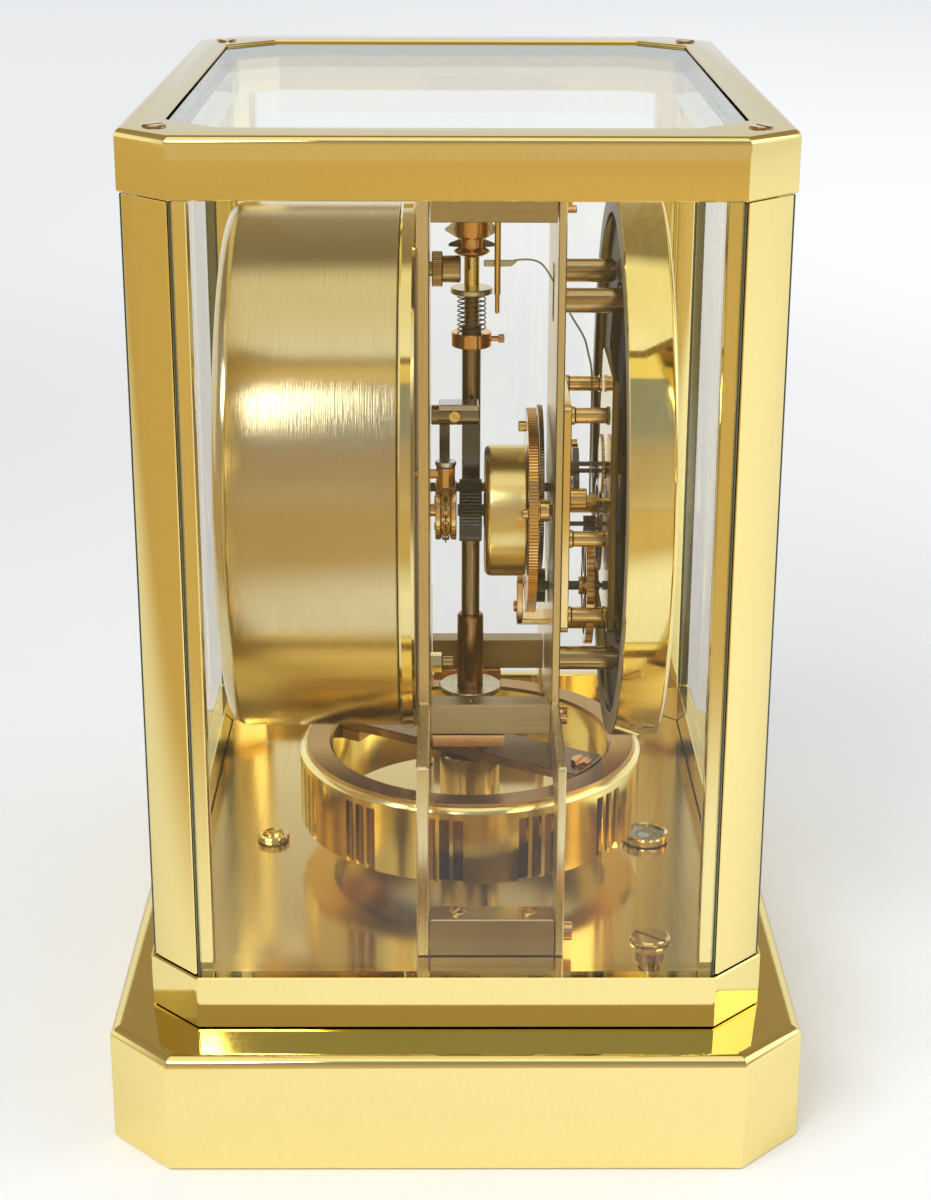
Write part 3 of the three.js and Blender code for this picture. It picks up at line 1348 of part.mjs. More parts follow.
function moduleFrontPlate() {
  const shape = moduleShape(DIAL_Z + MODULE_FRONT_TOP_RISE, [
    [centreWheelCentre, PIVOT_RADIUS],
    [escapeCentre, PIVOT_RADIUS],
    [fourthCentre, PIVOT_RADIUS],
    [anchorCentre, ANCHOR_PIVOT_RADIUS],
    [thirdCentre, PIVOT_RADIUS],
  ]);
  const plate = standing(shape, MODULE_FRONT_BACK, moduleFront);
  const stud = levelRod(PIVOT_RADIUS, moduleFront + OVERRUN, motionStudFront, SMALL_SIDES, motionCentre);
  return join(plate, stud);
}

add("module_rear_plate", moduleRearPlate(), copperBrass());
add("module_front_plate", moduleFrontPlate(), copperBrass());
add("second_wheel", secondWheel(), darkBronze());
add("third_wheel", thirdWheel(), copperBrass());
add("fourth_wheel", fourthWheel(), darkBronze());
add("escape_wheel", escapeWheel(), copperBrass());

// Motion work in front of the module and behind the dial's pocket
function motionWheel() {
  const bore = PIVOT_RADIUS + GAP;
  const wheel = toothedWheel(MOTION_TEETH, MOTION_MODULE, motionPhase, motionWheelBack,
    MOTION_WHEEL_WIDTH, motionCentre, bore);
  const pinion = toothedWheel(MOTION_LEAVES, MOTION_MODULE, motionPinionPhase,
    motionWheelBack - MOTION_WHEEL_WIDTH * HALF, MOTION_PINION_WIDTH + MOTION_WHEEL_WIDTH * HALF,
    motionCentre, bore);
  return join(wheel, pinion);
}

// A hand that tapers from its boss, drawn upwards and turned clockwise as seen from the front
function handShape(length, width, turn) {
  const half = width * HALF;
  const shape = new THREE.Shape([
    point(-half * HAND_TIP_SHARE, length),
    point(-half, HAND_BOSS_RADIUS),
    point(-half, 0),
    point(half, 0),
    point(half, HAND_BOSS_RADIUS),
    point(half * HAND_TIP_SHARE, length),
  ]);
  const angle = -THREE.MathUtils.degToRad(turn);
  const centre = point(0, 0);
  return new THREE.Shape(shape.getPoints().map((p) => p.rotateAround(centre, angle)));
}

function minuteHand() {
  const wheel = toothedWheel(CENTRE_TEETH, FOURTH_MODULE, centrePhase, FOURTH_WHEEL_BACK,
    FOURTH_WHEEL_WIDTH, centreWheelCentre);
  const cannon = toothedWheel(CANNON_LEAVES, MOTION_MODULE, cannonPhase, motionWheelBack,
    MOTION_WHEEL_WIDTH, centreWheelCentre);
  const arborFront = minuteHandFront - HAND_THICKNESS;
  const arbor = levelRod(PIVOT_RADIUS, moduleBack, arborFront, SMALL_SIDES, centreWheelCentre);
  const hand = standing(handShape(MINUTE_HAND_LENGTH, MINUTE_HAND_WIDTH, MINUTE_HAND_TURN),
    minuteHandFront + HAND_THICKNESS, minuteHandFront, centreWheelCentre);
  const boss = levelRod(HAND_BOSS_RADIUS, minuteHandFront + HAND_THICKNESS, minuteHandFront,
    ROUND_SIDES, centreWheelCentre);
  return join(wheel, cannon, arbor, hand, boss);
}

function hourHand() {
  const wheel = toothedWheel(HOUR_TEETH, MOTION_MODULE, hourPhase, hourWheelBack,
    HOUR_WHEEL_WIDTH, centreWheelCentre, HOUR_PIPE_BORE);
  const pipe = turnedLevel([
    [HOUR_PIPE_BORE, hourWheelBack - HOUR_WHEEL_WIDTH * HALF],
    [HOUR_PIPE_RADIUS, hourWheelBack - HOUR_WHEEL_WIDTH * HALF],
    [HOUR_PIPE_RADIUS, hourHandFront],
    [HOUR_PIPE_BORE, hourHandFront],
  ], ROUND_SIDES, centreWheelCentre);
  const hand = standing(handShape(HOUR_HAND_LENGTH, HOUR_HAND_WIDTH, HOUR_HAND_TURN),
    hourHandFront + HAND_THICKNESS, hourHandFront, centreWheelCentre);
  const boss = levelRod(HAND_BOSS_RADIUS, hourHandFront + HAND_THICKNESS, hourHandFront,
    ROUND_SIDES, centreWheelCentre);
  const bore = levelRod(HOUR_PIPE_BORE, hourWheelBack + OVERRUN, hourHandFront - OVERRUN,
    ROUND_SIDES, centreWheelCentre);
  return cut(join(wheel, pipe, hand, boss), bore);
}

add("motion_wheel", motionWheel(), copperBrass());
add("minute_hand", minuteHand(), polishedGold());
add("hour_hand", hourHand(), polishedGold());

// Dial and bezel
function dialPlate() {
  const front = DIAL_BACK - DIAL_THICKNESS;
  const pocketFront = DIAL_BACK - POCKET_DEPTH - POCKET_THICKNESS;
  const hole = HOUR_PIPE_RADIUS + GAP;
  return turnedLevel([
    [POCKET_RADIUS, DIAL_BACK],
    [DIAL_RADIUS, DIAL_BACK],
    [DIAL_RADIUS, front],
    [POCKET_RADIUS + POCKET_THICKNESS, front],
    [POCKET_RADIUS + POCKET_THICKNESS, pocketFront],
    [hole, pocketFront],
    [hole, pocketFront + POCKET_THICKNESS],
    [POCKET_RADIUS, pocketFront + POCKET_THICKNESS],
  ], LARGE_SIDES, dialCentre);
}

function bezel() {
  const inner = BEZEL_RADIUS - BEZEL_WALL;
  const front = BEZEL_BACK - BEZEL_DEPTH;
  return turnedLevel([
    [inner - BEZEL_LIP, BEZEL_BACK],
    [BEZEL_RADIUS, BEZEL_BACK],
    [BEZEL_RADIUS, front],
    [inner - BEZEL_LIP * HALF, front],
    [inner, front + BEZEL_LIP_THICKNESS],
    [inner, BEZEL_BACK - BEZEL_LIP_THICKNESS],
    [inner - BEZEL_LIP, BEZEL_BACK - BEZEL_LIP_THICKNESS],
  ], LARGE_SIDES, dialCentre);
}

add("dial_plate", dialPlate(), whiteDial());
add("bezel", bezel(), polishedGold());

// Anchor and its long fork wire
// The wire climbs beside the module, bends back through the front plate and ends in a flat bar
function forkRoute() {
  const corners = [
    [FORK_WIRE_Y, anchorCentre.z],
    ...FORK_WIRE_BENDS,
    [FORK_BAR_FAR + OVERRUN, FORK_BAR_Z],
  ];
  return corners.map(([y, z]) => new THREE.Vector3(ANCHOR_X, y, z));
}

function anchorArms() {
  const lean = leanBetween(anchorCentre, escapeCentre);
  const distance = Math.hypot(escapeCentre.x - anchorCentre.x, escapeCentre.z - anchorCentre.z);
  const half = ANCHOR_ARM_WIDTH * HALF;
  const edge = Math.asin((ESCAPE_RADIUS + ANCHOR_PALLET_GAP + half) / distance);
  return [-1, 1].map((side) => {
    const shape = new THREE.Shape([
      point(0, -half),
      point(ANCHOR_ARM_LENGTH, -half),
      point(ANCHOR_ARM_LENGTH, half),
      point(0, half),
    ]);
    const arm = standing(shape, ESCAPE_WHEEL_BACK, ESCAPE_WHEEL_BACK - ESCAPE_WHEEL_WIDTH);
    return arm.rotateY(-(lean + side * edge)).translate(anchorCentre.x, 0, anchorCentre.z);
  });
}

function anchor() {
  const hubFront = ANCHOR_HUB_BACK - ANCHOR_HUB_WIDTH;
  const neckFront = hubFront - ANCHOR_NECK_WIDTH;
  const collarFront = neckFront - ANCHOR_COLLAR_WIDTH;
  const hub = turnedLevel([
    [0, moduleBack],
    [PIVOT_RADIUS, moduleBack],
    [PIVOT_RADIUS, ANCHOR_HUB_BACK],
    [ANCHOR_HUB_RADIUS, ANCHOR_HUB_BACK],
    [ANCHOR_HUB_RADIUS, hubFront],
    [ANCHOR_NECK_RADIUS, hubFront],
    [ANCHOR_NECK_RADIUS, neckFront],
    [ANCHOR_COLLAR_RADIUS, neckFront],
    [ANCHOR_COLLAR_RADIUS, collarFront],
    [ANCHOR_PIVOT_RADIUS, collarFront],
    [ANCHOR_PIVOT_RADIUS, moduleFront],
    [0, moduleFront],
  ], ROUND_SIDES, anchorCentre);
  const wire = tubeAlong(forkRoute(), FORK_WIRE_RADIUS, WIRE_SIDES);
  const barHalfWidth = FORK_BAR_WIDTH * HALF;
  const barHalfHeight = FORK_BAR_HEIGHT * HALF;
  const bar = block(ANCHOR_X - barHalfWidth, ANCHOR_X + barHalfWidth, FORK_BAR_FAR, FORK_BAR_NEAR,
    FORK_BAR_Z - barHalfHeight, FORK_BAR_Z + barHalfHeight);
  return join(hub, ...anchorArms(), wire, bar);
}

add("anchor", anchor(), darkSteel());

// Suspension and pendulum
function suspensionBush() {
  const flangeTop = SUSPENSION_BOTTOM + SUSPENSION_FLANGE_HEIGHT;
  const discTop = flangeTop + SUSPENSION_DISC_HEIGHT;
  const coneBottom = SUSPENSION_BOTTOM + SUSPENSION_CONE_RISE;
  return turned([
    [WIRE_BORE, SUSPENSION_BOTTOM],
    [SUSPENSION_FLANGE_RADIUS, SUSPENSION_BOTTOM],
    [SUSPENSION_FLANGE_RADIUS, flangeTop],
    [SUSPENSION_DISC_RADIUS, flangeTop],
    [SUSPENSION_DISC_RADIUS, discTop],
    [SUSPENSION_TUBE_RADIUS, discTop],
    [SUSPENSION_TUBE_RADIUS, coneBottom],
    [SUSPENSION_CONE_RADIUS, coneBottom + SUSPENSION_CONE_HEIGHT * HALF],
    [SUSPENSION_TUBE_RADIUS, coneBottom + SUSPENSION_CONE_HEIGHT],
    [SUSPENSION_TUBE_RADIUS, TOP_BLOCK_BOTTOM - GAP],
    [WIRE_BORE, TOP_BLOCK_BOTTOM - GAP],
  ], ROUND_SIDES, 0, PENDULUM_Y);
}

const torsionWire = () => rod(WIRE_RADIUS, WIRE_BOTTOM, WIRE_TOP, WIRE_SIDES, 0, PENDULUM_Y);

// The staff: a tube with the spring's seat, the clamp collar, the foot sleeve and the foot disc
function pendulumStaff() {
  const seatBottom = SPRING_SEAT_TOP - SPRING_SEAT_HEIGHT;
  const collarBottom = COLLAR_TOP - COLLAR_HEIGHT;
  const discBottom = STAFF_DISC_TOP - STAFF_DISC_HEIGHT;
  const body = turned([
    [0, barTop + BAR_HUB_HEIGHT],
    [STAFF_ROD_RADIUS, barTop + BAR_HUB_HEIGHT],
    [STAFF_ROD_RADIUS, discBottom],
    [STAFF_DISC_RADIUS, discBottom],
    [STAFF_DISC_RADIUS, STAFF_DISC_TOP],
    [STAFF_SLEEVE_RADIUS, STAFF_DISC_TOP],
    [STAFF_SLEEVE_RADIUS, STAFF_SLEEVE_TOP],
    [STAFF_RADIUS, STAFF_SLEEVE_TOP],
    [STAFF_RADIUS, collarBottom],
    [COLLAR_RADIUS, collarBottom],
    [COLLAR_RADIUS, COLLAR_TOP],
    [STAFF_RADIUS, COLLAR_TOP],
    [STAFF_RADIUS, seatBottom],
    [SPRING_SEAT_RADIUS, seatBottom],
    [SPRING_SEAT_RADIUS, SPRING_SEAT_TOP],
    [SLEEVE_RADIUS, SPRING_SEAT_TOP],
    [SLEEVE_RADIUS, SLEEVE_TOP],
    [WIRE_BORE, SLEEVE_TOP],
    [WIRE_BORE, WIRE_BOTTOM - GAP],
    [0, WIRE_BOTTOM - GAP],
  ], ROUND_SIDES, 0, PENDULUM_Y);
  const screwCentre = place(0, COLLAR_TOP - COLLAR_HEIGHT * HALF);
  const shankRear = PENDULUM_Y - COLLAR_RADIUS + OVERRUN;
  const headFront = PENDULUM_Y - COLLAR_SCREW_REACH;
  const headRear = headFront + COLLAR_SCREW_HEAD_WIDTH;
  const shank = levelRod(COLLAR_SCREW_RADIUS, shankRear, headFront, SMALL_SIDES, screwCentre);
  const head = levelRod(COLLAR_SCREW_HEAD_RADIUS, headRear, headFront, SMALL_SIDES, screwCentre);
  return join(body, shank, head);
}

// The spring: a helix between the clamp collar and its seat, with straight ends
function coilRoute() {
  const tail = 2 * COIL_WIRE_RADIUS;
  const bottom = COLLAR_TOP + GAP;
  const top = SPRING_SEAT_TOP - SPRING_SEAT_HEIGHT - GAP;
  const at = (angle, z) => new THREE.Vector3(
    COIL_RADIUS * Math.cos(angle), PENDULUM_Y + COIL_RADIUS * Math.sin(angle), z);
  const count = COIL_CURLS * COIL_STEPS;
  const route = [at(0, bottom)];
  for (let i = 0; i <= count; i++) {
    const z = bottom + tail + ((top - bottom - 2 * tail) * i) / count;
    route.push(at((i / COIL_STEPS) * 2 * Math.PI, z));
  }
  route.push(at(COIL_CURLS * 2 * Math.PI, top));
  return route;
}

// The least gap between two stretches of the spring that are at least half a curl apart
function leastCoilGap(route) {
  let least = Infinity;
  route.forEach((here, i) => {
    for (let j = i + COIL_STEPS * HALF; j < route.length; j++) {
      least = Math.min(least, here.distanceTo(route[j]) - 2 * COIL_WIRE_RADIUS);
    }
  });
  return least;
}

const coil = coilRoute();
console.log("staff spring: least gap to itself " + leastCoilGap(coil).toFixed(2) + " mm");

// The ring's outline, with groups of grooves cut into its outer face
function ringShape() {
  const outline = [];
  const toAngle = (length) => length / RING_RADIUS;
  for (let group = 0; group < GROOVE_GROUPS; group++) {
    const middle = THREE.MathUtils.degToRad(GROOVE_TURN) + (group * 2 * Math.PI) / GROOVE_GROUPS;
    for (let i = 0; i < GROOVES_IN_GROUP; i++) {
      const centre = middle + toAngle(GROOVE_PITCH * (i - (GROOVES_IN_GROUP - 1) * HALF));
      const half = toAngle(GROOVE_WIDTH * HALF);
      const floor = RING_RADIUS - GROOVE_DEPTH;
      for (const [radius, angle] of [
        [RING_RADIUS, centre - half], [floor, centre - half],
        [floor, centre + half], [RING_RADIUS, centre + half]]) {
        outline.push(point(radius * Math.cos(angle), radius * Math.sin(angle)));
      }
    }
    const gap = (2 * Math.PI) / GROOVE_GROUPS;
    for (const share of PLAIN_WALL_SHARES) {
      outline.push(point(
        RING_RADIUS * Math.cos(middle + gap * share), RING_RADIUS * Math.sin(middle + gap * share)));
    }
  }
  const shape = new THREE.Shape(outline);
  shape.holes.push(boreHole(RING_INNER, LARGE_SIDES));
  return shape;
}

function pendulumRing() {
  const wall = raised(ringShape(), RING_BOTTOM, ringWallTop);
  const bevelTop = ringWallTop + RING_BEVEL_HEIGHT;
  const crown = turned([
    [RING_INNER, ringWallTop - GAP],
    [RING_RADIUS - GROOVE_DEPTH, ringWallTop - GAP],
    [RING_RADIUS, ringWallTop],
    [RING_RADIUS - RING_BEVEL, bevelTop],
    [RING_RADIUS - RING_BEVEL - RING_STEP, bevelTop],
    [RING_RADIUS - RING_BEVEL - RING_STEP, ringTop],
    [RING_INNER + RING_CHAMFER, ringTop],
    [RING_INNER, ringTop - RING_CHAMFER],
  ], LARGE_SIDES);
  const lugTop = barBottom - GAP;
  const lugs = [-1, 1].map((side) => {
    const outer = side * (RING_INNER + OVERRUN);
    const inner = side * (RING_INNER - RING_LUG_DEPTH);
    return block(Math.min(outer, inner), Math.max(outer, inner),
      -RING_LUG_WIDTH * HALF, RING_LUG_WIDTH * HALF, lugTop - RING_LUG_HEIGHT, lugTop)
      .rotateZ(THREE.MathUtils.degToRad(BAR_TURN));
  });
  return join(wall, crown, ...lugs).translate(0, PENDULUM_Y, 0);
}

function pendulumBar() {
  const reach = RING_INNER - GAP;
  const corner = Math.sqrt(reach * reach - BAR_WIDTH * BAR_WIDTH * HALF * HALF);
  const bar = block(-corner, corner, -BAR_WIDTH * HALF, BAR_WIDTH * HALF, barBottom, barTop);
  const hub = turned([
    [0, barBottom],
    [BAR_HUB_RADIUS, barBottom],
    [BAR_HUB_RADIUS, barTop + BAR_HUB_HEIGHT - GAP],
    [0, barTop + BAR_HUB_HEIGHT - GAP],
  ], ROUND_SIDES);
  const screws = [-1, 1].map((side) => rod(BAR_SCREW_RADIUS, barTop - HALF * BAR_THICKNESS,
    barTop + BAR_SCREW_HEIGHT, SMALL_SIDES, side * (RING_INNER - BAR_SCREW_INSET), 0));
  return join(bar, hub, ...screws)
    .rotateZ(THREE.MathUtils.degToRad(BAR_TURN)).translate(0, PENDULUM_Y, 0);
}

add("suspension_bush", suspensionBush(), copperBrass());
add("torsion_wire", torsionWire(), darkSteel());
add("pendulum_staff", pendulumStaff(), darkBronze());
add("staff_spring", tubeAlong(coil, COIL_WIRE_RADIUS, COIL_SIDES), darkSteel());
add("pendulum_ring", pendulumRing(), polishedGold());
add("pendulum_bar", pendulumBar(), brushedBrass());

// Pendulum lock
function lockColumn() {
  const stemBottom = rimBottom - COLUMN_STEM_DROP;
  return turned([
    [0, stemBottom],
    [COLUMN_STEM_RADIUS, stemBottom],
    [COLUMN_STEM_RADIUS, footBottom],
    [COLUMN_RADIUS, footBottom],
    [COLUMN_RADIUS, COLUMN_TOP],
    [0, COLUMN_TOP],
  ], ROUND_SIDES, 0, PENDULUM_Y);
}

function lockLever() {
  const top = deckBottom - LOCK_HUB_DROP;
  const bottom = top - LOCK_HUB_HEIGHT;
  const hub = rod(LOCK_HUB_RADIUS, bottom, top, ROUND_SIDES, 0, PENDULUM_Y);
  const half = LOCK_ARM_WIDTH * HALF;
  const arm = block(-half, half, PENDULUM_Y - LOCK_ARM_LENGTH, PENDULUM_Y, bottom, top);
  const boreRadius = COLUMN_STEM_RADIUS + GAP;
  const bore = rod(boreRadius, bottom - OVERRUN, top + OVERRUN, ROUND_SIDES, 0, PENDULUM_Y);
  return cut(join(hub, arm), bore);
}

add("lock_column", lockColumn(), satinBrass());
add("lock_lever", lockLever(), satinBrass());

export default clock;
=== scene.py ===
"""Dressed torsion-pendulum clock in a glazed cut-corner case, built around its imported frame.

Sizes inside the functions are millimetres in the frame's own axes: +Z up, dial towards -Y,
bellows drum towards +Y. The camera stands at -X. piece() turns them into metres.
"""

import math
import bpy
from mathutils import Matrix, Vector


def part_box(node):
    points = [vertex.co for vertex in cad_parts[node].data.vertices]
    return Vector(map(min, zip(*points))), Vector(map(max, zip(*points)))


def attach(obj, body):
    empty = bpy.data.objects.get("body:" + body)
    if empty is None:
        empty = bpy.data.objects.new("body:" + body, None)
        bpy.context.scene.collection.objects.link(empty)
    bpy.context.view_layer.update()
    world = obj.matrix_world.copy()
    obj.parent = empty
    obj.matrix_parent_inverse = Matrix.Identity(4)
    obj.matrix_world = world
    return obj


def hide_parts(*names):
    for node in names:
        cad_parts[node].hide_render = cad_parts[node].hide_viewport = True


bl_info = {
    "name": "Atmospheric Clock",
    "version": (1, 0, 0),
    "blender": (4, 5, 0),
    "location": "View3D > Sidebar > Clock",
    "description": "Builds the dressed pieces of a torsion-pendulum clock around its packed frame",
    "category": "Add Mesh",
}

import bpy
import numpy as np
from bpy.props import FloatProperty, FloatVectorProperty, IntProperty, PointerProperty
from mathutils import Matrix, Vector
from mathutils.geometry import tessellate_polygon

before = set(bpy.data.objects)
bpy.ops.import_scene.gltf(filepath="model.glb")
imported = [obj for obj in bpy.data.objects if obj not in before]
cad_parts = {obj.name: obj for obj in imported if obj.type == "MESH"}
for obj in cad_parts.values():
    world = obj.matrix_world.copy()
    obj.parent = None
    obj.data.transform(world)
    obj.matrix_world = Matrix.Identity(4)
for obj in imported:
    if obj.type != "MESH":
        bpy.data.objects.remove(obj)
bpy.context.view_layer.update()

MM = 0.001
TAU = 2 * math.pi
AXES = {
    "X": ((0, 1, 0), (0, 0, 1), (1, 0, 0)),
    "Y": ((1, 0, 0), (0, 0, 1), (0, 1, 0)),
    "Z": ((1, 0, 0), (0, 1, 0), (0, 0, 1)),
}
CORNER_SHRINK = 2 - math.sqrt(2)      # what a cut corner loses for each millimetre of inset

# Centres of the arbors, as x and z
GREAT = (-11.5897, 127.5831)
SECOND = (16.9932, 124.9819)
THIRD = (8.0, 100.8)
FOURTH = (7.0018, 118.1112)
CENTRE = (0.0137, 136.3161)
ESCAPE = (12.5123, 130.8451)
MOTION = (-6.3503, 142.6800)
ANCHOR = (-2.4, 127.6)
DIAL = (0, 136.4)
BELLOWS = (0, 136)
CHAIN_HOLE = (-18.9, 139.2)
PENDULUM_Y = -3.8

# Gears as (teeth, module). The solids' great and second wheels have half as many teeth.
GREAT_GEAR, SECOND_PINION = (192, 0.26575), (24, 0.26575)
SECOND_GEAR, THIRD_PINION = (160, 0.26875), (32, 0.26875)
THIRD_GEAR, FOURTH_PINION = (60, 0.51), (8, 0.51)
FOURTH_GEAR, ESCAPE_PINION, CENTRE_GEAR = (64, 0.375), (10, 0.375), (40, 0.375)
CANNON, MOTION_GEAR = (10, 0.45), (30, 0.45)
MOTION_PINION, HOUR_GEAR = (8, 0.45), (32, 0.45)
TOOTH_TIP, TOOTH_ROOT = 0.35, 1.05    # modules outside and inside the pitch circle
LEAST_TOOTH = 0.34                    # module that the height of finer teeth is drawn with
ESCAPE_TIP = 8.2

# Plates, as levels along Y
BACK_PLATE = (6.5, 9.5)
FRONT_PLATE = (-24, -26)
MODULE_REAR = (-26.3, -28.3)
MODULE_FRONT = (-38.1, -40.0)

# Gears and pallets that stand at the same levels along Y, and the bore of the thin arbors
ESCAPE_LEVELS = (-30, -31.5)
FOURTH_LEVELS = (-36.6, -37.4)
CANNON_LEVELS = (-40.3, -41.3)
THIN_BORE = 0.55

# Cut corners of the case, as lengths along its sides
PLINTH_CUT = 14.4
CASE_CUT = 11.8
OPENING_CUT = 12.2
ROOF_GLASS_CUT = 12.0

# Places in the case, as x and y, and the level that the roof's glass lies on
CAP_SCREW_PLACE = (82.5, 62.8)
LEVELLING_PLACE = (71, -46.4)
BUSH_Y = 49
CAP_SEAT = 228.7

CHAIN_Y, CHAIN_TOP, CHAIN_REACH = 2.6, 135.7, 7.3
BAR_TURN = math.radians(59)           # of the bar in the pendulum's ring


def extent(node):
    """Lowest and highest corner of a node of the frame, in millimetres."""
    low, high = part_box(node)
    return np.array(low) / MM, np.array(high) / MM


def middle(node):
    """Upright line through the middle of a node, as a point at level 0, and its two corners."""
    low, high = extent(node)
    return ((low[0] + high[0]) / 2, (low[1] + high[1]) / 2, 0), low, high


def on_axis(place):
    """The point at level 0 of a line along Y, from its x and z."""
    return (place[0], 0, place[1])


def round_axis(centre, reach, angle):
    """A point at a distance and an angle round a line along Y."""
    return (centre[0] + reach * math.cos(angle), 0, centre[2] + reach * math.sin(angle))


# ---------------------------------------------------------------- outlines

def swung(outline, angle):
    """An outline turned counter-clockwise about its origin."""
    cos, sin = math.cos(angle), math.sin(angle)
    return outline @ np.array([[cos, sin], [-sin, cos]])


def circle(radius, segments):
    """Points at equal angles on a circle."""
    angle = np.arange(segments) * TAU / segments
    return radius * np.stack([np.cos(angle), np.sin(angle)], axis=-1)


def rectangle(low_u, high_u, low_v, high_v):
    """The four corners of a rectangle, counter-clockwise."""
    return np.array([[low_u, low_v], [high_u, low_v], [high_u, high_v], [low_u, high_v]], float)


def cut_corner(half_u, half_v, corner):
    """The eight corners of a rectangle whose corners are cut at 45 degrees."""
    u, v, c = half_u, half_v, corner
    return np.array([
        [u, -v + c], [u, v - c], [u - c, v], [-u + c, v],
        [-u, v - c], [-u, -v + c], [-u + c, -v], [u - c, -v]], float)


def wound_left(outline):
    """The outline in counter-clockwise order, by the sign of its area."""
    after = np.roll(outline, -1, 0)
    area = np.sum(outline[:, 0] * after[:, 1] - outline[:, 1] * after[:, 0])
    return outline if area > 0 else outline[::-1]


def rounded(corners, radius, steps=4):
    """Each corner becomes an arc that touches both sides, radius / tan(half the corner) from it."""
    corners = np.asarray(corners, float)
    radius = np.broadcast_to(np.asarray(radius, float), len(corners))
    if not np.array_equal(wound_left(corners), corners):
        corners, radius = corners[::-1], radius[::-1]
    before = np.roll(corners, 1, 0) - corners
    after = np.roll(corners, -1, 0) - corners
    before /= np.linalg.norm(before, axis=1, keepdims=True)
    after /= np.linalg.norm(after, axis=1, keepdims=True)
    half = 0.5 * np.arccos(np.clip(np.sum(before * after, axis=1), -1, 1))
    inward = before + after
    inward /= np.linalg.norm(inward, axis=1, keepdims=True)
    centre = corners + inward * (radius / np.sin(half))[:, None]
    arm = corners + before * (radius / np.tan(half))[:, None] - centre
    turn = np.sign(after[:, 0] * before[:, 1] - after[:, 1] * before[:, 0])
    angle = (turn * (math.pi - 2 * half))[:, None] * np.linspace(0, 1, steps + 1)
    cos, sin = np.cos(angle), np.sin(angle)
    points = np.stack([
        centre[:, :1] + arm[:, :1] * cos - arm[:, 1:] * sin,
        centre[:, 1:] + arm[:, :1] * sin + arm[:, 1:] * cos], axis=-1)
    return points.reshape(-1, 2)


def inset(outline, amount):
    """Every side of a counter-clockwise outline moved inwards by the amount, corners mitred."""
    side = np.roll(outline, -1, 0) - outline
    normal = np.stack([-side[:, 1], side[:, 0]], axis=-1)
    normal /= np.maximum(np.linalg.norm(normal, axis=1, keepdims=True), 1e-9)
    before = np.roll(normal, 1, 0)
    lean = 1 + np.sum(normal * before, axis=1, keepdims=True)
    return outline + amount * (normal + before) / np.maximum(lean, 0.2)


def gear_outline(teeth, tip, root, phase, root_share=0.3, tip_share=0.09):
    """Tooth i stands at phase + i pitches, with four points: root, tip, tip, root."""
    pitch = TAU / teeth
    offset = np.array([-root_share, -tip_share, tip_share, root_share]) * pitch
    angle = phase + np.arange(teeth)[:, None] * pitch + offset
    radius = np.array([root, tip, tip, root])
    return np.stack([radius * np.cos(angle), radius * np.sin(angle)], axis=-1).reshape(-1, 2)


def toothed(gear, phase):
    """Outline of a gear: tip and root stand off the pitch circle by shares of the module."""
    teeth, module = gear
    pitch_radius = teeth * module / 2
    height = max(module, LEAST_TOOTH)
    return gear_outline(
        teeth, pitch_radius + TOOTH_TIP * height, pitch_radius - TOOTH_ROOT * height, phase)


def windows(count, inner, outer, arm, phase, steps=8):
    """The openings between the arms of a wheel: an outer arc and an inner arc, joined."""
    share = np.linspace(0, 1, steps + 1)

    def arc(radius):
        """Angles from one arm's side to the next one's, at a radius."""
        edge = math.asin(arm / 2 / radius)
        return edge + (TAU / count - 2 * edge) * share

    angle = np.concatenate([arc(outer), arc(inner)[::-1]])
    radius = np.repeat([outer, inner], steps + 1)
    starts = phase + np.arange(count) * TAU / count
    return [np.stack([radius * np.cos(a + angle), radius * np.sin(a + angle)], axis=-1)
            for a in starts]


def meshed_phase(gear_a, centre_a, gear_b, centre_b):
    """The turn of gear B that sets its teeth between those of gear A, which isn't turned."""
    lean = math.atan2(centre_b[1] - centre_a[1], centre_b[0] - centre_a[0])
    share = 0.5 - lean * gear_a[0] / TAU
    return lean + math.pi - share * TAU / gear_b[0]


# ---------------------------------------------------------------- shells

def grid_faces(rows, columns, wrap_rows=False):
    """Quads between neighbouring points of a grid whose columns run all the way round."""
    row = np.arange(rows if wrap_rows else rows - 1)
    row, column = np.meshgrid(row, np.arange(columns), indexing="ij")
    next_row, next_column = (row + 1) % rows, (column + 1) % columns
    corners = [row * columns + column, row * columns + next_column,
               next_row * columns + next_column, next_row * columns + column]
    return np.stack(corners, axis=-1).reshape(-1, 4)


def outward(points, faces):
    """The shell with its faces turned round if its signed volume is negative."""
    volume = 0.0
    for group in faces:
        apex = points[group[:, :1]]
        volume += np.sum(apex * np.cross(points[group[:, 1:-1]], points[group[:, 2:]]))
    if volume < 0:
        faces = [group[:, ::-1] for group in faces]
    return points, faces


def placed(outline, level, origin, axis):
    """Outline points in space: origin + u * first axis + v * second axis + level * third."""
    first, second, third = (np.array(a, float) for a in AXES[axis])
    flat = np.asarray(origin, float) + outline[..., :1] * first + outline[..., 1:2] * second
    return flat + level * third


def stack(rings, closed=False):
    """Shell through rings of equally many points, its ends flat or joined to each other."""
    rings = np.asarray(rings, float)
    count, sides = rings.shape[:2]
    faces = [grid_faces(count, sides, closed)]
    if not closed:
        end = np.arange(sides)
        faces += [end[None, ::-1], end[None, :] + (count - 1) * sides]
    return outward(rings.reshape(-1, 3), faces)


def turned(profile, origin, axis, segments=64, closed=False):
    """Turned body: a circle of each radius at its level along the axis, from end to end."""
    unit = circle(1.0, segments)
    return stack([placed(radius * unit, level, origin, axis) for radius, level in profile], closed)


def slab(outline, levels, origin=(0, 0, 0), axis="Z"):
    """Prism through copies of an outline, each inset by its amount at its level."""
    outline = wound_left(np.asarray(outline, float))
    return stack([placed(inset(outline, amount), level, origin, axis) for amount, level in levels])


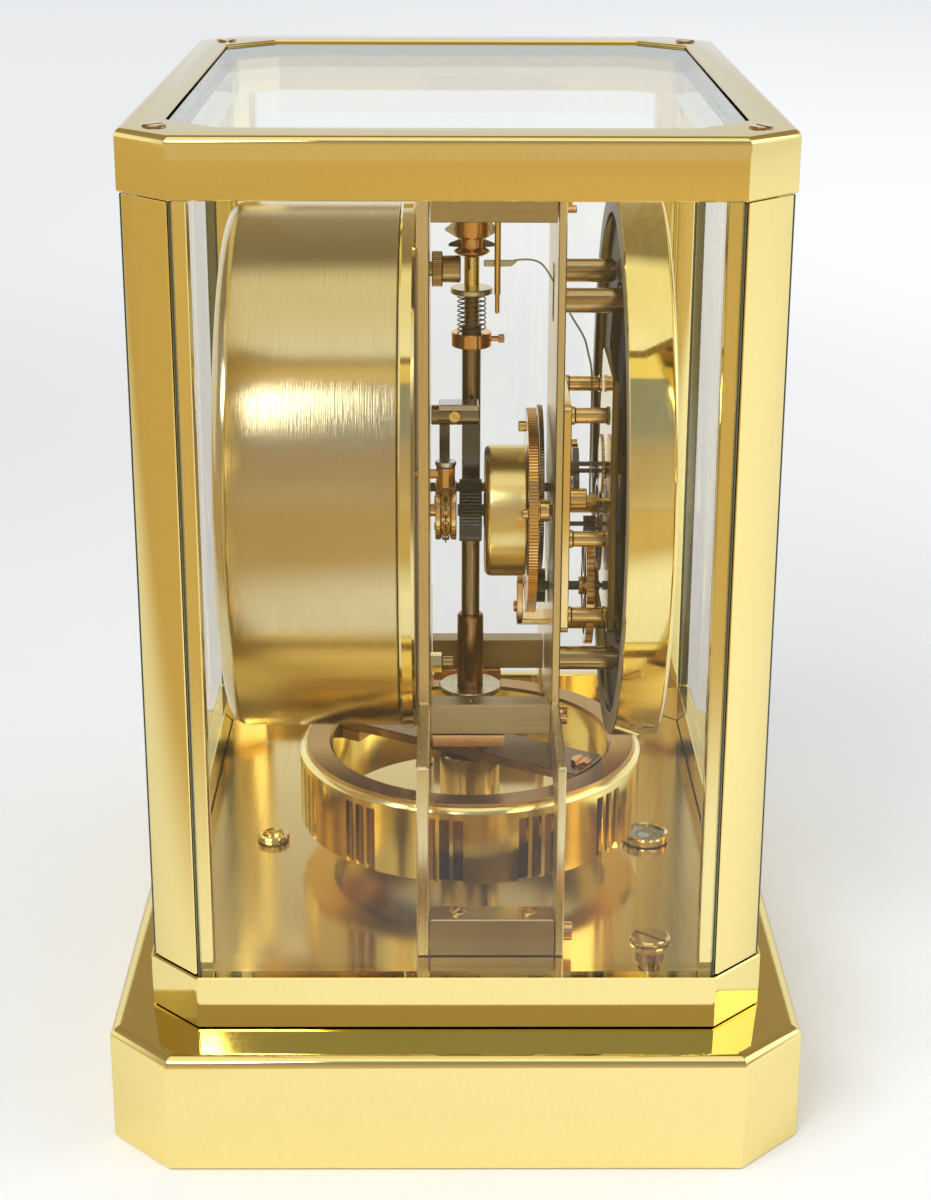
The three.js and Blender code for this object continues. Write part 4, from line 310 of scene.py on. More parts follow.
def edged(start, end, edge):
    """Levels of a prism between two ends whose edges are broken by a small flat."""
    step = math.copysign(edge, end - start)
    return [(edge, start), (0, start + step), (0, end - step), (edge, end)]


def block(low, high, edge=0.25):
    """Rectangular bar between two corners with small flats along its edges."""
    outline = rectangle(low[0], high[0], low[1], high[1])
    return slab(outline, edged(low[2], high[2], edge))


def rod(radius, start, end, origin, axis, segments=32, edge=0.15):
    """Round rod or disc with small flats at both ends."""
    profile = [(radius - amount, level) for amount, level in edged(start, end, edge)]
    return turned(profile, origin, axis, segments)


def tube_ring(outer, inner, start, end, origin, axis, segments=48, edge=0.15):
    """Collar with a bore: the four corners of its section, each with a small flat."""
    e = math.copysign(edge, end - start)
    profile = [
        (inner + edge, start), (outer - edge, start), (outer, start + e), (outer, end - e),
        (outer - edge, end), (inner + edge, end), (inner, end - e), (inner, start + e)]
    return turned(profile, origin, axis, segments, closed=True)


def filled(loops):
    """Triangles over an outline with holes, counter-clockwise, by index into the joined loops."""
    cells = np.array(tessellate_polygon([[Vector((*p, 0)) for p in loop] for loop in loops]))
    corner = np.concatenate(loops)[cells]
    side_a, side_b = corner[:, 1] - corner[:, 0], corner[:, 2] - corner[:, 0]
    clockwise = side_a[:, 0] * side_b[:, 1] - side_a[:, 1] * side_b[:, 0] < 0
    cells[clockwise] = cells[clockwise][:, ::-1]
    return cells


def pierced(loops, origin=(0, 0, 0), axis="Z"):
    """Body with holes: each loop is a wall through its (outline, level) pairs, ends filled."""
    points, faces, near, far, offset = [], [], [], [], 0
    for loop in loops:
        sides = len(loop[0][0])
        rings = [placed(outline, level, origin, axis) for outline, level in loop]
        points.append(np.concatenate(rings))
        faces.append(grid_faces(len(rings), sides) + offset)
        near.append(offset + np.arange(sides))
        far.append(offset + (len(rings) - 1) * sides + np.arange(sides))
        offset += len(points[-1])
    first = filled([loop[0][0] for loop in loops])
    last = filled([loop[-1][0] for loop in loops])
    faces += [np.concatenate(near)[first][:, ::-1], np.concatenate(far)[last]]
    return outward(np.concatenate(points), faces)


def bore(radius, centre, levels, sides=24):
    """Wall of a round hole for pierced(): a clockwise circle at each of the levels."""
    return [(circle(radius - amount, sides)[::-1] + centre, level) for amount, level in levels]


def plate(outline, holes, start, end, edge, origin=(0, 0, 0), axis="Y"):
    """Flat plate with holes, all its edges broken by small flats."""
    loops = [wound_left(np.asarray(outline, float))]
    loops += [wound_left(np.asarray(hole, float))[::-1] for hole in holes]
    levels = edged(start, end, edge)
    walls = [[(inset(loop, amount), level) for amount, level in levels] for loop in loops]
    return pierced(walls, origin, axis)


def tube(route, radius, normal, sides=10, closed=False):
    """Round tube along a route: a circle across the route's direction at each of its points."""
    route = np.asarray(route, float)
    if closed:
        forward = np.roll(route, -1, 0) - np.roll(route, 1, 0)
    else:
        forward = np.gradient(route, axis=0)
    forward /= np.linalg.norm(forward, axis=1, keepdims=True)
    across = np.cross(forward, np.asarray(normal, float))
    across /= np.linalg.norm(across, axis=1, keepdims=True)
    upward = np.cross(across, forward)
    angle = np.arange(sides) * TAU / sides
    radius = np.broadcast_to(radius, len(route))[:, None, None]
    ring = across[:, None] * np.cos(angle)[:, None] + upward[:, None] * np.sin(angle)[:, None]
    return stack(route[:, None] + radius * ring, closed)


def smooth_route(points, steps=8):
    """Curve through every point: cubic pieces whose slope at a point follows its neighbours."""
    p = np.asarray(points, float)
    p = np.concatenate([[2 * p[0] - p[1]], p, [2 * p[-1] - p[-2]]])
    t = np.linspace(0, 1, steps, endpoint=False)[None, :, None]
    a, b, c, d = (p[i:len(p) - 3 + i, None] for i in range(4))
    curve = 0.5 * (2 * b + (c - a) * t + (2 * a - 5 * b + 4 * c - d) * t ** 2
                   + (3 * b - a - 3 * c + d) * t ** 3)
    return np.concatenate([curve.reshape(-1, 3), p[-2:-1]])


def arc_profile(centre_radius, centre_level, size, start_degrees, end_degrees, steps=8):
    """Pairs of radius and level on an arc: a rounded edge of a turned profile."""
    angle = np.radians(np.linspace(start_degrees, end_degrees, steps + 1))
    radius = centre_radius + size * np.cos(angle)
    level = centre_level + size * np.sin(angle)
    return list(zip(radius, level))


def slotted_head(origin, axis, radius, start, end, lean=0.0, slot_share=0.2):
    """Screw head: a disc to half its height, and two moons above it with the slot between."""
    middle = start + 0.5 * (end - start)
    disc = rod(radius, start, middle, origin, axis, 28, 0.02)
    edge = math.asin(slot_share)
    angle = np.linspace(edge, math.pi - edge, 13)
    moons = []
    for side in (0, math.pi):
        around = angle + side + lean
        outline = radius * np.stack([np.cos(around), np.sin(around)], axis=-1)
        amount = 0.08 * radius
        step = math.copysign(amount, end - start)
        moons.append(slab(outline, [(0, middle), (0, end - step), (amount, end)], origin, axis))
    return [disc, *moons]


def wheel(gear, phase, start, end, centre, bore, arms=0, rim=1.6, hub=3.0):
    """Toothed wheel with a bore and, where it has arms, the openings between them."""
    holes = [circle(bore, 24)]
    if arms:
        teeth, module = gear
        outer = teeth * module / 2 - TOOTH_ROOT * module - rim
        holes += windows(arms, hub, outer, max(1.1, outer * 0.12), 0.3)
    return plate(toothed(gear, phase), holes, start, end, 0.06, on_axis(centre), "Y")


def rolled_edge(edge, top, steps):
    """Pairs of inset and level round an upper edge: a quarter circle that ends at the top."""
    angle = np.linspace(0, math.pi / 2, steps)
    return [(edge * (1 - math.cos(a)), top - edge + edge * math.sin(a)) for a in angle]


# ---------------------------------------------------------------- pieces

def piece(name, parts, body, replaces=(), sharp=32):
    """One object at the origin from (finish, shells) pairs, riding on a body of the frame."""
    points, corners, sizes, slots, offset = [], [], [], [], 0
    finishes = []
    for finish, shells in parts:
        if finish not in finishes:
            finishes.append(finish)
        for shell_points, faces in shells:
            points.append(shell_points)
            for group in faces:
                corners.append((group + offset).ravel())
                sizes.append(np.full(len(group), group.shape[1]))
                slots.append(np.full(len(group), finishes.index(finish)))
            offset += len(shell_points)
    points = np.concatenate(points) * MM
    corners, sizes, slots = np.concatenate(corners), np.concatenate(sizes), np.concatenate(slots)
    mesh = bpy.data.meshes.new(name)
    mesh.vertices.add(len(points))
    mesh.vertices.foreach_set("co", points.astype(np.float32).ravel())
    mesh.loops.add(len(corners))
    mesh.loops.foreach_set("vertex_index", corners.astype(np.int32))
    mesh.polygons.add(len(sizes))
    mesh.polygons.foreach_set("loop_start", (np.cumsum(sizes) - sizes).astype(np.int32))
    mesh.polygons.foreach_set("material_index", slots.astype(np.int32))
    mesh.polygons.foreach_set("use_smooth", np.ones(len(sizes), bool))
    mesh.update(calc_edges=True)
    mesh.validate()
    mesh.set_sharp_from_angle(angle=math.radians(sharp))
    for finish in finishes:
        mesh.materials.append(finish_material(finish))
    made = bpy.data.objects.new(name, mesh)
    bpy.context.scene.collection.objects.link(made)
    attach(made, body)
    if replaces:
        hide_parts(*replaces)


def dress(node, finish):
    """A node of the frame keeps its shape and takes a finish."""
    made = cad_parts[node]
    made.data.materials.clear()
    made.data.materials.append(finish_material(finish))


# ---------------------------------------------------------------- finishes

RELIEF_HEIGHT = 0.0001        # metres
STREAK_SHARE = 0.6            # of the streaks in a metal's drift of colour; patches have the rest
SHADE_SPAN = (0.38, 0.66)     # noise over which a colour goes to its shade
STREAK_SPAN = (0.3, 0.7)      # noise over which the roughness changes
LEAST_ROUGHNESS = 0.02
PEEL_SCALE = (600.0, 600.0, 600.0)
DRIFT_SCALE = 45.0
DUST_SCALE = 60.0
DUST_ROUGHNESS = 0.03
GLASS_MIRROR = (0.97, 1.0, 0.99)
FACING_SHARE = 0.03           # of the light that glass mirrors when it is seen square on


def add_node(tree, kind, inputs=None, **settings):
    """A node with its settings made, its sockets set to values or linked to other sockets."""
    made = tree.nodes.new(kind)
    for key, value in settings.items():
        setattr(made, key, value)
    for key, value in (inputs or {}).items():
        if isinstance(value, bpy.types.NodeSocket):
            tree.links.new(value, made.inputs[key])
        else:
            made.inputs[key].default_value = value
    return made


def math_node(tree, operation, *values):
    """Result of one arithmetic step on sockets or numbers."""
    return add_node(tree, "ShaderNodeMath", dict(enumerate(values)), operation=operation).outputs[0]


def vector_node(tree, operation, first, second=None, scale=None):
    """The node of one step on vectors: with a second vector, or with a number that scales."""
    inputs = {0: first}
    if second is not None:
        inputs[1] = second
    if scale is not None:
        inputs["Scale"] = scale
    return add_node(tree, "ShaderNodeVectorMath", inputs, operation=operation)


def moved_span(tree, value, start, end, to_start=0.0, to_end=1.0, curve="LINEAR"):
    """A number carried from one span to another and held inside the second."""
    inputs = {"Value": value, "From Min": start, "From Max": end, "To Min": to_start,
              "To Max": to_end}
    return add_node(tree, "ShaderNodeMapRange", inputs, interpolation_type=curve).outputs[0]


def colour_mix(tree, share, first, second):
    """Two colours mixed by a share; each is a socket, or red, green and blue."""
    first, second = (
        v if isinstance(v, bpy.types.NodeSocket) else (*v, 1) for v in (first, second))
    return add_node(tree, "ShaderNodeMix", {"Factor": share, "A": first, "B": second},
                    data_type="RGBA").outputs["Result"]


def own_place(tree):
    """Position in the axes of the piece, in metres."""
    return add_node(tree, "ShaderNodeTexCoord").outputs["Object"]


def scaled_place(tree, scale):
    """Position times a scale for each axis, as pattern coordinates."""
    return add_node(
        tree, "ShaderNodeMapping", {"Vector": own_place(tree), "Scale": scale}).outputs[0]


def noise(tree, place, scale, detail, roughness=0.5):
    """Soft noise between 0 and 1 at pattern coordinates."""
    return add_node(tree, "ShaderNodeTexNoise", {
        "Vector": place, "Scale": scale, "Detail": detail, "Roughness": roughness}).outputs["Fac"]


def bump(tree, height, strength):
    """Relief of a tenth of a millimetre, by a strength."""
    return add_node(tree, "ShaderNodeBump", {
        "Height": height, "Strength": strength, "Distance": RELIEF_HEIGHT}).outputs[0]


def surface(tree, shader):
    """The material shows this shader's node."""
    add_node(tree, "ShaderNodeOutputMaterial", {"Surface": shader.outputs[0]})


def empty_tree(owner):
    """The node tree of a new material or world, without the nodes that it starts with."""
    owner.use_nodes = True
    owner.node_tree.nodes.clear()
    return owner.node_tree


def brushed(axis, fine=2600.0, coarse=40.0):
    """Grain of metal brushed along one axis: coarse along it, fine across."""
    scale = [fine, fine, fine]
    scale["XYZ".index(axis)] = coarse
    return lambda tree: scaled_place(tree, scale)


def even_grain(fine=900.0):
    """Grain of polished metal, the same in every direction."""
    return lambda tree: scaled_place(tree, (fine, fine, fine))


def turned_grain(axis, centre, fine=2600.0, coarse=3.0):
    """Grain of turned metal: fine with level plus radius, coarse with the direction round the axis.

    The pattern's coordinates are coarse * unit vector from the axis
    + fine * (level + radius) * the axis.
    """
    index = "XYZ".index(axis)
    upward = [0.0, 0.0, 0.0]
    upward[index] = 1.0
    flat = [1.0, 1.0, 1.0]
    flat[index] = 0.0
    shift = [-value * MM for value in centre]

    def pattern(tree):
        """The nodes of that formula in a material's tree."""
        moved = add_node(
            tree, "ShaderNodeMapping", {"Vector": own_place(tree), "Location": shift}).outputs[0]
        across = vector_node(tree, "MULTIPLY", moved, flat).outputs[0]
        radius = vector_node(tree, "LENGTH", across).outputs["Value"]
        unit = vector_node(tree, "NORMALIZE", across).outputs[0]
        spread = vector_node(tree, "SCALE", unit, scale=coarse).outputs[0]
        level = add_node(tree, "ShaderNodeSeparateXYZ", {0: moved}).outputs[index]
        run = math_node(tree, "MULTIPLY", math_node(tree, "ADD", level, radius), fine)
        lifted = vector_node(tree, "SCALE", upward, scale=run).outputs[0]
        return vector_node(tree, "ADD", spread, lifted).outputs[0]

    return pattern


def metal(name, colour, shade, roughness, grain, relief, spread=0.06, patch=30.0,
          raked=(1.0, 1.0, 1.0)):
    """Metal: colour drifts to its shade in wide patches, the grain moves roughness and relief.

    Patch is how many patches stand in a metre. Raked is the tint of what the metal mirrors at
    a shallow angle.
    """
    tree = empty_tree(bpy.data.materials.new(name))
    streaks = noise(tree, grain(tree), 1.0, 3.0, 0.6)
    patches = noise(tree, own_place(tree), patch, 2.0)
    both = math_node(tree, "ADD", math_node(tree, "MULTIPLY", streaks, STREAK_SHARE),
                     math_node(tree, "MULTIPLY", patches, 1 - STREAK_SHARE))
    drift = moved_span(tree, both, *SHADE_SPAN)
    rough = moved_span(tree, streaks, *STREAK_SPAN, max(roughness - spread, LEAST_ROUGHNESS),
                       roughness + spread)
    shader = add_node(tree, "ShaderNodeBsdfPrincipled", {
        "Base Color": colour_mix(tree, drift, colour, shade), "Metallic": 1.0,
        "Roughness": rough, "Normal": bump(tree, streaks, relief), "Specular Tint": (*raked, 1)})
    surface(tree, shader)


def paint(name, colour, shade, roughness, relief=0.02, coat=0.0, shine=0.5):
    """Paint or enamel with a faint orange-peel relief and a slight drift of tone."""
    tree = empty_tree(bpy.data.materials.new(name))
    peel = noise(tree, scaled_place(tree, PEEL_SCALE), 1.0, 2.0)
    drift = noise(tree, own_place(tree), DRIFT_SCALE, 2.0)
    shader = add_node(tree, "ShaderNodeBsdfPrincipled", {
        "Base Color": colour_mix(tree, drift, colour, shade), "Roughness": roughness,
        "Normal": bump(tree, peel, relief), "Coat Weight": coat, "Specular IOR Level": shine})
    surface(tree, shader)


def glass(name, tint, raked_share):
    """Clear sheet: what is behind it shows through a light tint, and it mirrors more when raked.

    Its mirror's share is a small one plus raked_share * (1 - cosine of the angle) ** 5.
    """
    tree = empty_tree(bpy.data.materials.new(name))
    dust = noise(tree, own_place(tree), DUST_SCALE, 3.0)
    rough = moved_span(tree, dust, 0.0, 1.0, 0.0, DUST_ROUGHNESS)
    clear = add_node(tree, "ShaderNodeBsdfTransparent", {"Color": (*tint, 1)}).outputs[0]
    mirror = add_node(tree, "ShaderNodeBsdfGlossy", {
        "Color": (*GLASS_MIRROR, 1), "Roughness": rough}).outputs[0]
    facing = add_node(tree, "ShaderNodeLayerWeight", {"Blend": 0.5}).outputs["Facing"]
    share = math_node(tree, "MULTIPLY_ADD", math_node(tree, "POWER", facing, 5.0),
                      raked_share, FACING_SHARE)
    surface(tree, add_node(tree, "ShaderNodeMixShader", {0: share, 1: clear, 2: mirror}))


POLISHED = even_grain()
UPRIGHT = brushed("Z")
DRUM_GRAIN = turned_grain("Y", on_axis(BELLOWS), 3600.0, 5.0)
DIAL_GRAIN = turned_grain("Y", on_axis(DIAL), 1800.0)
BARREL_GRAIN = turned_grain("Y", on_axis(GREAT))
PENDULUM_GRAIN = turned_grain("Z", (0, PENDULUM_Y, 0))

# Each metal: colour and shade (names of the user's colours, or red, green and blue), roughness,
# grain, relief, then spread of the roughness, patches in a metre and raked tint.
# Each paint: colour, shade, roughness, then relief, coat and shine.
# Each glass: tint and raked share.
FINISHES = {
    "plated gold": (
        metal, "gold", "gold_shade", 0.05, POLISHED, 0.006, 0.02, 9.0, (0.7, 0.7, 0.72)),
    "satin plate": (metal, "satin", "satin_shade", 0.28, UPRIGHT, 0.06),
    "polished edge": (metal, "gold", "gold_shade", 0.12, POLISHED, 0.015, 0.04),
    "brushed base": (
        metal, "base", "base_shade", 0.15, brushed("X", 3400.0, 14.0), 0.05, 0.04),
    "brushed block": (metal, "block", "block_shade", 0.34, brushed("Y", 2200.0, 30.0), 0.16),
    "brushed drum": (metal, "drum", "drum_shade", 0.17, DRUM_GRAIN, 0.24, 0.04),
    "turned gold": (metal, "gold", "gold_shade", 0.07, DIAL_GRAIN, 0.015, 0.03),
    "turned flange": (metal, "flange", "satin", 0.1, DRUM_GRAIN, 0.02, 0.03),
    "barrel brass": (metal, "barrel", "barrel_shade", 0.25, BARREL_GRAIN, 0.012, 0.015),
    "column brass": (metal, "column", "column_shade", 0.18, PENDULUM_GRAIN, 0.04, 0.05),
    "ring gold": (metal, "ring", "ring_shade", 0.15, PENDULUM_GRAIN, 0.008, 0.02),
    "ring top": (metal, "cover", "cover_shade", 0.24, PENDULUM_GRAIN, 0.06, 0.04),
    # Painted shade: dark amber strips at the bottom of the ring's grooves stand for the shade
    # inside them.
    "groove amber": (metal, (0.4, 0.22, 0.08), (0.26, 0.14, 0.05), 0.12, UPRIGHT, 0.03),
    "bar bronze": (metal, (0.36, 0.24, 0.11), (0.3, 0.19, 0.085), 0.22, POLISHED, 0.02),
    "module gold": (metal, (0.95, 0.73, 0.31), (0.91, 0.68, 0.27), 0.12, POLISHED, 0.01, 0.03),
    "copper brass": (metal, "copper", "copper_shade", 0.1, POLISHED, 0.01, 0.03),
    "golden bronze": (metal, (0.58, 0.43, 0.21), (0.52, 0.37, 0.17), 0.14, POLISHED, 0.01, 0.03),
    "foot bronze": (metal, (0.44, 0.25, 0.13), (0.38, 0.2, 0.1), 0.2, POLISHED, 0.01, 0.03),
    "wheel brass": (metal, "wheel", "wheel_shade", 0.13, POLISHED, 0.01, 0.03),
    "dark bronze": (metal, "bronze", "bronze_shade", 0.2, brushed("Z", 2600.0, 200.0), 0.02),
    "dark steel": (metal, "steel", "steel_shade", 0.24, even_grain(2400.0), 0.01),
    "bright steel": (metal, (0.62, 0.62, 0.6), (0.52, 0.52, 0.51), 0.16, POLISHED, 0.02),
    "pale brass": (metal, "pale", (0.76, 0.7, 0.52), 0.26, PENDULUM_GRAIN, 0.04),
    "level fluid": (
        metal, (0.74, 0.75, 0.72), (0.42, 0.42, 0.38), 0.22, POLISHED, 0.05, 0.1, 700.0),
    # Painted shade: the bezel's back face is dark brown for the shade behind the dial.
    "bezel back": (paint, (0.3, 0.24, 0.14), (0.26, 0.2, 0.11), 0.4, 0.03, 0.0, 0.4),
    "dial white": (paint, "dial", (0.8, 0.79, 0.74), 0.4, 0.02, 0.3),
    # Painted shade: the back of the dial's ring is dark brown for the shade behind the dial.
    "dial back": (paint, (0.2, 0.145, 0.085), (0.16, 0.11, 0.06), 0.55, 0.05, 0.0, 0.3),
    "dial dark": (paint, (0.018, 0.02, 0.026), (0.03, 0.032, 0.038), 0.7, 0.02, 0.0, 0.05),
    "black ink": (paint, (0.02, 0.02, 0.022), (0.035, 0.035, 0.037), 0.45),
    "dark rubber": (paint, (0.03, 0.03, 0.03), (0.05, 0.05, 0.05), 0.7, 0.2),
    # The dark green strips are the panes' cut edges and also painted shade of the gap where each
    # pane meets the frame.
    "glass edge": (paint, "glass_edge", (0.012, 0.03, 0.02), 0.12, 0.02, 0.4),
    "bubble": (paint, (0.85, 0.88, 0.87), (0.8, 0.84, 0.83), 0.1),
    "clear glass": (glass, "glass", 0.3),
    "roof glass": (glass, "glass", 0.9),
}


def finish_material(name):
    """The material of a finish, made from the user's colours when it is first asked for."""
    key = "clock " + name
    if key not in bpy.data.materials:
        colours = bpy.context.scene.clock_colours
        make, *values = FINISHES[name]
        make(key, *(getattr(colours, v) if isinstance(v, str) else v for v in values))
    return bpy.data.materials[key]


# ---------------------------------------------------------------- user's sizes and colours

def length(name, description, default):
    """A length property in metres from a default in millimetres."""
    return FloatProperty(
        name=name, description=description, default=default * MM, min=0.0, precision=5,
        subtype="DISTANCE", unit="LENGTH")


def colour(name, description, default):
    """A linear colour property."""
    return FloatVectorProperty(
        name=name, description=description, default=default, size=3, min=0.0, max=1.0,
        subtype="COLOR")


class ClockCaseSizes(bpy.types.PropertyGroup):
    """Sizes of the case that the frame doesn't fix."""

    plinth_edge: length("Plinth edge", "Radius of the plinth's upper edge", 2.8)
    cap_edge: length("Cap edge", "Radius of the cap's upper edge", 1.7)
    corner_round: length("Corner rounding", "Radius along the upright edges", 0.9)
    # Width of the dark strips: the cut edge of a pane, and painted shade of the gap at the frame.
    glass_edge: length("Glass edge", "Width of the dark cut edges of a pane", 0.5)


class ClockPendulumSizes(bpy.types.PropertyGroup):
    """Sizes of the pendulum that the frame doesn't fix."""

    groove_groups: IntProperty(
        name="Groove groups", description="Groups of upright grooves round the ring", default=12)
    groove_depth: length("Groove depth", "Depth of the ring's grooves", 1.2)
    spring_curls: IntProperty(
        name="Spring curls", description="Curls of the spring on the staff", default=8)
    spring_wire: length("Spring wire", "Radius of the spring's wire", 0.18)


class ClockColours(bpy.types.PropertyGroup):
    """Colours of the metals, the dial and the glass."""

    gold: colour("Gold", "Plated gold of the case and the bezel", (0.98, 0.82, 0.35))
    gold_shade: colour("Gold shade", "Darker patches of the gold", (0.96, 0.79, 0.31))
    satin: colour("Satin brass", "Plates of the movement", (0.88, 0.74, 0.43))
    satin_shade: colour("Satin shade", "Streaks in the satin brass", (0.82, 0.68, 0.37))
    flange: colour("Flange", "Turned flange of the drum", (0.91, 0.75, 0.31))
    base: colour("Base plate", "Brushed plate under the movement", (0.98, 0.8, 0.38))
    base_shade: colour("Base shade", "Streaks in the base plate", (0.96, 0.75, 0.33))
    block: colour("Blocks", "Brushed spacer blocks", (0.53, 0.42, 0.23))
    block_shade: colour("Block shade", "Streaks in the blocks", (0.47, 0.37, 0.19))
    drum: colour("Drum", "Brushed drum of the bellows", (0.72, 0.6, 0.34))
    drum_shade: colour("Drum shade", "Streaks in the drum", (0.67, 0.55, 0.3))
    barrel: colour("Barrel", "Turned barrel of the mainspring", (0.88, 0.71, 0.31))
    barrel_shade: colour("Barrel shade", "Streaks in the barrel", (0.85, 0.67, 0.28))
    column: colour("Column", "Lock column under the ring", (0.86, 0.66, 0.27))
    column_shade: colour("Column shade", "Streaks in the column", (0.76, 0.57, 0.22))
    ring: colour("Ring", "Wall of the pendulum's ring", (1.0, 0.84, 0.34))
    ring_shade: colour("Ring shade", "Streaks in the ring's wall", (0.99, 0.81, 0.31))
    cover: colour("Ring top", "Upper face of the ring", (0.62, 0.4, 0.14))
    cover_shade: colour("Ring top shade", "Streaks in the upper face", (0.54, 0.33, 0.11))
    copper: colour("Copper brass", "Bush, collars, screws and capsule", (0.86, 0.52, 0.23))
    copper_shade: colour("Copper shade", "Darker copper brass", (0.8, 0.46, 0.19))
    wheel: colour("Wheels", "Brass wheels, collets, pulley and posts", (0.88, 0.63, 0.27))
    wheel_shade: colour("Wheel shade", "Darker wheel brass", (0.82, 0.57, 0.22))
    bronze: colour("Bronze", "Staff tube, bracket post and dark wheels", (0.34, 0.26, 0.16))
    bronze_shade: colour("Bronze shade", "Darker bronze", (0.29, 0.22, 0.13))
    steel: colour("Dark steel", "Pinions, arbors, ratchet and springs", (0.13, 0.13, 0.13))
    steel_shade: colour("Steel shade", "Darker steel", (0.1, 0.1, 0.1))
    pale: colour("Pale brass", "Disc and spring seat on the staff", (0.86, 0.8, 0.58))
    dial: colour("Dial", "Painted dial", (0.86, 0.85, 0.81))
    glass: colour("Glass", "What the glass lets through", (0.993, 0.997, 0.995))
    # Colour of the panes' cut edges, which also stands as painted shade of the gap at the frame.
    glass_edge: colour("Glass edge", "Cut edges of the panes", (0.03, 0.06, 0.045))


class ClockStageSettings(bpy.types.PropertyGroup):
    """Floor, lamps and camera."""

    floor: colour("Floor", "Floor near the clock", (0.895, 0.905, 0.915))
    backdrop: colour("Backdrop", "Floor and room far behind the clock", (0.8, 0.82, 0.84))
    surround: colour("Surround", "Warm floor that only polished metal mirrors", (0.6, 0.44, 0.21))
    key_power: FloatProperty(
        name="Key power", description="Window-shaped lamp on the camera's left", default=9.0,
        unit="POWER")
    side_power: FloatProperty(
        name="Side power", description="Soft lamp on the dial's side", default=3.0, unit="POWER")
    sky: FloatProperty(name="Sky", description="Even light that falls on the clock", default=0.7)
    camera_place: FloatVectorProperty(
        name="Camera place", description="Where the camera stands",
        default=(-0.56626, 0.001509, 0.30083), subtype="XYZ", unit="LENGTH")


# ---------------------------------------------------------------- operators

# The camera, fitted to the photograph: its frame's height and its distance from the lens in
# pixels, and its turns from a level look along +X, in radians
FRAME_HEIGHT = 1200
FRAME_DISTANCE = 2314.4
YAW, PITCH, ROLL = 0.0071, 0.3416, 0.0033
SENSOR = 36.0                     # millimetres, of any size with the same view

# Lamps: place, width and height in metres, and the setting with their power
LAMPS = {
    "Key lamp": ((-0.87, 0.6, 1.0), 0.9, 0.4, "key_power"),
    "Side lamp": ((-0.15, -1.2, 0.85), 0.9, 0.9, "side_power"),
}
LAMPS_AIM = (0, 0, 0.12)

# Floor, in metres
FLOOR_HALF = 4.0
EVEN_FROM, EVEN_TO = 0.35, 1.1    # distance over which lamps and shadows fade from the floor
BACKDROP_FROM, BACKDROP_TO = 0.9, 3.2
WARM_SIDE = (-0.9, 0.75, 0)
WARM_FROM, WARM_TO = 0.17, 0.37
# Painted light: the floor's tone is scaled up towards -Y and down towards +Y, lighter on the dial's
# side.
SLOPE_REACH = 0.3                 # along Y to each side
SLOPE_REAR, SLOPE_FRONT = -0.05, 0.12

# Tones of the room by height: the direction's z, then red, green and blue
ROOM_TONES = (
    (0.0, 0.62, 0.5, 0.34), (0.12, 0.53, 0.42, 0.29), (0.33, 0.48, 0.36, 0.26),
    (0.42, 0.38, 0.34, 0.32), (0.5, 0.28, 0.3, 0.34), (0.8, 0.28, 0.3, 0.34),
    (0.85, 1.08, 1.08, 1.05), (1.0, 0.96, 0.9, 0.68))
BACKDROP_TONES = (
    (0.0, 0.98, 0.99, 1.0), (0.38, 0.9, 0.9, 0.89), (0.46, 0.36, 0.28, 0.17),
    (0.93, 0.25, 0.2, 0.13), (0.97, 0.98, 0.92, 0.7), (1.0, 0.96, 0.9, 0.68))
ROOM_BLEND = 0.1                  # of the direction's x, between the two runs of tones


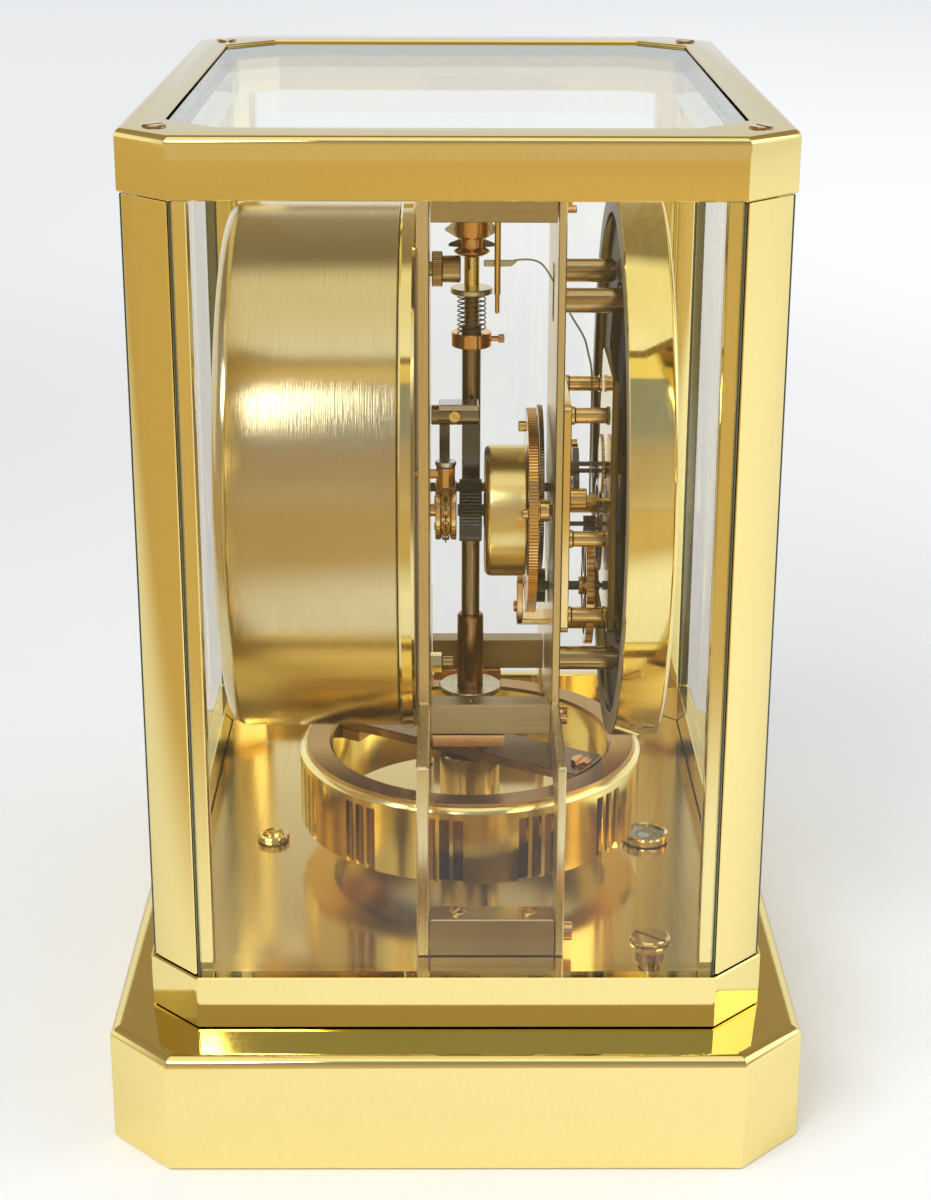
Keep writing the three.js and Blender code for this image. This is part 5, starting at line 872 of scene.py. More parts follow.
class CLOCK_OT_stage(bpy.types.Operator):
    """Floor, even light, two soft lamps and the camera."""

    bl_idname = "clock.stage"
    bl_label = "Stage"

    def execute(self, context):
        settings = context.scene.clock_stage
        self.camera(context, settings)
        self.floor(context, settings)
        self.sky(context, settings)
        for name, (place, width, height, power) in LAMPS.items():
            self.lamp(context, name, place, width, height, getattr(settings, power))
        context.scene.view_settings.view_transform = "Standard"
        return {"FINISHED"}

    def camera(self, context, settings):
        """Camera that looks along +X and 19.6 degrees down, rolled a little."""
        data = bpy.data.cameras.new("Camera")
        data.sensor_fit = "VERTICAL"
        data.sensor_height = SENSOR
        data.lens = SENSOR * FRAME_DISTANCE / FRAME_HEIGHT
        data.clip_start = 0.01
        made = bpy.data.objects.new("Camera", data)
        context.scene.collection.objects.link(made)
        forward = Vector((math.cos(YAW) * math.cos(PITCH), -math.sin(YAW) * math.cos(PITCH),
                          -math.sin(PITCH)))
        right = forward.cross(Vector((0, 0, 1))).normalized()
        up = right.cross(forward)
        turned_right = right * math.cos(ROLL) + up * math.sin(ROLL)
        axes = Matrix((turned_right, turned_right.cross(forward), -forward)).transposed()
        made.matrix_world = Matrix.Translation(settings.camera_place) @ axes.to_4x4()
        context.scene.camera = made

    def floor(self, context, settings):
        """Flat square under the clock: lit near it, evenly pale further off.

        Its tone goes from the floor's to the backdrop's with the distance, and is scaled by
        1 + slope along Y, which fades with the distance too. Polished metal sees the warm
        tone where WARM_SIDE . place is large, in front of the clock and to its left.
        """
        x, y = FLOOR_HALF, FLOOR_HALF
        mesh = bpy.data.meshes.new("floor")
        mesh.from_pydata([(-x, -y, 0), (x, -y, 0), (x, y, 0), (-x, y, 0)], [], [(0, 1, 2, 3)])
        made = bpy.data.objects.new("floor", mesh)
        context.scene.collection.objects.link(made)
        material = bpy.data.materials.new("clock floor")
        tree = empty_tree(material)
        place = own_place(tree)
        away = vector_node(tree, "LENGTH", place).outputs["Value"]
        aside = vector_node(tree, "DOT_PRODUCT", place, WARM_SIDE).outputs["Value"]
        level = add_node(tree, "ShaderNodeSeparateXYZ", {0: place}).outputs[1]
        path = add_node(tree, "ShaderNodeLightPath").outputs
        depth = moved_span(tree, away, BACKDROP_FROM, BACKDROP_TO)
        # Painted light: the slope makes the floor lighter towards -Y and darker towards +Y.
        slope = moved_span(tree, level, SLOPE_REACH, -SLOPE_REACH, SLOPE_REAR, SLOPE_FRONT)
        scale = math_node(tree, "MULTIPLY_ADD", slope, math_node(tree, "SUBTRACT", 1.0, depth), 1.0)
        warm = math_node(
            tree, "MULTIPLY", moved_span(tree, aside, WARM_FROM, WARM_TO, curve="SMOOTHSTEP"),
            path["Is Glossy Ray"])
        tone = colour_mix(tree, depth, settings.floor, settings.backdrop)
        tone = colour_mix(tree, warm, tone, settings.surround)
        tone = vector_node(tree, "SCALE", tone, scale=scale).outputs[0]
        seen = math_node(tree, "MAXIMUM", path["Is Camera Ray"], path["Is Glossy Ray"])
        seen = math_node(tree, "MAXIMUM", seen, path["Is Transmission Ray"])
        far = moved_span(tree, away, EVEN_FROM, EVEN_TO, curve="SMOOTHSTEP")
        even = math_node(tree, "MULTIPLY", math_node(tree, "MAXIMUM", far, warm), seen)
        lit = add_node(tree, "ShaderNodeBsdfDiffuse", {"Color": tone}).outputs[0]
        plain = add_node(tree, "ShaderNodeEmission", {"Color": tone}).outputs[0]
        surface(tree, add_node(tree, "ShaderNodeMixShader", {0: even, 1: lit, 2: plain}))
        mesh.materials.append(material)

    def sky(self, context, settings):
        """Room light: the tone follows the height of a direction, from horizon to zenith.

        One run of tones is for the room behind the camera and one for the backdrop behind
        the clock, mixed by the direction's x. Polished metal mirrors them. The camera and
        clear glass see the backdrop's colour, and the light that falls on the clock is even.
        """
        world = bpy.data.worlds.new("clock world")
        tree = empty_tree(world)
        direction = add_node(tree, "ShaderNodeTexCoord").outputs["Generated"]
        parts = add_node(tree, "ShaderNodeSeparateXYZ", {0: direction}).outputs
        room = colour_mix(
            tree, moved_span(tree, parts[0], -ROOM_BLEND, ROOM_BLEND),
            self.tones(tree, parts[2], ROOM_TONES), self.tones(tree, parts[2], BACKDROP_TONES))
        path = add_node(tree, "ShaderNodeLightPath").outputs
        seen = math_node(tree, "MAXIMUM", path["Is Camera Ray"], path["Is Transmission Ray"])
        light = colour_mix(tree, path["Is Glossy Ray"], [settings.sky] * 3, room)
        tone = colour_mix(tree, seen, light, settings.backdrop)
        shader = add_node(tree, "ShaderNodeBackground", {"Color": tone})
        add_node(tree, "ShaderNodeOutputWorld", {"Surface": shader.outputs[0]})
        context.scene.world = world

    def tones(self, tree, height, stops):
        """Colour by height through a list of (height, red, green, blue)."""
        ramp = add_node(tree, "ShaderNodeValToRGB", {"Fac": height})
        elements = ramp.color_ramp.elements
        while len(elements) < len(stops):
            elements.new(0.5)
        for element, (place, *tone) in zip(elements, stops):
            element.position = place
            element.color = (*tone, 1)
        return ramp.outputs[0]

    def lamp(self, context, name, place, width, height, power):
        """Soft rectangular lamp that faces the middle of the clock."""
        data = bpy.data.lights.new(name, "AREA")
        data.shape = "RECTANGLE"
        data.size, data.size_y = width, height
        data.energy = power
        made = bpy.data.objects.new(name, data)
        context.scene.collection.objects.link(made)
        aim = (Vector(LAMPS_AIM) - Vector(place)).to_track_quat("-Z", "Y")
        made.matrix_world = Matrix.Translation(place) @ aim.to_matrix().to_4x4()


class CLOCK_OT_case(bpy.types.Operator):
    """Plinth, rim, base plate, corner posts, cap, panes and cap screws."""

    bl_idname = "clock.case"
    bl_label = "Case"

    def execute(self, context):
        sizes = context.scene.clock_case
        self.round = sizes.corner_round / MM
        self.plinth(sizes.plinth_edge / MM)
        self.rim()
        self.posts()
        self.cap(sizes.cap_edge / MM)
        self.panes(sizes.glass_edge / MM)
        self.cap_screws()
        dress("base_plate", "brushed base")
        return {"FINISHED"}

    def ring(self, half_u, half_v, corner, amount):
        """Cut-corner outline moved in by the amount, its corners rounded."""
        outline = cut_corner(half_u - amount, half_v - amount, corner - amount * CORNER_SHRINK)
        return rounded(outline, self.round, 4)

    def plinth(self, edge):
        """Hollow box: from the inside of its deck down, round the skirt, and up to the top.

        Its deck has bores for the levelling screws, the rear bush and the lock column.
        """
        high = extent("plinth")[1]
        top, wall = high[2], 3.0
        profile = [(wall, top - wall), (wall, 0.5), (wall - 0.5, 0), (0.5, 0), (0, 0.5),
                   *rolled_edge(edge, top, 9)]
        walls = [[(self.ring(high[0], high[1], PLINTH_CUT, amount), z) for amount, z in profile]]
        screw_x, screw_y = LEVELLING_PLACE
        for radius, x, y in ((2.7, screw_x, screw_y), (2.7, -screw_x, screw_y), (3.9, 0, BUSH_Y),
                             (3.3, 0, PENDULUM_Y)):
            walls.append(bore(radius, (x, y), [(0, top - wall), (0, top)]))
        piece("plinth_shell", [("plated gold", [pierced(walls)])], "case",
              ["plinth"])

    def rim(self):
        """Upright band that the base plate and the panes sit in."""
        low, high = extent("bottom_rim")
        profile = [(0.4, low[2]), (0, low[2] + 0.4), (0, high[2] - 0.35), (0.35, high[2]),
                   (3.35, high[2]), (3.6, high[2] - 0.3), (3.6, low[2])]
        rings = [placed(self.ring(high[0], high[1], CASE_CUT, amount), level, (0, 0, 0), "Z")
                 for amount, level in profile]
        piece("rim_band", [("plated gold", [stack(rings, True)])], "case",
              ["bottom_rim"])

    def posts(self):
        """Angled posts: the outer face is the cut corner, with a return behind each pane."""
        low, high = extent("corner_post_rear_right")
        section = np.array([
            [84.9, 70.4], [84.9, 67.1], [81.4, 67.1], [81.4, 61.4],
            [87.1, 55.7], [92.8, 55.7], [92.8, 59.2], [96.1, 59.2]])
        radius = np.array([0.35, 0.2, 0.4, 0.6, 0.6, 0.4, 0.2, 0.35])
        for side_u, end_u in ((-1, "left"), (1, "right")):
            for side_v, end_v in ((-1, "front"), (1, "rear")):
                outline = rounded(section * (side_u, side_v), radius, 3)
                shell = slab(outline, edged(low[2], high[2], 0.12))
                piece(f"post_{end_v}_{end_u}", [("plated gold", [shell])], "case",
                      [f"corner_post_{end_v}_{end_u}"])

    def cap(self, edge):
        """Frame of the roof: from its lip inside, down, out and up to the rounded upper edge."""
        low, high = extent("top_frame")
        half_u, half_v, bottom, top = high[0], high[1], low[2], high[2]
        lip = 3
        outside = [(0.3, bottom), (0, bottom + 0.3), *rolled_edge(edge, top, 7)]
        inside = [(lip, bottom), (lip, CAP_SEAT), (0, CAP_SEAT), (0, top - 0.3), (-0.3, top)]
        walls = [
            [(self.ring(half_u, half_v, CASE_CUT, amount), z) for amount, z in outside],
            [(self.ring(half_u - 12.9, half_v - 9.1, OPENING_CUT, amount)[::-1], z)
             for amount, z in inside]]
        screw_x, screw_y = CAP_SCREW_PLACE
        for x in (-screw_x, screw_x):
            for y in (-screw_y, screw_y):
                walls.append(bore(1.6, (x, y), [(0, bottom), (0, top)], 16))
        piece("cap_frame", [("plated gold", [pierced(walls)])], "case",
              ["top_frame"])

    def panes(self, edge):
        """Five sheets of glass with dark green cut edges, which are also painted shade of the gap
        where each pane meets the frame; the roof's mirrors more when raked.
        """
        low, high = extent("top_glass")
        outline = wound_left(rounded(cut_corner(high[0], high[1], ROOF_GLASS_CUT), 0.5, 3))
        sheet = slab(inset(outline, edge), [(0, low[2]), (0, high[2])])
        # The band round the roof's pane is dark green: its cut edge, and painted shade of the gap
        # where it sits on the cap.
        rings = [(edge + 0.02, low[2]), (0.2, low[2]), (0, low[2] + 0.2), (0, high[2] - 0.2),
                 (0.2, high[2]), (edge + 0.02, high[2])]
        band = stack([placed(inset(outline, a), z, (0, 0, 0), "Z") for a, z in rings], True)
        piece("top_pane", [("roof glass", [sheet]), ("glass edge", [band])], "case",
              ["top_glass"], 20)
        for node, body in (("front_glass", "front_glass_body"), ("rear_glass", "case"),
                           ("left_glass", "case"), ("right_glass", "case")):
            self.upright_pane(node, body, edge)

    def upright_pane(self, node, body, edge):
        """A sheet of clear glass between two narrow dark green strips, one along each upright edge:
        its cut edge, and painted shade of the gap at the frame.
        """
        low, high = extent(node)
        axis, across, level = ("Y", 0, 1) if node in ("front_glass", "rear_glass") else ("X", 1, 0)
        near, far = low[across], high[across]
        levels = edged(low[level], high[level], 0.2)
        sheet = slab(rectangle(near + edge, far - edge, low[2], high[2]), levels, (0, 0, 0), axis)
        # Dark green strips: the cut edges, and painted shade of the gap at the frame.
        strips = [slab(rectangle(a, b, low[2] + 0.02, high[2] - 0.02), levels, (0, 0, 0), axis)
                  for a, b in ((near, near + edge - 0.02), (far - edge + 0.02, far))]
        piece(node.replace("glass", "pane"), [("clear glass", [sheet]), ("glass edge", strips)],
              body, [node], 20)

    def cap_screws(self):
        """Slotted screws in the corners of the roof."""
        turns = {"front_left": 0.5, "front_right": 1.1, "rear_left": 2.2, "rear_right": 0.2}
        for corner, lean in turns.items():
            centre, low, _ = middle("cap_screw_" + corner)
            head = slotted_head(centre, "Z", 2.6, 232.5, 233.15, lean, 0.16)
            shank = rod(1.3, low[2], 232.6, centre, "Z", 16)
            piece("roof_screw_" + corner, [("golden bronze", [*head, shank])], "case",
                  ["cap_screw_" + corner])


class CLOCK_OT_feet(bpy.types.Operator):
    """Levelling screws, foot pads, rear foot and spirit level."""

    bl_idname = "clock.feet"
    bl_label = "Feet and level"

    def execute(self, context):
        for side in ("left", "right"):
            self.levelling_screw(side)
            self.pad(side)
        self.rear_foot()
        self.level()
        return {"FINISHED"}

    def levelling_screw(self, side):
        """Knob on a long rod: rows of cut beads, a knurled band, a rim and a slotted head."""
        centre, low, high = middle("levelling_screw_" + side)
        top = high[2]
        bottom = top - 6.4
        knurl = gear_outline(60, 1.0, 0.965, 0, 0.42, 0.1)
        band = stack([placed(size * knurl, level, centre, "Z") for size, level in (
            (4.0, top - 3.3), (4.55, top - 2.4), (4.9, top - 1.3), (4.8, top - 0.95))])
        rows = [slab(gear_outline(26, 3.45, 3.15, 0.12 * i, 0.42, 0.2), edged(z, z + 0.6, 0.12),
                     centre, "Z") for i, z in enumerate(np.arange(bottom, top - 3.4, 0.62))]
        neck = rod(3.2, bottom, top - 3.0, centre, "Z", 40)
        rim = turned([(4.75, top - 1.0), (4.85, top - 0.9), (4.85, top - 0.6), (4.6, top - 0.45)],
                     centre, "Z", 48)
        head = slotted_head(centre, "Z", 4.5, top - 0.9, top, 0.9, 0.08)
        shaft = rod(2.4, low[2], bottom + 0.2, centre, "Z", 24)
        piece("levelling_knob_" + side, [
            ("golden bronze", [band, neck, shaft, *rows]), ("polished edge", [rim]),
            ("wheel brass", head)],
            f"screw_{side}_body", ["levelling_screw_" + side])

    def pad(self, side):
        """Turned foot with a socket for the end of the rod."""
        centre, low, high = middle("foot_pad_" + side)
        profile = [(7.4, low[2]), (8, low[2] + 0.5), (8, low[2] + 1.6), (7.6, low[2] + 2),
                   (4.7, low[2] + 2.1), (4.6, high[2] - 0.2), (4.4, high[2]), (2.8, high[2]),
                   (2.7, low[2] + 2.05)]
        piece("pad_" + side, [("dark rubber", [turned(profile, centre, "Z", 40)])],
              f"pad_{side}_body", ["foot_pad_" + side])

    def rear_foot(self):
        """Foot under the plinth, its stem, and the ringed bush that shows on the base plate."""
        low, high = extent("rear_foot")
        centre = (0, (low[1] + high[1]) / 2, 0)
        foot = rod(9, 0, 3, centre, "Z", 48, 0.4)
        stem = rod(3.6, 2.9, 31.4, centre, "Z", 32)
        top = high[2]
        bush = [(3.2, top - 2.4), (3.2, 31.32), (4.3, 31.32), (4.4, 31.7), (4.4, top - 0.35),
                (4.15, top), (3.1, top), (2.75, top - 0.25), (2.6, top - 0.7), (2.6, top - 2.4)]
        ring = turned(bush, centre, "Z", 48, True)
        pit = rod(2.7, top - 2.5, top - 2.2, centre, "Z", 32, 0.05)
        piece("rear_bush", [("satin plate", [stem]), ("polished edge", [ring]),
                            ("dark steel", [pit]), ("dark rubber", [foot])],
              "case", ["rear_foot"])

    def level(self):
        """Round level: polished bezel, pale fluid, a flat bubble, a ring mark and its glass."""
        low, high = extent("spirit_level")
        centre = (0, (low[1] + high[1]) / 2, 0)
        bottom, top = low[2], high[2]
        bezel = [(6.0, bottom), (6.2, bottom + 0.3), (6.2, top - 0.5), (5.9, top - 0.1),
                 (5.5, top), (5.1, top - 0.2), (5.0, top - 0.6), (5.0, bottom)]
        ring = turned(bezel, centre, "Z", 64, True)
        fluid = rod(5.05, bottom + 0.1, top - 0.75, centre, "Z", 48, 0.05)
        mark = tube_ring(2.5, 2.3, top - 0.76, top - 0.72, centre, "Z", 48, 0.01)
        bubble_place = (-0.9, centre[1] + 0.7, 0)
        bubble = turned([(1.5, top - 0.74), (1.35, top - 0.62), (0.8, top - 0.57)],
                        bubble_place, "Z", 32)
        cover = turned([(5.02, top - 0.5), (5.02, top - 0.4), (3.6, top - 0.22),
                        (1.6, top - 0.14)], centre, "Z", 48)
        piece("round_level", [
            ("polished edge", [ring]), ("level fluid", [fluid]), ("black ink", [mark]),
            ("bubble", [bubble]), ("clear glass", [cover])], "case",
            ["spirit_level"])


class CLOCK_OT_movement(bpy.types.Operator):
    """Back and front plates, their blocks, studs, pillars and screws."""

    bl_idname = "clock.movement"
    bl_label = "Movement frame"

    def execute(self, context):
        low, high = extent("back_plate")
        self.foot = low[2]
        self.top = high[2]
        self.back_plate()
        self.front_plate()
        self.blocks()
        return {"FINISHED"}

    def outline(self):
        """Both plates: a narrow upper part, shoulders and two legs with an arch between."""
        half = np.array([[26, self.top], [26, 81], [66, 81], [66, self.foot], [50, self.foot],
                         [50, 66]], float)
        corners = np.concatenate([half, (half * (-1, 1))[::-1]])
        return rounded(corners, [1, 0.6, 1.2, 0.4, 0.4, 3, 3, 0.4, 0.4, 1.2, 0.6, 1], 4)

    def back_plate(self):
        """Rear plate with its knurled nut and its low stud, both towards the staff."""
        holes = [circle(1.8, 20) + GREAT, circle(1.5, 20) + SECOND, circle(1.5, 20) + CHAIN_HOLE]
        sheet = plate(self.outline(), holes, *BACK_PLATE, 0.3)
        stud = (-8.8, 0, 188.1)
        knurl = gear_outline(44, 4.3, 4.1, 0, 0.4, 0.12)
        nut = slab(knurl, edged(6.0, 3.4, 0.25), stud, "Y")
        collar = rod(3.3, 3.5, -0.9, stud, "Y", 40, 0.2)
        tip = rod(2.9, -0.85, -1.05, stud, "Y", 40, 0.05)
        root = rod(1.8, 6.6, 5.9, stud, "Y", 24, 0.02)
        low_stud = (-15, 0, 88)
        hexagon = slab(circle(2.6, 6), edged(6.6, 3.4, 0.25), low_stud, "Y")
        thread = rod(1.5, 3.5, 0.5, low_stud, "Y", 24, 0.2)
        piece("rear_plate", [
            ("satin plate", [sheet]), ("polished edge", [hexagon]),
            ("golden bronze", [nut, collar, root, thread]), ("bright steel", [tip])],
            "case", ["back_plate"])

    def front_plate(self):
        """Front plate with the third wheel's cock, the pillars to the dial and its screws."""
        slot = rounded(rectangle(-6.4, 1.6, 173, 188), 1.5, 5)
        holes = [slot, circle(1.5, 20) + GREAT, circle(1.5, 20) + SECOND, circle(1.5, 20) + THIRD]
        sheet = plate(self.outline(), holes, *FRONT_PLATE, 0.25)
        pillars = []
        screws = []
        for place in ((-18, 182.4), (18, 182.4), (-18, 90.4), (22.8, 86.4)):
            centre = on_axis(place)
            pillars.append(rod(3, -26, -40.2, centre, "Y", 40, 0.2))
            pillars.append(rod(2.4, -40.0, -40.85, centre, "Y"))
        foot = block((4, -24.9, 91.2), (12, -16, 92.8), 0.2)
        arch = plate(rounded(rectangle(4, 12, 91.3, 103.8), (0.3, 0.3, 1.8, 1.8), 4),
                     [circle(0.9, 16) + THIRD], -16, -17.6, 0.15)
        cock_screw = slotted_head((8, 0, 95), "Y", 1.5, -16.05, -15.2, 0.4)
        for x, z in ((-22.5, 206.5), (22.5, 206.5), (-23, 76.7), (23, 76.7),
                     (-62.3, 36.2), (62.3, 36.2)):
            screws += slotted_head((x, 0, z), "Y", 2.3, -26.0, -28.2, 0.3 + x)
        piece("forward_plate", [
            ("satin plate", [sheet]), ("golden bronze", pillars), ("wheel brass", [foot, arch]),
            ("copper brass", [*screws, *cock_screw])], "case", ["front_plate"])

    def blocks(self):
        """Brushed spacers between the plates: the upper one carries the guard rod, the middle
        ones a pin and a strip, the foot ones two screws each."""
        low, high = extent("top_block")
        guard_place = (-8, -10, 0)
        guard = turned([(0.4, 177), (0.56, 177.2), (0.56, 181.5), (0.78, 181.7), (0.78, 202.6)],
                       guard_place, "Z", 24)
        beam = block((low[0], low[1], 202.5), (high[0], high[1], 210.5), 0.2)
        piece("upper_spacer", [("brushed block", [beam]), ("wheel brass", [guard])], "case",
              ["top_block"])
        for side in ("left", "right"):
            sign = -1 if side == "left" else 1
            low, high = extent("mid_block_" + side)
            body = block(low, high, 0.2)
            pin = rod(0.9, high[2] - 0.1, high[2] + 0.45, (sign * 23, -3.8, 0), "Z", 20, 0.1)
            strip_low = (min(sign * 26, sign * 20), -12.3, 69.2)
            strip_high = (max(sign * 26, sign * 20), 5.8, 72.3)
            strip = block(strip_low, strip_high, 0.15)
            piece("middle_spacer_" + side, [
                ("brushed block", [body]), ("bright steel", [pin]), ("copper brass", [strip])],
                "case", ["mid_block_" + side])
            low, high = extent("foot_block_" + side)
            body = block(low, high, 0.25)
            top = high[2]
            screws = []
            for y in (-0.5, -17.8):
                screws += slotted_head((sign * 62.3, y, 0), "Z", 2.0, top - 0.1, top + 0.75, y)
            piece("foot_spacer_" + side, [("brushed block", [body]), ("wheel brass", screws)],
                  "case", ["foot_block_" + side])


class CLOCK_OT_bellows(bpy.types.Operator):
    """Drum, flange, capsule with its push rod, and the chain's links."""

    bl_idname = "clock.bellows"
    bl_label = "Bellows"

    def execute(self, context):
        self.shell()
        self.flange()
        dress("bellows_capsule", "copper brass")
        self.push_cap()
        self.chain()
        return {"FINISHED"}

    def shell(self):
        """Turned drum: along its wall, round the rear edge, over the rear face and back inside."""
        low, high = extent("bellows_drum")
        front, rear, radius = low[1], high[1], high[0]
        edge, wall, hole = 4.0, 1.6, 4.3
        outer = [(radius - 0.3, front), (radius, front + 0.3)]
        outer += arc_profile(radius - edge, rear - edge, edge, 0, 90, 14)
        inner = arc_profile(radius - edge, rear - edge, edge - wall, 90, 0, 8)
        profile = [*outer, (hole, rear), (hole, rear - wall), *inner, (radius - wall, front)]
        drum = turned(profile, on_axis(BELLOWS), "Y", 160, True)
        piece("drum_shell", [("brushed drum", [drum])], "case", ["bellows_drum"])

    def flange(self):
        """Polished disc in front of the drum with a rounded lip and a hole for the chain."""
        centre = on_axis(BELLOWS)
        low, high = extent("bellows_flange")
        front, rear, radius = low[1], high[1], high[0]
        hole = [circle(1.5, 16) + (CHAIN_HOLE[0], CHAIN_HOLE[1] - BELLOWS[1])]
        lip = turned([(radius - 4, rear), (radius - 0.5, rear), (radius, rear - 0.5),
                      (radius, front + 0.7), (radius - 0.7, front), (radius - 4, front)],
                     centre, "Y", 160, True)
        sheet = plate(circle(radius - 3.9, 120), hole, rear - 0.1, front + 0.1, 0.05, centre, "Y")
        piece("drum_flange", [("turned flange", [lip, sheet])], "case",
              ["bellows_flange"])

    def push_cap(self):
        """Silvered cap over the end of the push rod; it moves with the capsule."""
        centre = (-18.89, CHAIN_Y, 0)
        cup = turned([(1.0, 135.9), (1.1, 138.4), (1.9, 140.4), (2.5, 141.5)], centre, "Z", 32)
        lid = turned([(2.45, 141.4), (2.6, 141.7), (2.6, 142.3), (2.4, 142.5)], centre, "Z", 40)
        piece("push_rod_cap", [("dark steel", [cup]), ("bright steel", [lid])], "capsule_body")

    def chain(self):
        """Oval links along the chain's route, every second one turned by a quarter.

        The route drops straight to the height of the pulley's middle and goes on round it.
        """
        links, pitch, reach = [], 1.95, CHAIN_REACH
        drop = CHAIN_TOP - GREAT[1]
        count = int((drop + reach * math.pi * 0.62) / pitch)
        angle = np.arange(12) * TAU / 12
        for i in range(count):
            run = (i + 0.5) * pitch
            if run < drop:
                place = np.array([GREAT[0] - reach, CHAIN_Y, CHAIN_TOP - run])
                along_route = np.array([0, 0, -1.0])
            else:
                turn = math.pi + (run - drop) / reach
                place = np.array([GREAT[0] + reach * math.cos(turn), CHAIN_Y,
                                  GREAT[1] + reach * math.sin(turn)])
                along_route = np.array([-math.sin(turn), 0, math.cos(turn)])
            level = np.array([0, 1.0, 0])
            across = level if i % 2 else np.cross(along_route, level)
            normal = np.cross(along_route, across)
            oval = (1.25 * np.cos(angle)[:, None] * along_route
                    + 0.78 * np.sin(angle)[:, None] * across)
            links.append(tube(place + oval, 0.21, normal, 6, True))
        piece("chain_links", [("golden bronze", links)], "case", ["chain"])


class CLOCK_OT_winding(bpy.types.Operator):
    """Pulley, ratchet, click bracket, spring barrel and great wheel."""

    bl_idname = "clock.winding"
    bl_label = "Winding and barrel"

    def execute(self, context):
        centre = on_axis(GREAT)
        self.pulley(centre)
        self.ratchet(centre)
        self.bracket()
        self.barrel(centre)
        self.great_wheel(centre)
        dress("mainspring", "dark steel")
        return {"FINISHED"}

    def pulley(self, centre):
        """Grooved pulley on its arbor, with three pins in its rear face."""
        profile = [(1.6, -0.1), (7.3, -0.1), (7.5, 0.1), (7.5, 1.1), (7.2, 1.4), (6.4, 1.6),
                   (6.4, 3.5), (7.2, 3.7), (7.5, 4.0), (7.5, 5.0), (7.3, 5.2), (1.6, 5.2),
                   (1.5, 9.2)]
        pins = [rod(0.9, 5.15, 5.5, round_axis(centre, 4.2, a), "Y", 16, 0.05)
                for a in (0.4, 2.5, 4.6)]
        piece("chain_pulley", [("wheel brass", [turned(profile, centre, "Y", 56)]),
                               ("copper brass", pins)],
              "winding_body", ["winding_pulley"])

    def ratchet(self, centre):
        """Saw-toothed wheel: each tooth rises slowly and falls at once; its arbor runs forward."""
        count, tip, root = 54, 7.8, 7.25
        step = TAU / count
        angle = np.arange(count)[:, None] * step + np.array([0, 0.7 * step, 0.9 * step])
        radius = np.array([root, tip, tip])
        outline = np.stack([radius * np.cos(angle), radius * np.sin(angle)], axis=-1).reshape(-1, 2)
        teeth = slab(outline, edged(-0.8, -6.4, 0.15), centre, "Y")
        arbor = turned([(1.5, -0.35), (1.5, -23.7), (1.2, -23.7), (1.2, -26)], centre, "Y", 28)
        piece("ratchet", [("dark steel", [teeth, arbor])], "winding_body",
              ["ratchet_wheel"])

    def bracket(self):
        """Bronze post with its silvered plate, slotted screw, hanging arm and click."""
        post_place = (-7, 0, 151)
        post = rod(2.5, 6.2, -5.8, post_place, "Y", 40, 0.2)
        screw = slotted_head((0, 0.4, 151.2), "X", 1.45, -9.2, -10.0, 0.6, 0.15)
        tablet = block((-10, -5.5, 152.6), (-4, 4.3, 154.3), 0.25)
        arm = block((-8, 1.6, 138.8), (-6, 4.2, 150), 0.15)
        click = slab(rounded([[-8, 135.65], [-6, 135.65], [-6, 150], [-8, 150]], 0.3, 3),
                     edged(-1.6, -5.8, 0.15), (0, 0, 0), "Y")
        piece("click_bracket", [
            ("dark bronze", [post]), ("polished edge", screw), ("bright steel", [tablet]),
            ("dark steel", [arm, click])], "case", ["winding_bracket"])

    def barrel(self, centre):
        """Turned drum of the mainspring: rounded rear edge, open towards the great wheel."""
        radius, edge, rear = 16.5, 1.7, -7.1
        profile = [(1.8, -6.9), (4.2, -6.9), (4.4, rear), (14.9, rear)]
        profile += [(radius - edge + edge * math.sin(a), rear - edge + edge * math.cos(a))
                    for a in np.linspace(0.2, math.pi / 2, 6)]
        profile += [(radius, -16.9), (16.3, -17.2), (15.5, -17.2), (15.5, -8.3), (1.8, -8.3)]
        hook = block((centre[0] - 16.9, -16.4, centre[2] + 1.0), (centre[0] - 15.9, -14.6,
                     centre[2] + 3.2), 0.15)
        piece("spring_barrel", [("barrel brass", [turned(profile, centre, "Y", 96, True)]),
                                ("wheel brass", [hook])],
              "barrel_body", ["barrel"])

    def great_wheel(self, centre):
        """Great wheel with fine teeth, a raised face, its hub and boss, screws and two pins."""
        phase = meshed_phase(SECOND_PINION, SECOND, GREAT_GEAR, GREAT)
        body = wheel(GREAT_GEAR, phase, -17.5, -19.8, GREAT, 1.8)
        face = tube_ring(22.4, 17.2, -19.75, -19.95, centre, "Y", 72, 0.05)
        hub = tube_ring(4.5, 1.8, -19.7, -21.0, centre, "Y", 40, 0.2)
        screws = []
        for a in (0.6, 2.7, 4.8):
            screws += slotted_head(round_axis(centre, 9.5, a), "Y", 1.5, -19.78, -20.7, a)
        boss = tube_ring(2.9, 1.8, -20.95, -23.4, centre, "Y", 40, 0.2)
        pins = [rod(radius, -17.4, end, round_axis(centre, 22.6, a), "Y", 24, 0.2)
                for radius, end, a in ((1.35, -15.3, 1.68), (1.15, -15.8, 2.88))]
        piece("main_wheel", [("wheel brass", [body, hub, face, boss, *pins]),
                             ("copper brass", screws)],
              "barrel_body", ["great_wheel"])


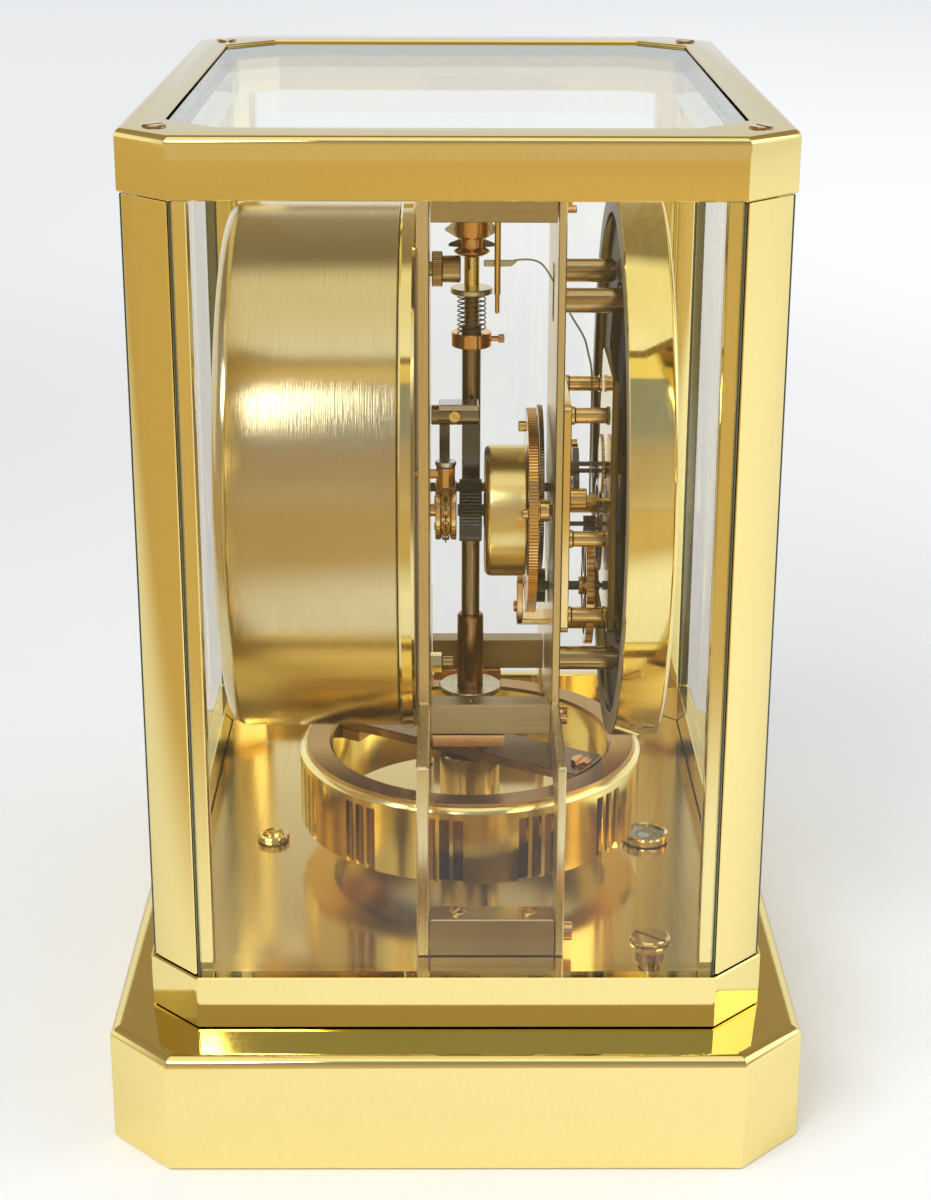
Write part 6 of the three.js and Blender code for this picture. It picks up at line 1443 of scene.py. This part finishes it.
class CLOCK_OT_train(bpy.types.Operator):
    """Second, third, fourth and escape wheels, module plates and anchor."""

    bl_idname = "clock.train"
    bl_label = "Wheel train"

    def execute(self, context):
        self.second()
        self.third()
        self.fourth()
        self.escape()
        self.module()
        self.anchor()
        return {"FINISHED"}

    def second(self):
        """Dark wheel with fine teeth, its pinion and a long arbor."""
        centre = on_axis(SECOND)
        pinion = wheel(SECOND_PINION, 0, -17.2, -20.1, SECOND, 1.1)
        phase = meshed_phase(THIRD_PINION, THIRD, SECOND_GEAR, SECOND)
        body = wheel(SECOND_GEAR, phase, -21.3, -22.5, SECOND, 1.1, 5, 2.2, 4.2)
        collet = rod(2.6, -20.1, -21.35, centre, "Y", 32)
        arbor = turned([(0.7, 9.2), (1.2, 8.0), (1.2, -24.5), (0.9, -26)], centre, "Y", 24)
        piece("second_mobile", [
            ("dark bronze", [body]), ("dark steel", [pinion, arbor]), ("wheel brass", [collet])],
            "second_body", ["second_wheel"])

    def third(self):
        """Brass wheel of 60 teeth in the module, with its pinion behind the front plate."""
        centre = on_axis(THIRD)
        pinion = wheel(THIRD_PINION, 0, -20.7, -23.4, THIRD, 1.1)
        body = wheel(THIRD_GEAR, 0, -33.6, -35.6, THIRD, 1.1, 5, 1.9, 3.6)
        collet = rod(2.4, -32.2, -33.65, centre, "Y", 32)
        arbor = turned([(0.6, -16), (0.6, -20.4), (1.2, -20.4), (1.2, -37.8), (0.6, -37.8),
                        (0.6, -40)], centre, "Y", 24)
        piece("third_mobile", [
            ("wheel brass", [body, collet]), ("dark steel", [pinion, arbor])],
            "third_body", ["third_wheel"])

    def fourth(self):
        """Thin dark wheel of 64 teeth with its pinion of 8 leaves."""
        centre = on_axis(FOURTH)
        phase = meshed_phase(THIRD_GEAR, THIRD, FOURTH_PINION, FOURTH)
        pinion = wheel(FOURTH_PINION, phase, -33.1, -36.1, FOURTH, THIN_BORE)
        body = wheel(FOURTH_GEAR, 0, *FOURTH_LEVELS, FOURTH, THIN_BORE, 4, 1.3, 2.6)
        collet = rod(1.7, -35.9, -36.65, centre, "Y", 28)
        arbor = rod(0.6, -26.4, -39.9, centre, "Y", 20, 0.2)
        piece("fourth_mobile", [
            ("dark bronze", [body]), ("wheel brass", [collet]), ("dark steel", [pinion, arbor])],
            "fourth_body", ["fourth_wheel"])

    def escape(self):
        """Escape wheel: 15 teeth that hook forward, with its pinion of 10 leaves."""
        centre = on_axis(ESCAPE)
        count, tip, root = 15, ESCAPE_TIP, 6.2
        step = TAU / count
        angle = np.arange(count)[:, None] * step + step * np.array([0, 0.3, 0.36, 0.6])
        radius = np.array([root, tip, tip * 0.985, root])
        outline = np.stack([radius * np.cos(angle), radius * np.sin(angle)], axis=-1).reshape(-1, 2)
        holes = [circle(THIN_BORE, 16), *windows(4, 1.9, 5.2, 1.0, 0.2, 6)]
        body = plate(outline, holes, *ESCAPE_LEVELS, 0.06, centre, "Y")
        collet = rod(1.5, -29.2, -30.05, centre, "Y", 24)
        phase = meshed_phase(FOURTH_GEAR, FOURTH, ESCAPE_PINION, ESCAPE)
        pinion = wheel(ESCAPE_PINION, phase, -35.9, -37.9, ESCAPE, THIN_BORE)
        arbor = rod(0.6, -26.4, -39.9, centre, "Y", 20, 0.2)
        piece("escape_mobile", [
            ("wheel brass", [body, collet]), ("dark steel", [pinion, arbor])],
            "escape_body", ["escape_wheel"])

    def module_outline(self, top):
        """Both module plates: upright on the left, cut off towards the third wheel."""
        corners = [[-18, 96.6], [14, 96.6], [26, 112.1], [26, 142.4], [20, top], [-18, top]]
        return rounded(corners, 2.0, 4)

    def module(self):
        """Rear and front plates of the train module, their posts and screws, and a stud."""
        holes = [circle(0.9, 16) + c for c in (CENTRE, ESCAPE, FOURTH, ANCHOR)]
        rear_holes = [*holes, circle(1.5, 16) + THIRD]
        rear = plate(self.module_outline(156), rear_holes, *MODULE_REAR, 0.2)
        posts, screws = [], []
        for x, z in ((-15, 153), (17, 153), (-15, 121.1), (23, 118.1), (-15, 100.8)):
            centre = (x, 0, z)
            posts.append(turned([(2.3, -28.2), (2.3, -29.0), (1.95, -29.4), (1.95, -36.8),
                                 (2.3, -37.1), (2.3, -37.8)], centre, "Y", 32))
            screws += slotted_head(centre, "Y", 1.6, -39.98, -40.8, 0.5 + x)
        piece("module_back", [("module gold", [rear]), ("wheel brass", posts)], "case",
              ["module_rear_plate"])
        front_holes = [*holes, circle(0.9, 16) + THIRD]
        front = plate(self.module_outline(162), front_holes, *MODULE_FRONT, 0.2)
        stud = rod(0.6, -39.5, -42.9, on_axis(MOTION), "Y", 20, 0.1)
        piece("module_front", [
            ("module gold", [front]), ("copper brass", screws), ("dark steel", [stud])],
            "case", ["module_front_plate"])

    def anchor(self):
        """Anchor hub with two pallet arms, its long wire and the flat bar at the staff.

        Each arm leaves the line to the escape wheel by asin(reach to the tips / distance).
        """
        centre = on_axis(ANCHOR)
        hub = turned([(0.6, -26.35), (0.6, -28.9), (2.7, -28.9), (2.9, -29.1), (2.9, -33.0),
                      (2.7, -33.2), (1.1, -33.2), (1.1, -34.1), (1.8, -34.1), (1.8, -35.7),
                      (0.5, -35.7), (0.5, -39.9)], centre, "Y", 32)
        lean = math.atan2(ESCAPE[1] - ANCHOR[1], ESCAPE[0] - ANCHOR[0])
        distance = math.hypot(ESCAPE[0] - ANCHOR[0], ESCAPE[1] - ANCHOR[1])
        clearance, half = 0.5, 0.8
        spread = math.asin((ESCAPE_TIP + clearance + half) / distance)
        outline = rounded(rectangle(0, 14, -0.75, 0.75), 0.25, 2)
        levels = edged(*ESCAPE_LEVELS, 0.12)
        arms = [slab(swung(outline, lean + side * spread), levels, centre, "Y")
                for side in (-1, 1)]
        bends = [(-34, 127.6), (-34, 145), (-33.9, 160), (-32.8, 166), (-31.6, 170),
                 (-28.4, 175.3), (-24.4, 182.8), (-22.6, 186), (-20.8, 188.2), (-18.4, 189.1),
                 (-15.3, 189.1), (-12.5, 188.5)]
        route = smooth_route([(ANCHOR[0], y, z) for y, z in bends], 6)
        wire = tube(route, 0.24, (1, 0, 0), 10)
        outline = [[-6.7, 187.5], [-6.7, 189.1], [-14.8, 189.1], [-14.8, 188.6], [-13.4, 187.5]]
        bar = slab(rounded(outline, [0.3, 0.3, 0.2, 0.3, 1.2], 5), edged(-2.9, -1.9, 0.12),
                   (0, 0, 0), "X")
        piece("anchor_fork", [
            ("wheel brass", [hub]), ("bright steel", [wire, bar]), ("dark steel", arms)],
            "anchor_body", ["anchor"])


class CLOCK_OT_dial(bpy.types.Operator):
    """Dial with its marks, bezel, hands and motion work."""

    bl_idname = "clock.dial"
    bl_label = "Dial"

    def execute(self, context):
        centre = on_axis(DIAL)
        self.dial(centre)
        self.bezel(centre)
        self.hands()
        return {"FINISHED"}

    def dial(self, centre):
        """Ring and raised middle, each a white front, with batons and dots; the ring's back is
        painted shade in dark brown and the middle's back is near black.
        """
        # Painted shade: the ring's back is dark brown for the shade behind the dial; the middle's
        # back is near black.
        back, face, wall, middle_back, middle_face = (
            turned(profile, centre, "Y", 128, True) for profile in (
                rectangle(44.6, 66.3, -41.2, -41.8),
                [(45.4, -41.8), (66.5, -41.8), (66.6, -41.9), (66.5, -42.4), (45.4, -42.4)],
                [(45.0, -41.2), (45.8, -41.2), (45.8, -44.0), (45.6, -44.2), (45.0, -44.2)],
                rectangle(2.4, 45.1, -43.4, -43.8),
                rectangle(2.4, 45.1, -43.8, -44.2)))
        batons, dots = [], []
        for hour in range(12):
            start, width = (50.0, 1.5) if hour % 3 else (48.5, 2.2)
            corners = swung(rectangle(start, 60.5, -width / 2, width / 2),
                            math.pi / 2 - hour * TAU / 12)
            batons.append(slab(corners, [(0, -42.35), (0, -42.9), (0.3, -43.1)], centre, "Y"))
        for minute in range(60):
            place = round_axis(centre, 63.5, minute * TAU / 60)
            dots.append(rod(0.4, -42.38, -42.46, place, "Y", 10, 0.02))
        piece("dial_face", [
            ("dial back", [back]), ("dial white", [face, middle_face]),
            ("polished edge", [wall, *batons]), ("dial dark", [middle_back]),
            ("black ink", dots)], "case", ["dial_plate"])

    def bezel(self, centre):
        """Polished ring round the dial: rolled front edge, a lip behind and its back, painted dark
        brown as painted shade.
        """
        radius, roll, front = 69.0, 1.2, -48.9
        profile = [(63.2, -38.85), (68.8, -38.85), (radius, -39.05), (radius, front)]
        profile += [(67.8 + roll * math.cos(a), front - roll * math.sin(a))
                    for a in np.linspace(0.2, math.pi / 2, 6)]
        profile += [(65.6, -50.0), (65.0, -49.4), (66.9, -48.9), (67.0, -39.9), (63.2, -39.8)]
        # Painted shade: the bezel's back face is dark brown paint for the shade behind the dial.
        back = turned([(63.2, -38.82), (63.4, -38.6), (68.5, -38.6), (68.75, -38.82)],
                      centre, "Y", 192, True)
        piece("dial_bezel", [("turned gold", [turned(profile, centre, "Y", 192, True)]),
                             ("bezel back", [back])],
              "case", ["bezel"])

    def hand(self, reach, width, turn, rear, front):
        """Tapered hand, turned clockwise from twelve; its outline shrinks towards its front."""
        half = width / 2
        corners = np.array([[-0.3 * half, reach], [-half, 3.4], [-half, 0], [half, 0], [half, 3.4],
                            [0.3 * half, reach]])
        levels = [(0, rear), (0, rear + 0.55 * (front - rear)), (0.22, front)]
        return slab(swung(corners, -math.radians(turn)), levels, on_axis(CENTRE), "Y")

    def hands(self):
        """Hour and minute hands with the wheels behind them, and the motion wheel."""
        centre = on_axis(CENTRE)
        motion_phase = meshed_phase(CANNON, CENTRE, MOTION_GEAR, MOTION)
        hour_phase = meshed_phase(MOTION_PINION, MOTION, HOUR_GEAR, CENTRE)
        centre_phase = meshed_phase(FOURTH_GEAR, FOURTH, CENTRE_GEAR, CENTRE)
        hour_wheel = wheel(HOUR_GEAR, hour_phase, -41.6, -42.5, CENTRE, 1.2)
        pipe = tube_ring(2.1, 1.1, -42.4, -45.9, centre, "Y", 32, 0.1)
        hour = self.hand(38, 4.4, 305, -45.3, -45.9)
        boss = tube_ring(3.4, 1.1, -45.25, -45.95, centre, "Y", 40, 0.15)
        piece("hour_pointer", [
            ("wheel brass", [hour_wheel, pipe]), ("polished edge", [hour, boss])],
            "hour_body", ["hour_hand"])
        centre_wheel = wheel(CENTRE_GEAR, centre_phase, *FOURTH_LEVELS, CENTRE, THIN_BORE)
        cannon = wheel(CANNON, 0, *CANNON_LEVELS, CENTRE, THIN_BORE)
        arbor = rod(0.6, -26.4, -48.3, centre, "Y", 20, 0.2)
        minute = self.hand(55, 3.4, 60, -47.1, -47.7)
        knob = turned([(3.4, -47.05), (3.4, -47.6), (3.1, -47.8), (1.2, -48.1)], centre, "Y", 40)
        piece("minute_pointer", [
            ("wheel brass", [centre_wheel]), ("dark steel", [cannon, arbor]),
            ("polished edge", [minute, knob])], "minute_body", ["minute_hand"])
        motion = wheel(MOTION_GEAR, motion_phase, *CANNON_LEVELS, MOTION, 0.9)
        pinion = wheel(MOTION_PINION, 0, -41.25, -42.5, MOTION, 0.9)
        piece("motion_mobile", [("wheel brass", [motion]), ("dark steel", [pinion])],
              "motion_body", ["motion_wheel"])


class CLOCK_OT_pendulum(bpy.types.Operator):
    """Suspension, staff, spring, grooved ring, bar and lock."""

    bl_idname = "clock.pendulum"
    bl_label = "Pendulum"

    def execute(self, context):
        sizes = context.scene.clock_pendulum
        self.centre = (0, PENDULUM_Y, 0)
        self.suspension()
        self.staff()
        self.spring(sizes.spring_curls, sizes.spring_wire / MM)
        self.ring(sizes.groove_groups, sizes.groove_depth / MM)
        self.bar()
        self.lock()
        dress("torsion_wire", "dark steel")
        return {"FINISHED"}

    def turned_part(self, profile, segments=48, closed=False):
        """Turned body round the pendulum's own upright axis."""
        return turned(profile, self.centre, "Z", segments, closed)

    def dished(self, profile):
        """Grey washer behind the bush: a turned body whose side towards -X is cut off flat."""
        unit = circle(1.0, 72)
        rings = []
        for radius, level in profile:
            outline = radius * unit
            outline[:, 0] = np.maximum(outline[:, 0], 0.8)
            rings.append(placed(outline, level, self.centre, "Z"))
        return stack(rings)

    def suspension(self):
        """Polished copper bush, stepped, with its foot flange and the grey washers behind."""
        bush = self.turned_part([
            (0.9, 189.9), (3.3, 189.9), (4.4, 190.6), (4.5, 190.8), (4.4, 191.1), (3.0, 191.8),
            (2.9, 192.0), (2.9, 194.2), (3.1, 194.4), (3.9, 194.5), (4.4, 194.8), (4.4, 202.0),
            (4.2, 202.2), (0.9, 202.2)], 64, True)
        lower = self.dished([(3.6, 191.6), (5.6, 191.8), (5.8, 192.1), (5.6, 192.6), (3.2, 193.6)])
        upper = self.dished([(3.2, 193.6), (6.4, 195.6), (6.75, 196.0), (6.6, 196.3)])
        crown = self.dished([(6.6, 196.25), (4.4, 198.0), (4.2, 198.6), (6.2, 199.8)])
        piece("suspension", [
            ("copper brass", [bush]), ("dark steel", [lower]),
            ("bright steel", [upper, crown])], "case", ["suspension_bush"])

    def staff(self):
        """Long tube: top, spring seat, thread, sleeve, clamp collar, foot, disc and pin."""
        top = self.turned_part([(0.9, 189.6), (1.8, 189.6), (1.9, 189.5), (1.9, 181.7),
                                (0.9, 181.7)], 40, True)
        seat = self.turned_part([(1.0, 180.3), (5.0, 180.3), (5.25, 180.55), (5.25, 181.5),
                                 (5.0, 181.8), (1.0, 181.8)], 64, True)
        level = np.arange(172.2, 180.35, 0.25)
        thread = [(1.98 if i % 2 else 1.72, z) for i, z in enumerate(level)]
        screw = self.turned_part([(0.9, 172.1), *thread, (0.9, 180.35)], 32, True)
        sleeve = self.turned_part(rectangle(0.9, 2.45, 170.5, 172.2), 40, True)
        collar = self.turned_part([(2.2, 167.0), (4.8, 167.0), (5.0, 167.2), (5.0, 170.3),
                                   (4.8, 170.6), (2.2, 170.6)], 64, True)
        body = self.turned_part([(2.1, 96), (2.35, 96.0), (2.35, 167.0), (2.1, 167.0)], 48, True)
        foot = self.turned_part([(1.6, 76.1), (3.2, 76.1), (3.4, 76.4), (3.4, 95.5), (3.0, 96.0),
                                 (1.6, 96.1)], 48, True)
        disc = self.turned_part([(1.5, 74.8), (7.9, 74.8), (8.1, 75.0), (8.1, 76.0), (7.9, 76.2),
                                 (1.5, 76.2)], 64, True)
        pin = self.turned_part([(1.6, 64.0), (1.6, 74.9)], 28)
        grip_place = (0, 0, 168.8)
        shank = rod(0.7, -8.6, -10.8, grip_place, "Y", 20, 0.05)
        head = slab(gear_outline(18, 1.1, 0.98, 0, 0.4, 0.12), edged(-10.5, -12.0, 0.12),
                    grip_place, "Y")
        piece("staff_tube", [
            ("copper brass", [collar, shank, head]), ("plated gold", [top]),
            ("golden bronze", [screw]), ("dark steel", [sleeve]),
            ("dark bronze", [body]), ("foot bronze", [foot]), ("pale brass", [disc, seat]),
            ("wheel brass", [pin])], "pendulum", ["pendulum_staff"])

    def spring(self, curls, wire):
        """Helix between the clamp collar and the seat, its ends laid flat."""
        radius, bottom, top, flat = 3.5, 171.0, 180.2, 0.03
        share = np.linspace(0, 1, curls * 28 + 1)
        rise = np.clip((share - flat) / (1 - 2 * flat), 0, 1)
        level = bottom + wire + (top - bottom - 2 * wire) * rise
        angle = share * curls * TAU
        route = np.stack(
            [radius * np.cos(angle), PENDULUM_Y + radius * np.sin(angle), level], axis=-1)
        piece("coil_spring", [("dark steel", [tube(route, wire, (0, 0, 1), 8)])], "pendulum",
              ["staff_spring"], 60)

    def ring(self, groups, depth):
        """Ring wall whose radius drops by the groove depth inside each of the upright grooves.

        It has a rounded crown, a turned cover, dark amber strips in the grooves that are painted
        shade, and two lugs inside.
        """
        radius, inner, bottom, top = 45.0, 36.5, 40.0, 59.0
        pitch, half = 3.5 / radius, 1.15 / radius
        middle = math.radians(-8.6) + np.arange(groups)[:, None, None] * TAU / groups
        place = middle + (np.arange(3)[:, None] - 1) * pitch
        soft = 0.1 / radius
        offset = np.array([-half - soft, -half + soft, 0, half - soft, half + soft])
        angle = (place + offset).reshape(groups, -1)
        drop = np.tile([0, depth, depth, depth, 0], (groups, 3))
        plain = np.linspace(pitch + 1.6 * half, TAU / groups - pitch - 1.6 * half, 12)
        angle = np.concatenate([angle, middle[:, :, 0] + plain], axis=1).ravel()
        drop = np.concatenate([drop, np.zeros((groups, 12))], axis=1).ravel()
        unit = np.stack([np.cos(angle), np.sin(angle)], axis=-1)

        def band(level, base, grooved):
            """Points round the ring at a level, with or without the grooves."""
            size = base - drop * grooved
            return placed(unit * size[:, None], level, self.centre, "Z")

        wall = stack([band(bottom, inner, 0), band(bottom, radius - 0.4, 1),
                      band(bottom + 0.4, radius, 1), band(top - 1.7, radius, 1),
                      band(top - 1.6, radius, 0), band(top, radius, 0), band(top, inner, 0)], True)
        crown = turned([(inner, top - 0.1), (radius - 0.75, top - 0.1), (radius, top + 0.05),
                        (radius - 0.1, top + 0.3), (radius - 1.2, top + 1.3),
                        (radius - 1.8, top + 1.3), (inner, top + 1.3)], self.centre, "Z", 192, True)
        cover = turned([(inner, top + 1.2), (radius - 1.8, top + 1.2), (radius - 1.8, top + 1.9),
                        (radius - 1.9, top + 2.0), (inner + 0.7, top + 2.0),
                        (inner, top + 1.3)], self.centre, "Z", 192, True)
        # Painted shade: dark amber strips laid in the grooves stand for the shade inside them.
        strip = rectangle(radius - depth - 0.4, radius - depth + 0.12, -1.04, 1.04)
        groove_shade_strips = [slab(swung(strip, at), [(0, bottom + 0.5), (0, top - 1.8)], self.centre, "Z")
                  for at in place.ravel()]
        lugs = []
        for side in (-1, 1):
            low, high = sorted((side * (inner + 1), side * (inner - 6)))
            outline = swung(rectangle(low, high, -7, 7), BAR_TURN)
            lugs.append(slab(outline, edged(55.3, 58.3, 0.2), self.centre, "Z"))
        piece("balance_ring", [
            ("ring gold", [wall, crown]), ("ring top", [cover, *lugs]), ("groove amber", groove_shade_strips)],
              "pendulum", ["pendulum_ring"])

    def bar(self):
        """Flat bar across the ring, its ends bowed, with its hub and two slotted screws."""
        bow = np.linspace(-7.5, 7.5, 9)
        end = np.stack([np.sqrt(36.2 ** 2 - bow ** 2), bow], axis=-1)
        outline = swung(np.concatenate([end, -end]), BAR_TURN)
        beam = slab(outline, edged(58.6, 61.0, 0.2), self.centre, "Z")
        hub = rod(5, 60.9, 63.7, self.centre, "Z", 40, 0.3)
        screws = []
        for side in (-1, 1):
            reach = side * 33.3
            place = (reach * math.cos(BAR_TURN), PENDULUM_Y + reach * math.sin(BAR_TURN), 0)
            screws += slotted_head(place, "Z", 2.6, 60.95, 62.2, 0.5 * side)
        piece("balance_bar", [("bar bronze", [beam]), ("wheel brass", [hub]),
                              ("copper brass", screws)],
              "pendulum", ["pendulum_bar"])

    def lock(self):
        """Column that rises to the ring's bar, and its lever under the plinth."""
        column = self.turned_part([(3, 17.2), (3, 31.35), (7.6, 31.35), (7.9, 31.7), (7.9, 56.8),
                                   (7.5, 57.3)], 64)
        piece("lock_post", [("column brass", [column])], "column_body",
              ["lock_column"])
        dress("lock_lever", "satin plate")


class CLOCK_PT_pieces(bpy.types.Panel):
    """Lists the builders and the sizes and colours that they use."""

    bl_idname = "CLOCK_PT_pieces"
    bl_label = "Clock"
    bl_space_type = "VIEW_3D"
    bl_region_type = "UI"
    bl_category = "Clock"

    def draw(self, context):
        """A button for each builder, then a box for each group of settings."""
        column = self.layout.column(align=True)
        for builder in BUILDERS:
            column.operator(builder.bl_idname)
        for group in GROUPS:
            settings = getattr(context.scene, group)
            box = self.layout.box()
            for name in settings.__annotations__:
                box.prop(settings, name)


BUILDERS = (
    CLOCK_OT_stage,
    CLOCK_OT_case,
    CLOCK_OT_feet,
    CLOCK_OT_movement,
    CLOCK_OT_bellows,
    CLOCK_OT_winding,
    CLOCK_OT_train,
    CLOCK_OT_dial,
    CLOCK_OT_pendulum,
)
GROUPS = {
    "clock_case": ClockCaseSizes,
    "clock_pendulum": ClockPendulumSizes,
    "clock_colours": ClockColours,
    "clock_stage": ClockStageSettings,
}


def register():
    """Registers the classes and hangs each group of sizes or colours on the scene."""
    for group in (*GROUPS.values(), *BUILDERS, CLOCK_PT_pieces):
        bpy.utils.register_class(group)
    for name, group in GROUPS.items():
        setattr(bpy.types.Scene, name, PointerProperty(type=group))


def unregister():
    """Takes the groups off the scene and unregisters the classes."""
    for name in GROUPS:
        delattr(bpy.types.Scene, name)
    for group in reversed((*GROUPS.values(), *BUILDERS, CLOCK_PT_pieces)):
        bpy.utils.unregister_class(group)


def main():
    """Builds the stage and every piece."""
    register()
    for builder in BUILDERS:
        family, action = builder.bl_idname.split(".")
        getattr(getattr(bpy.ops, family), action)()


if __name__ == "__main__":
    main()
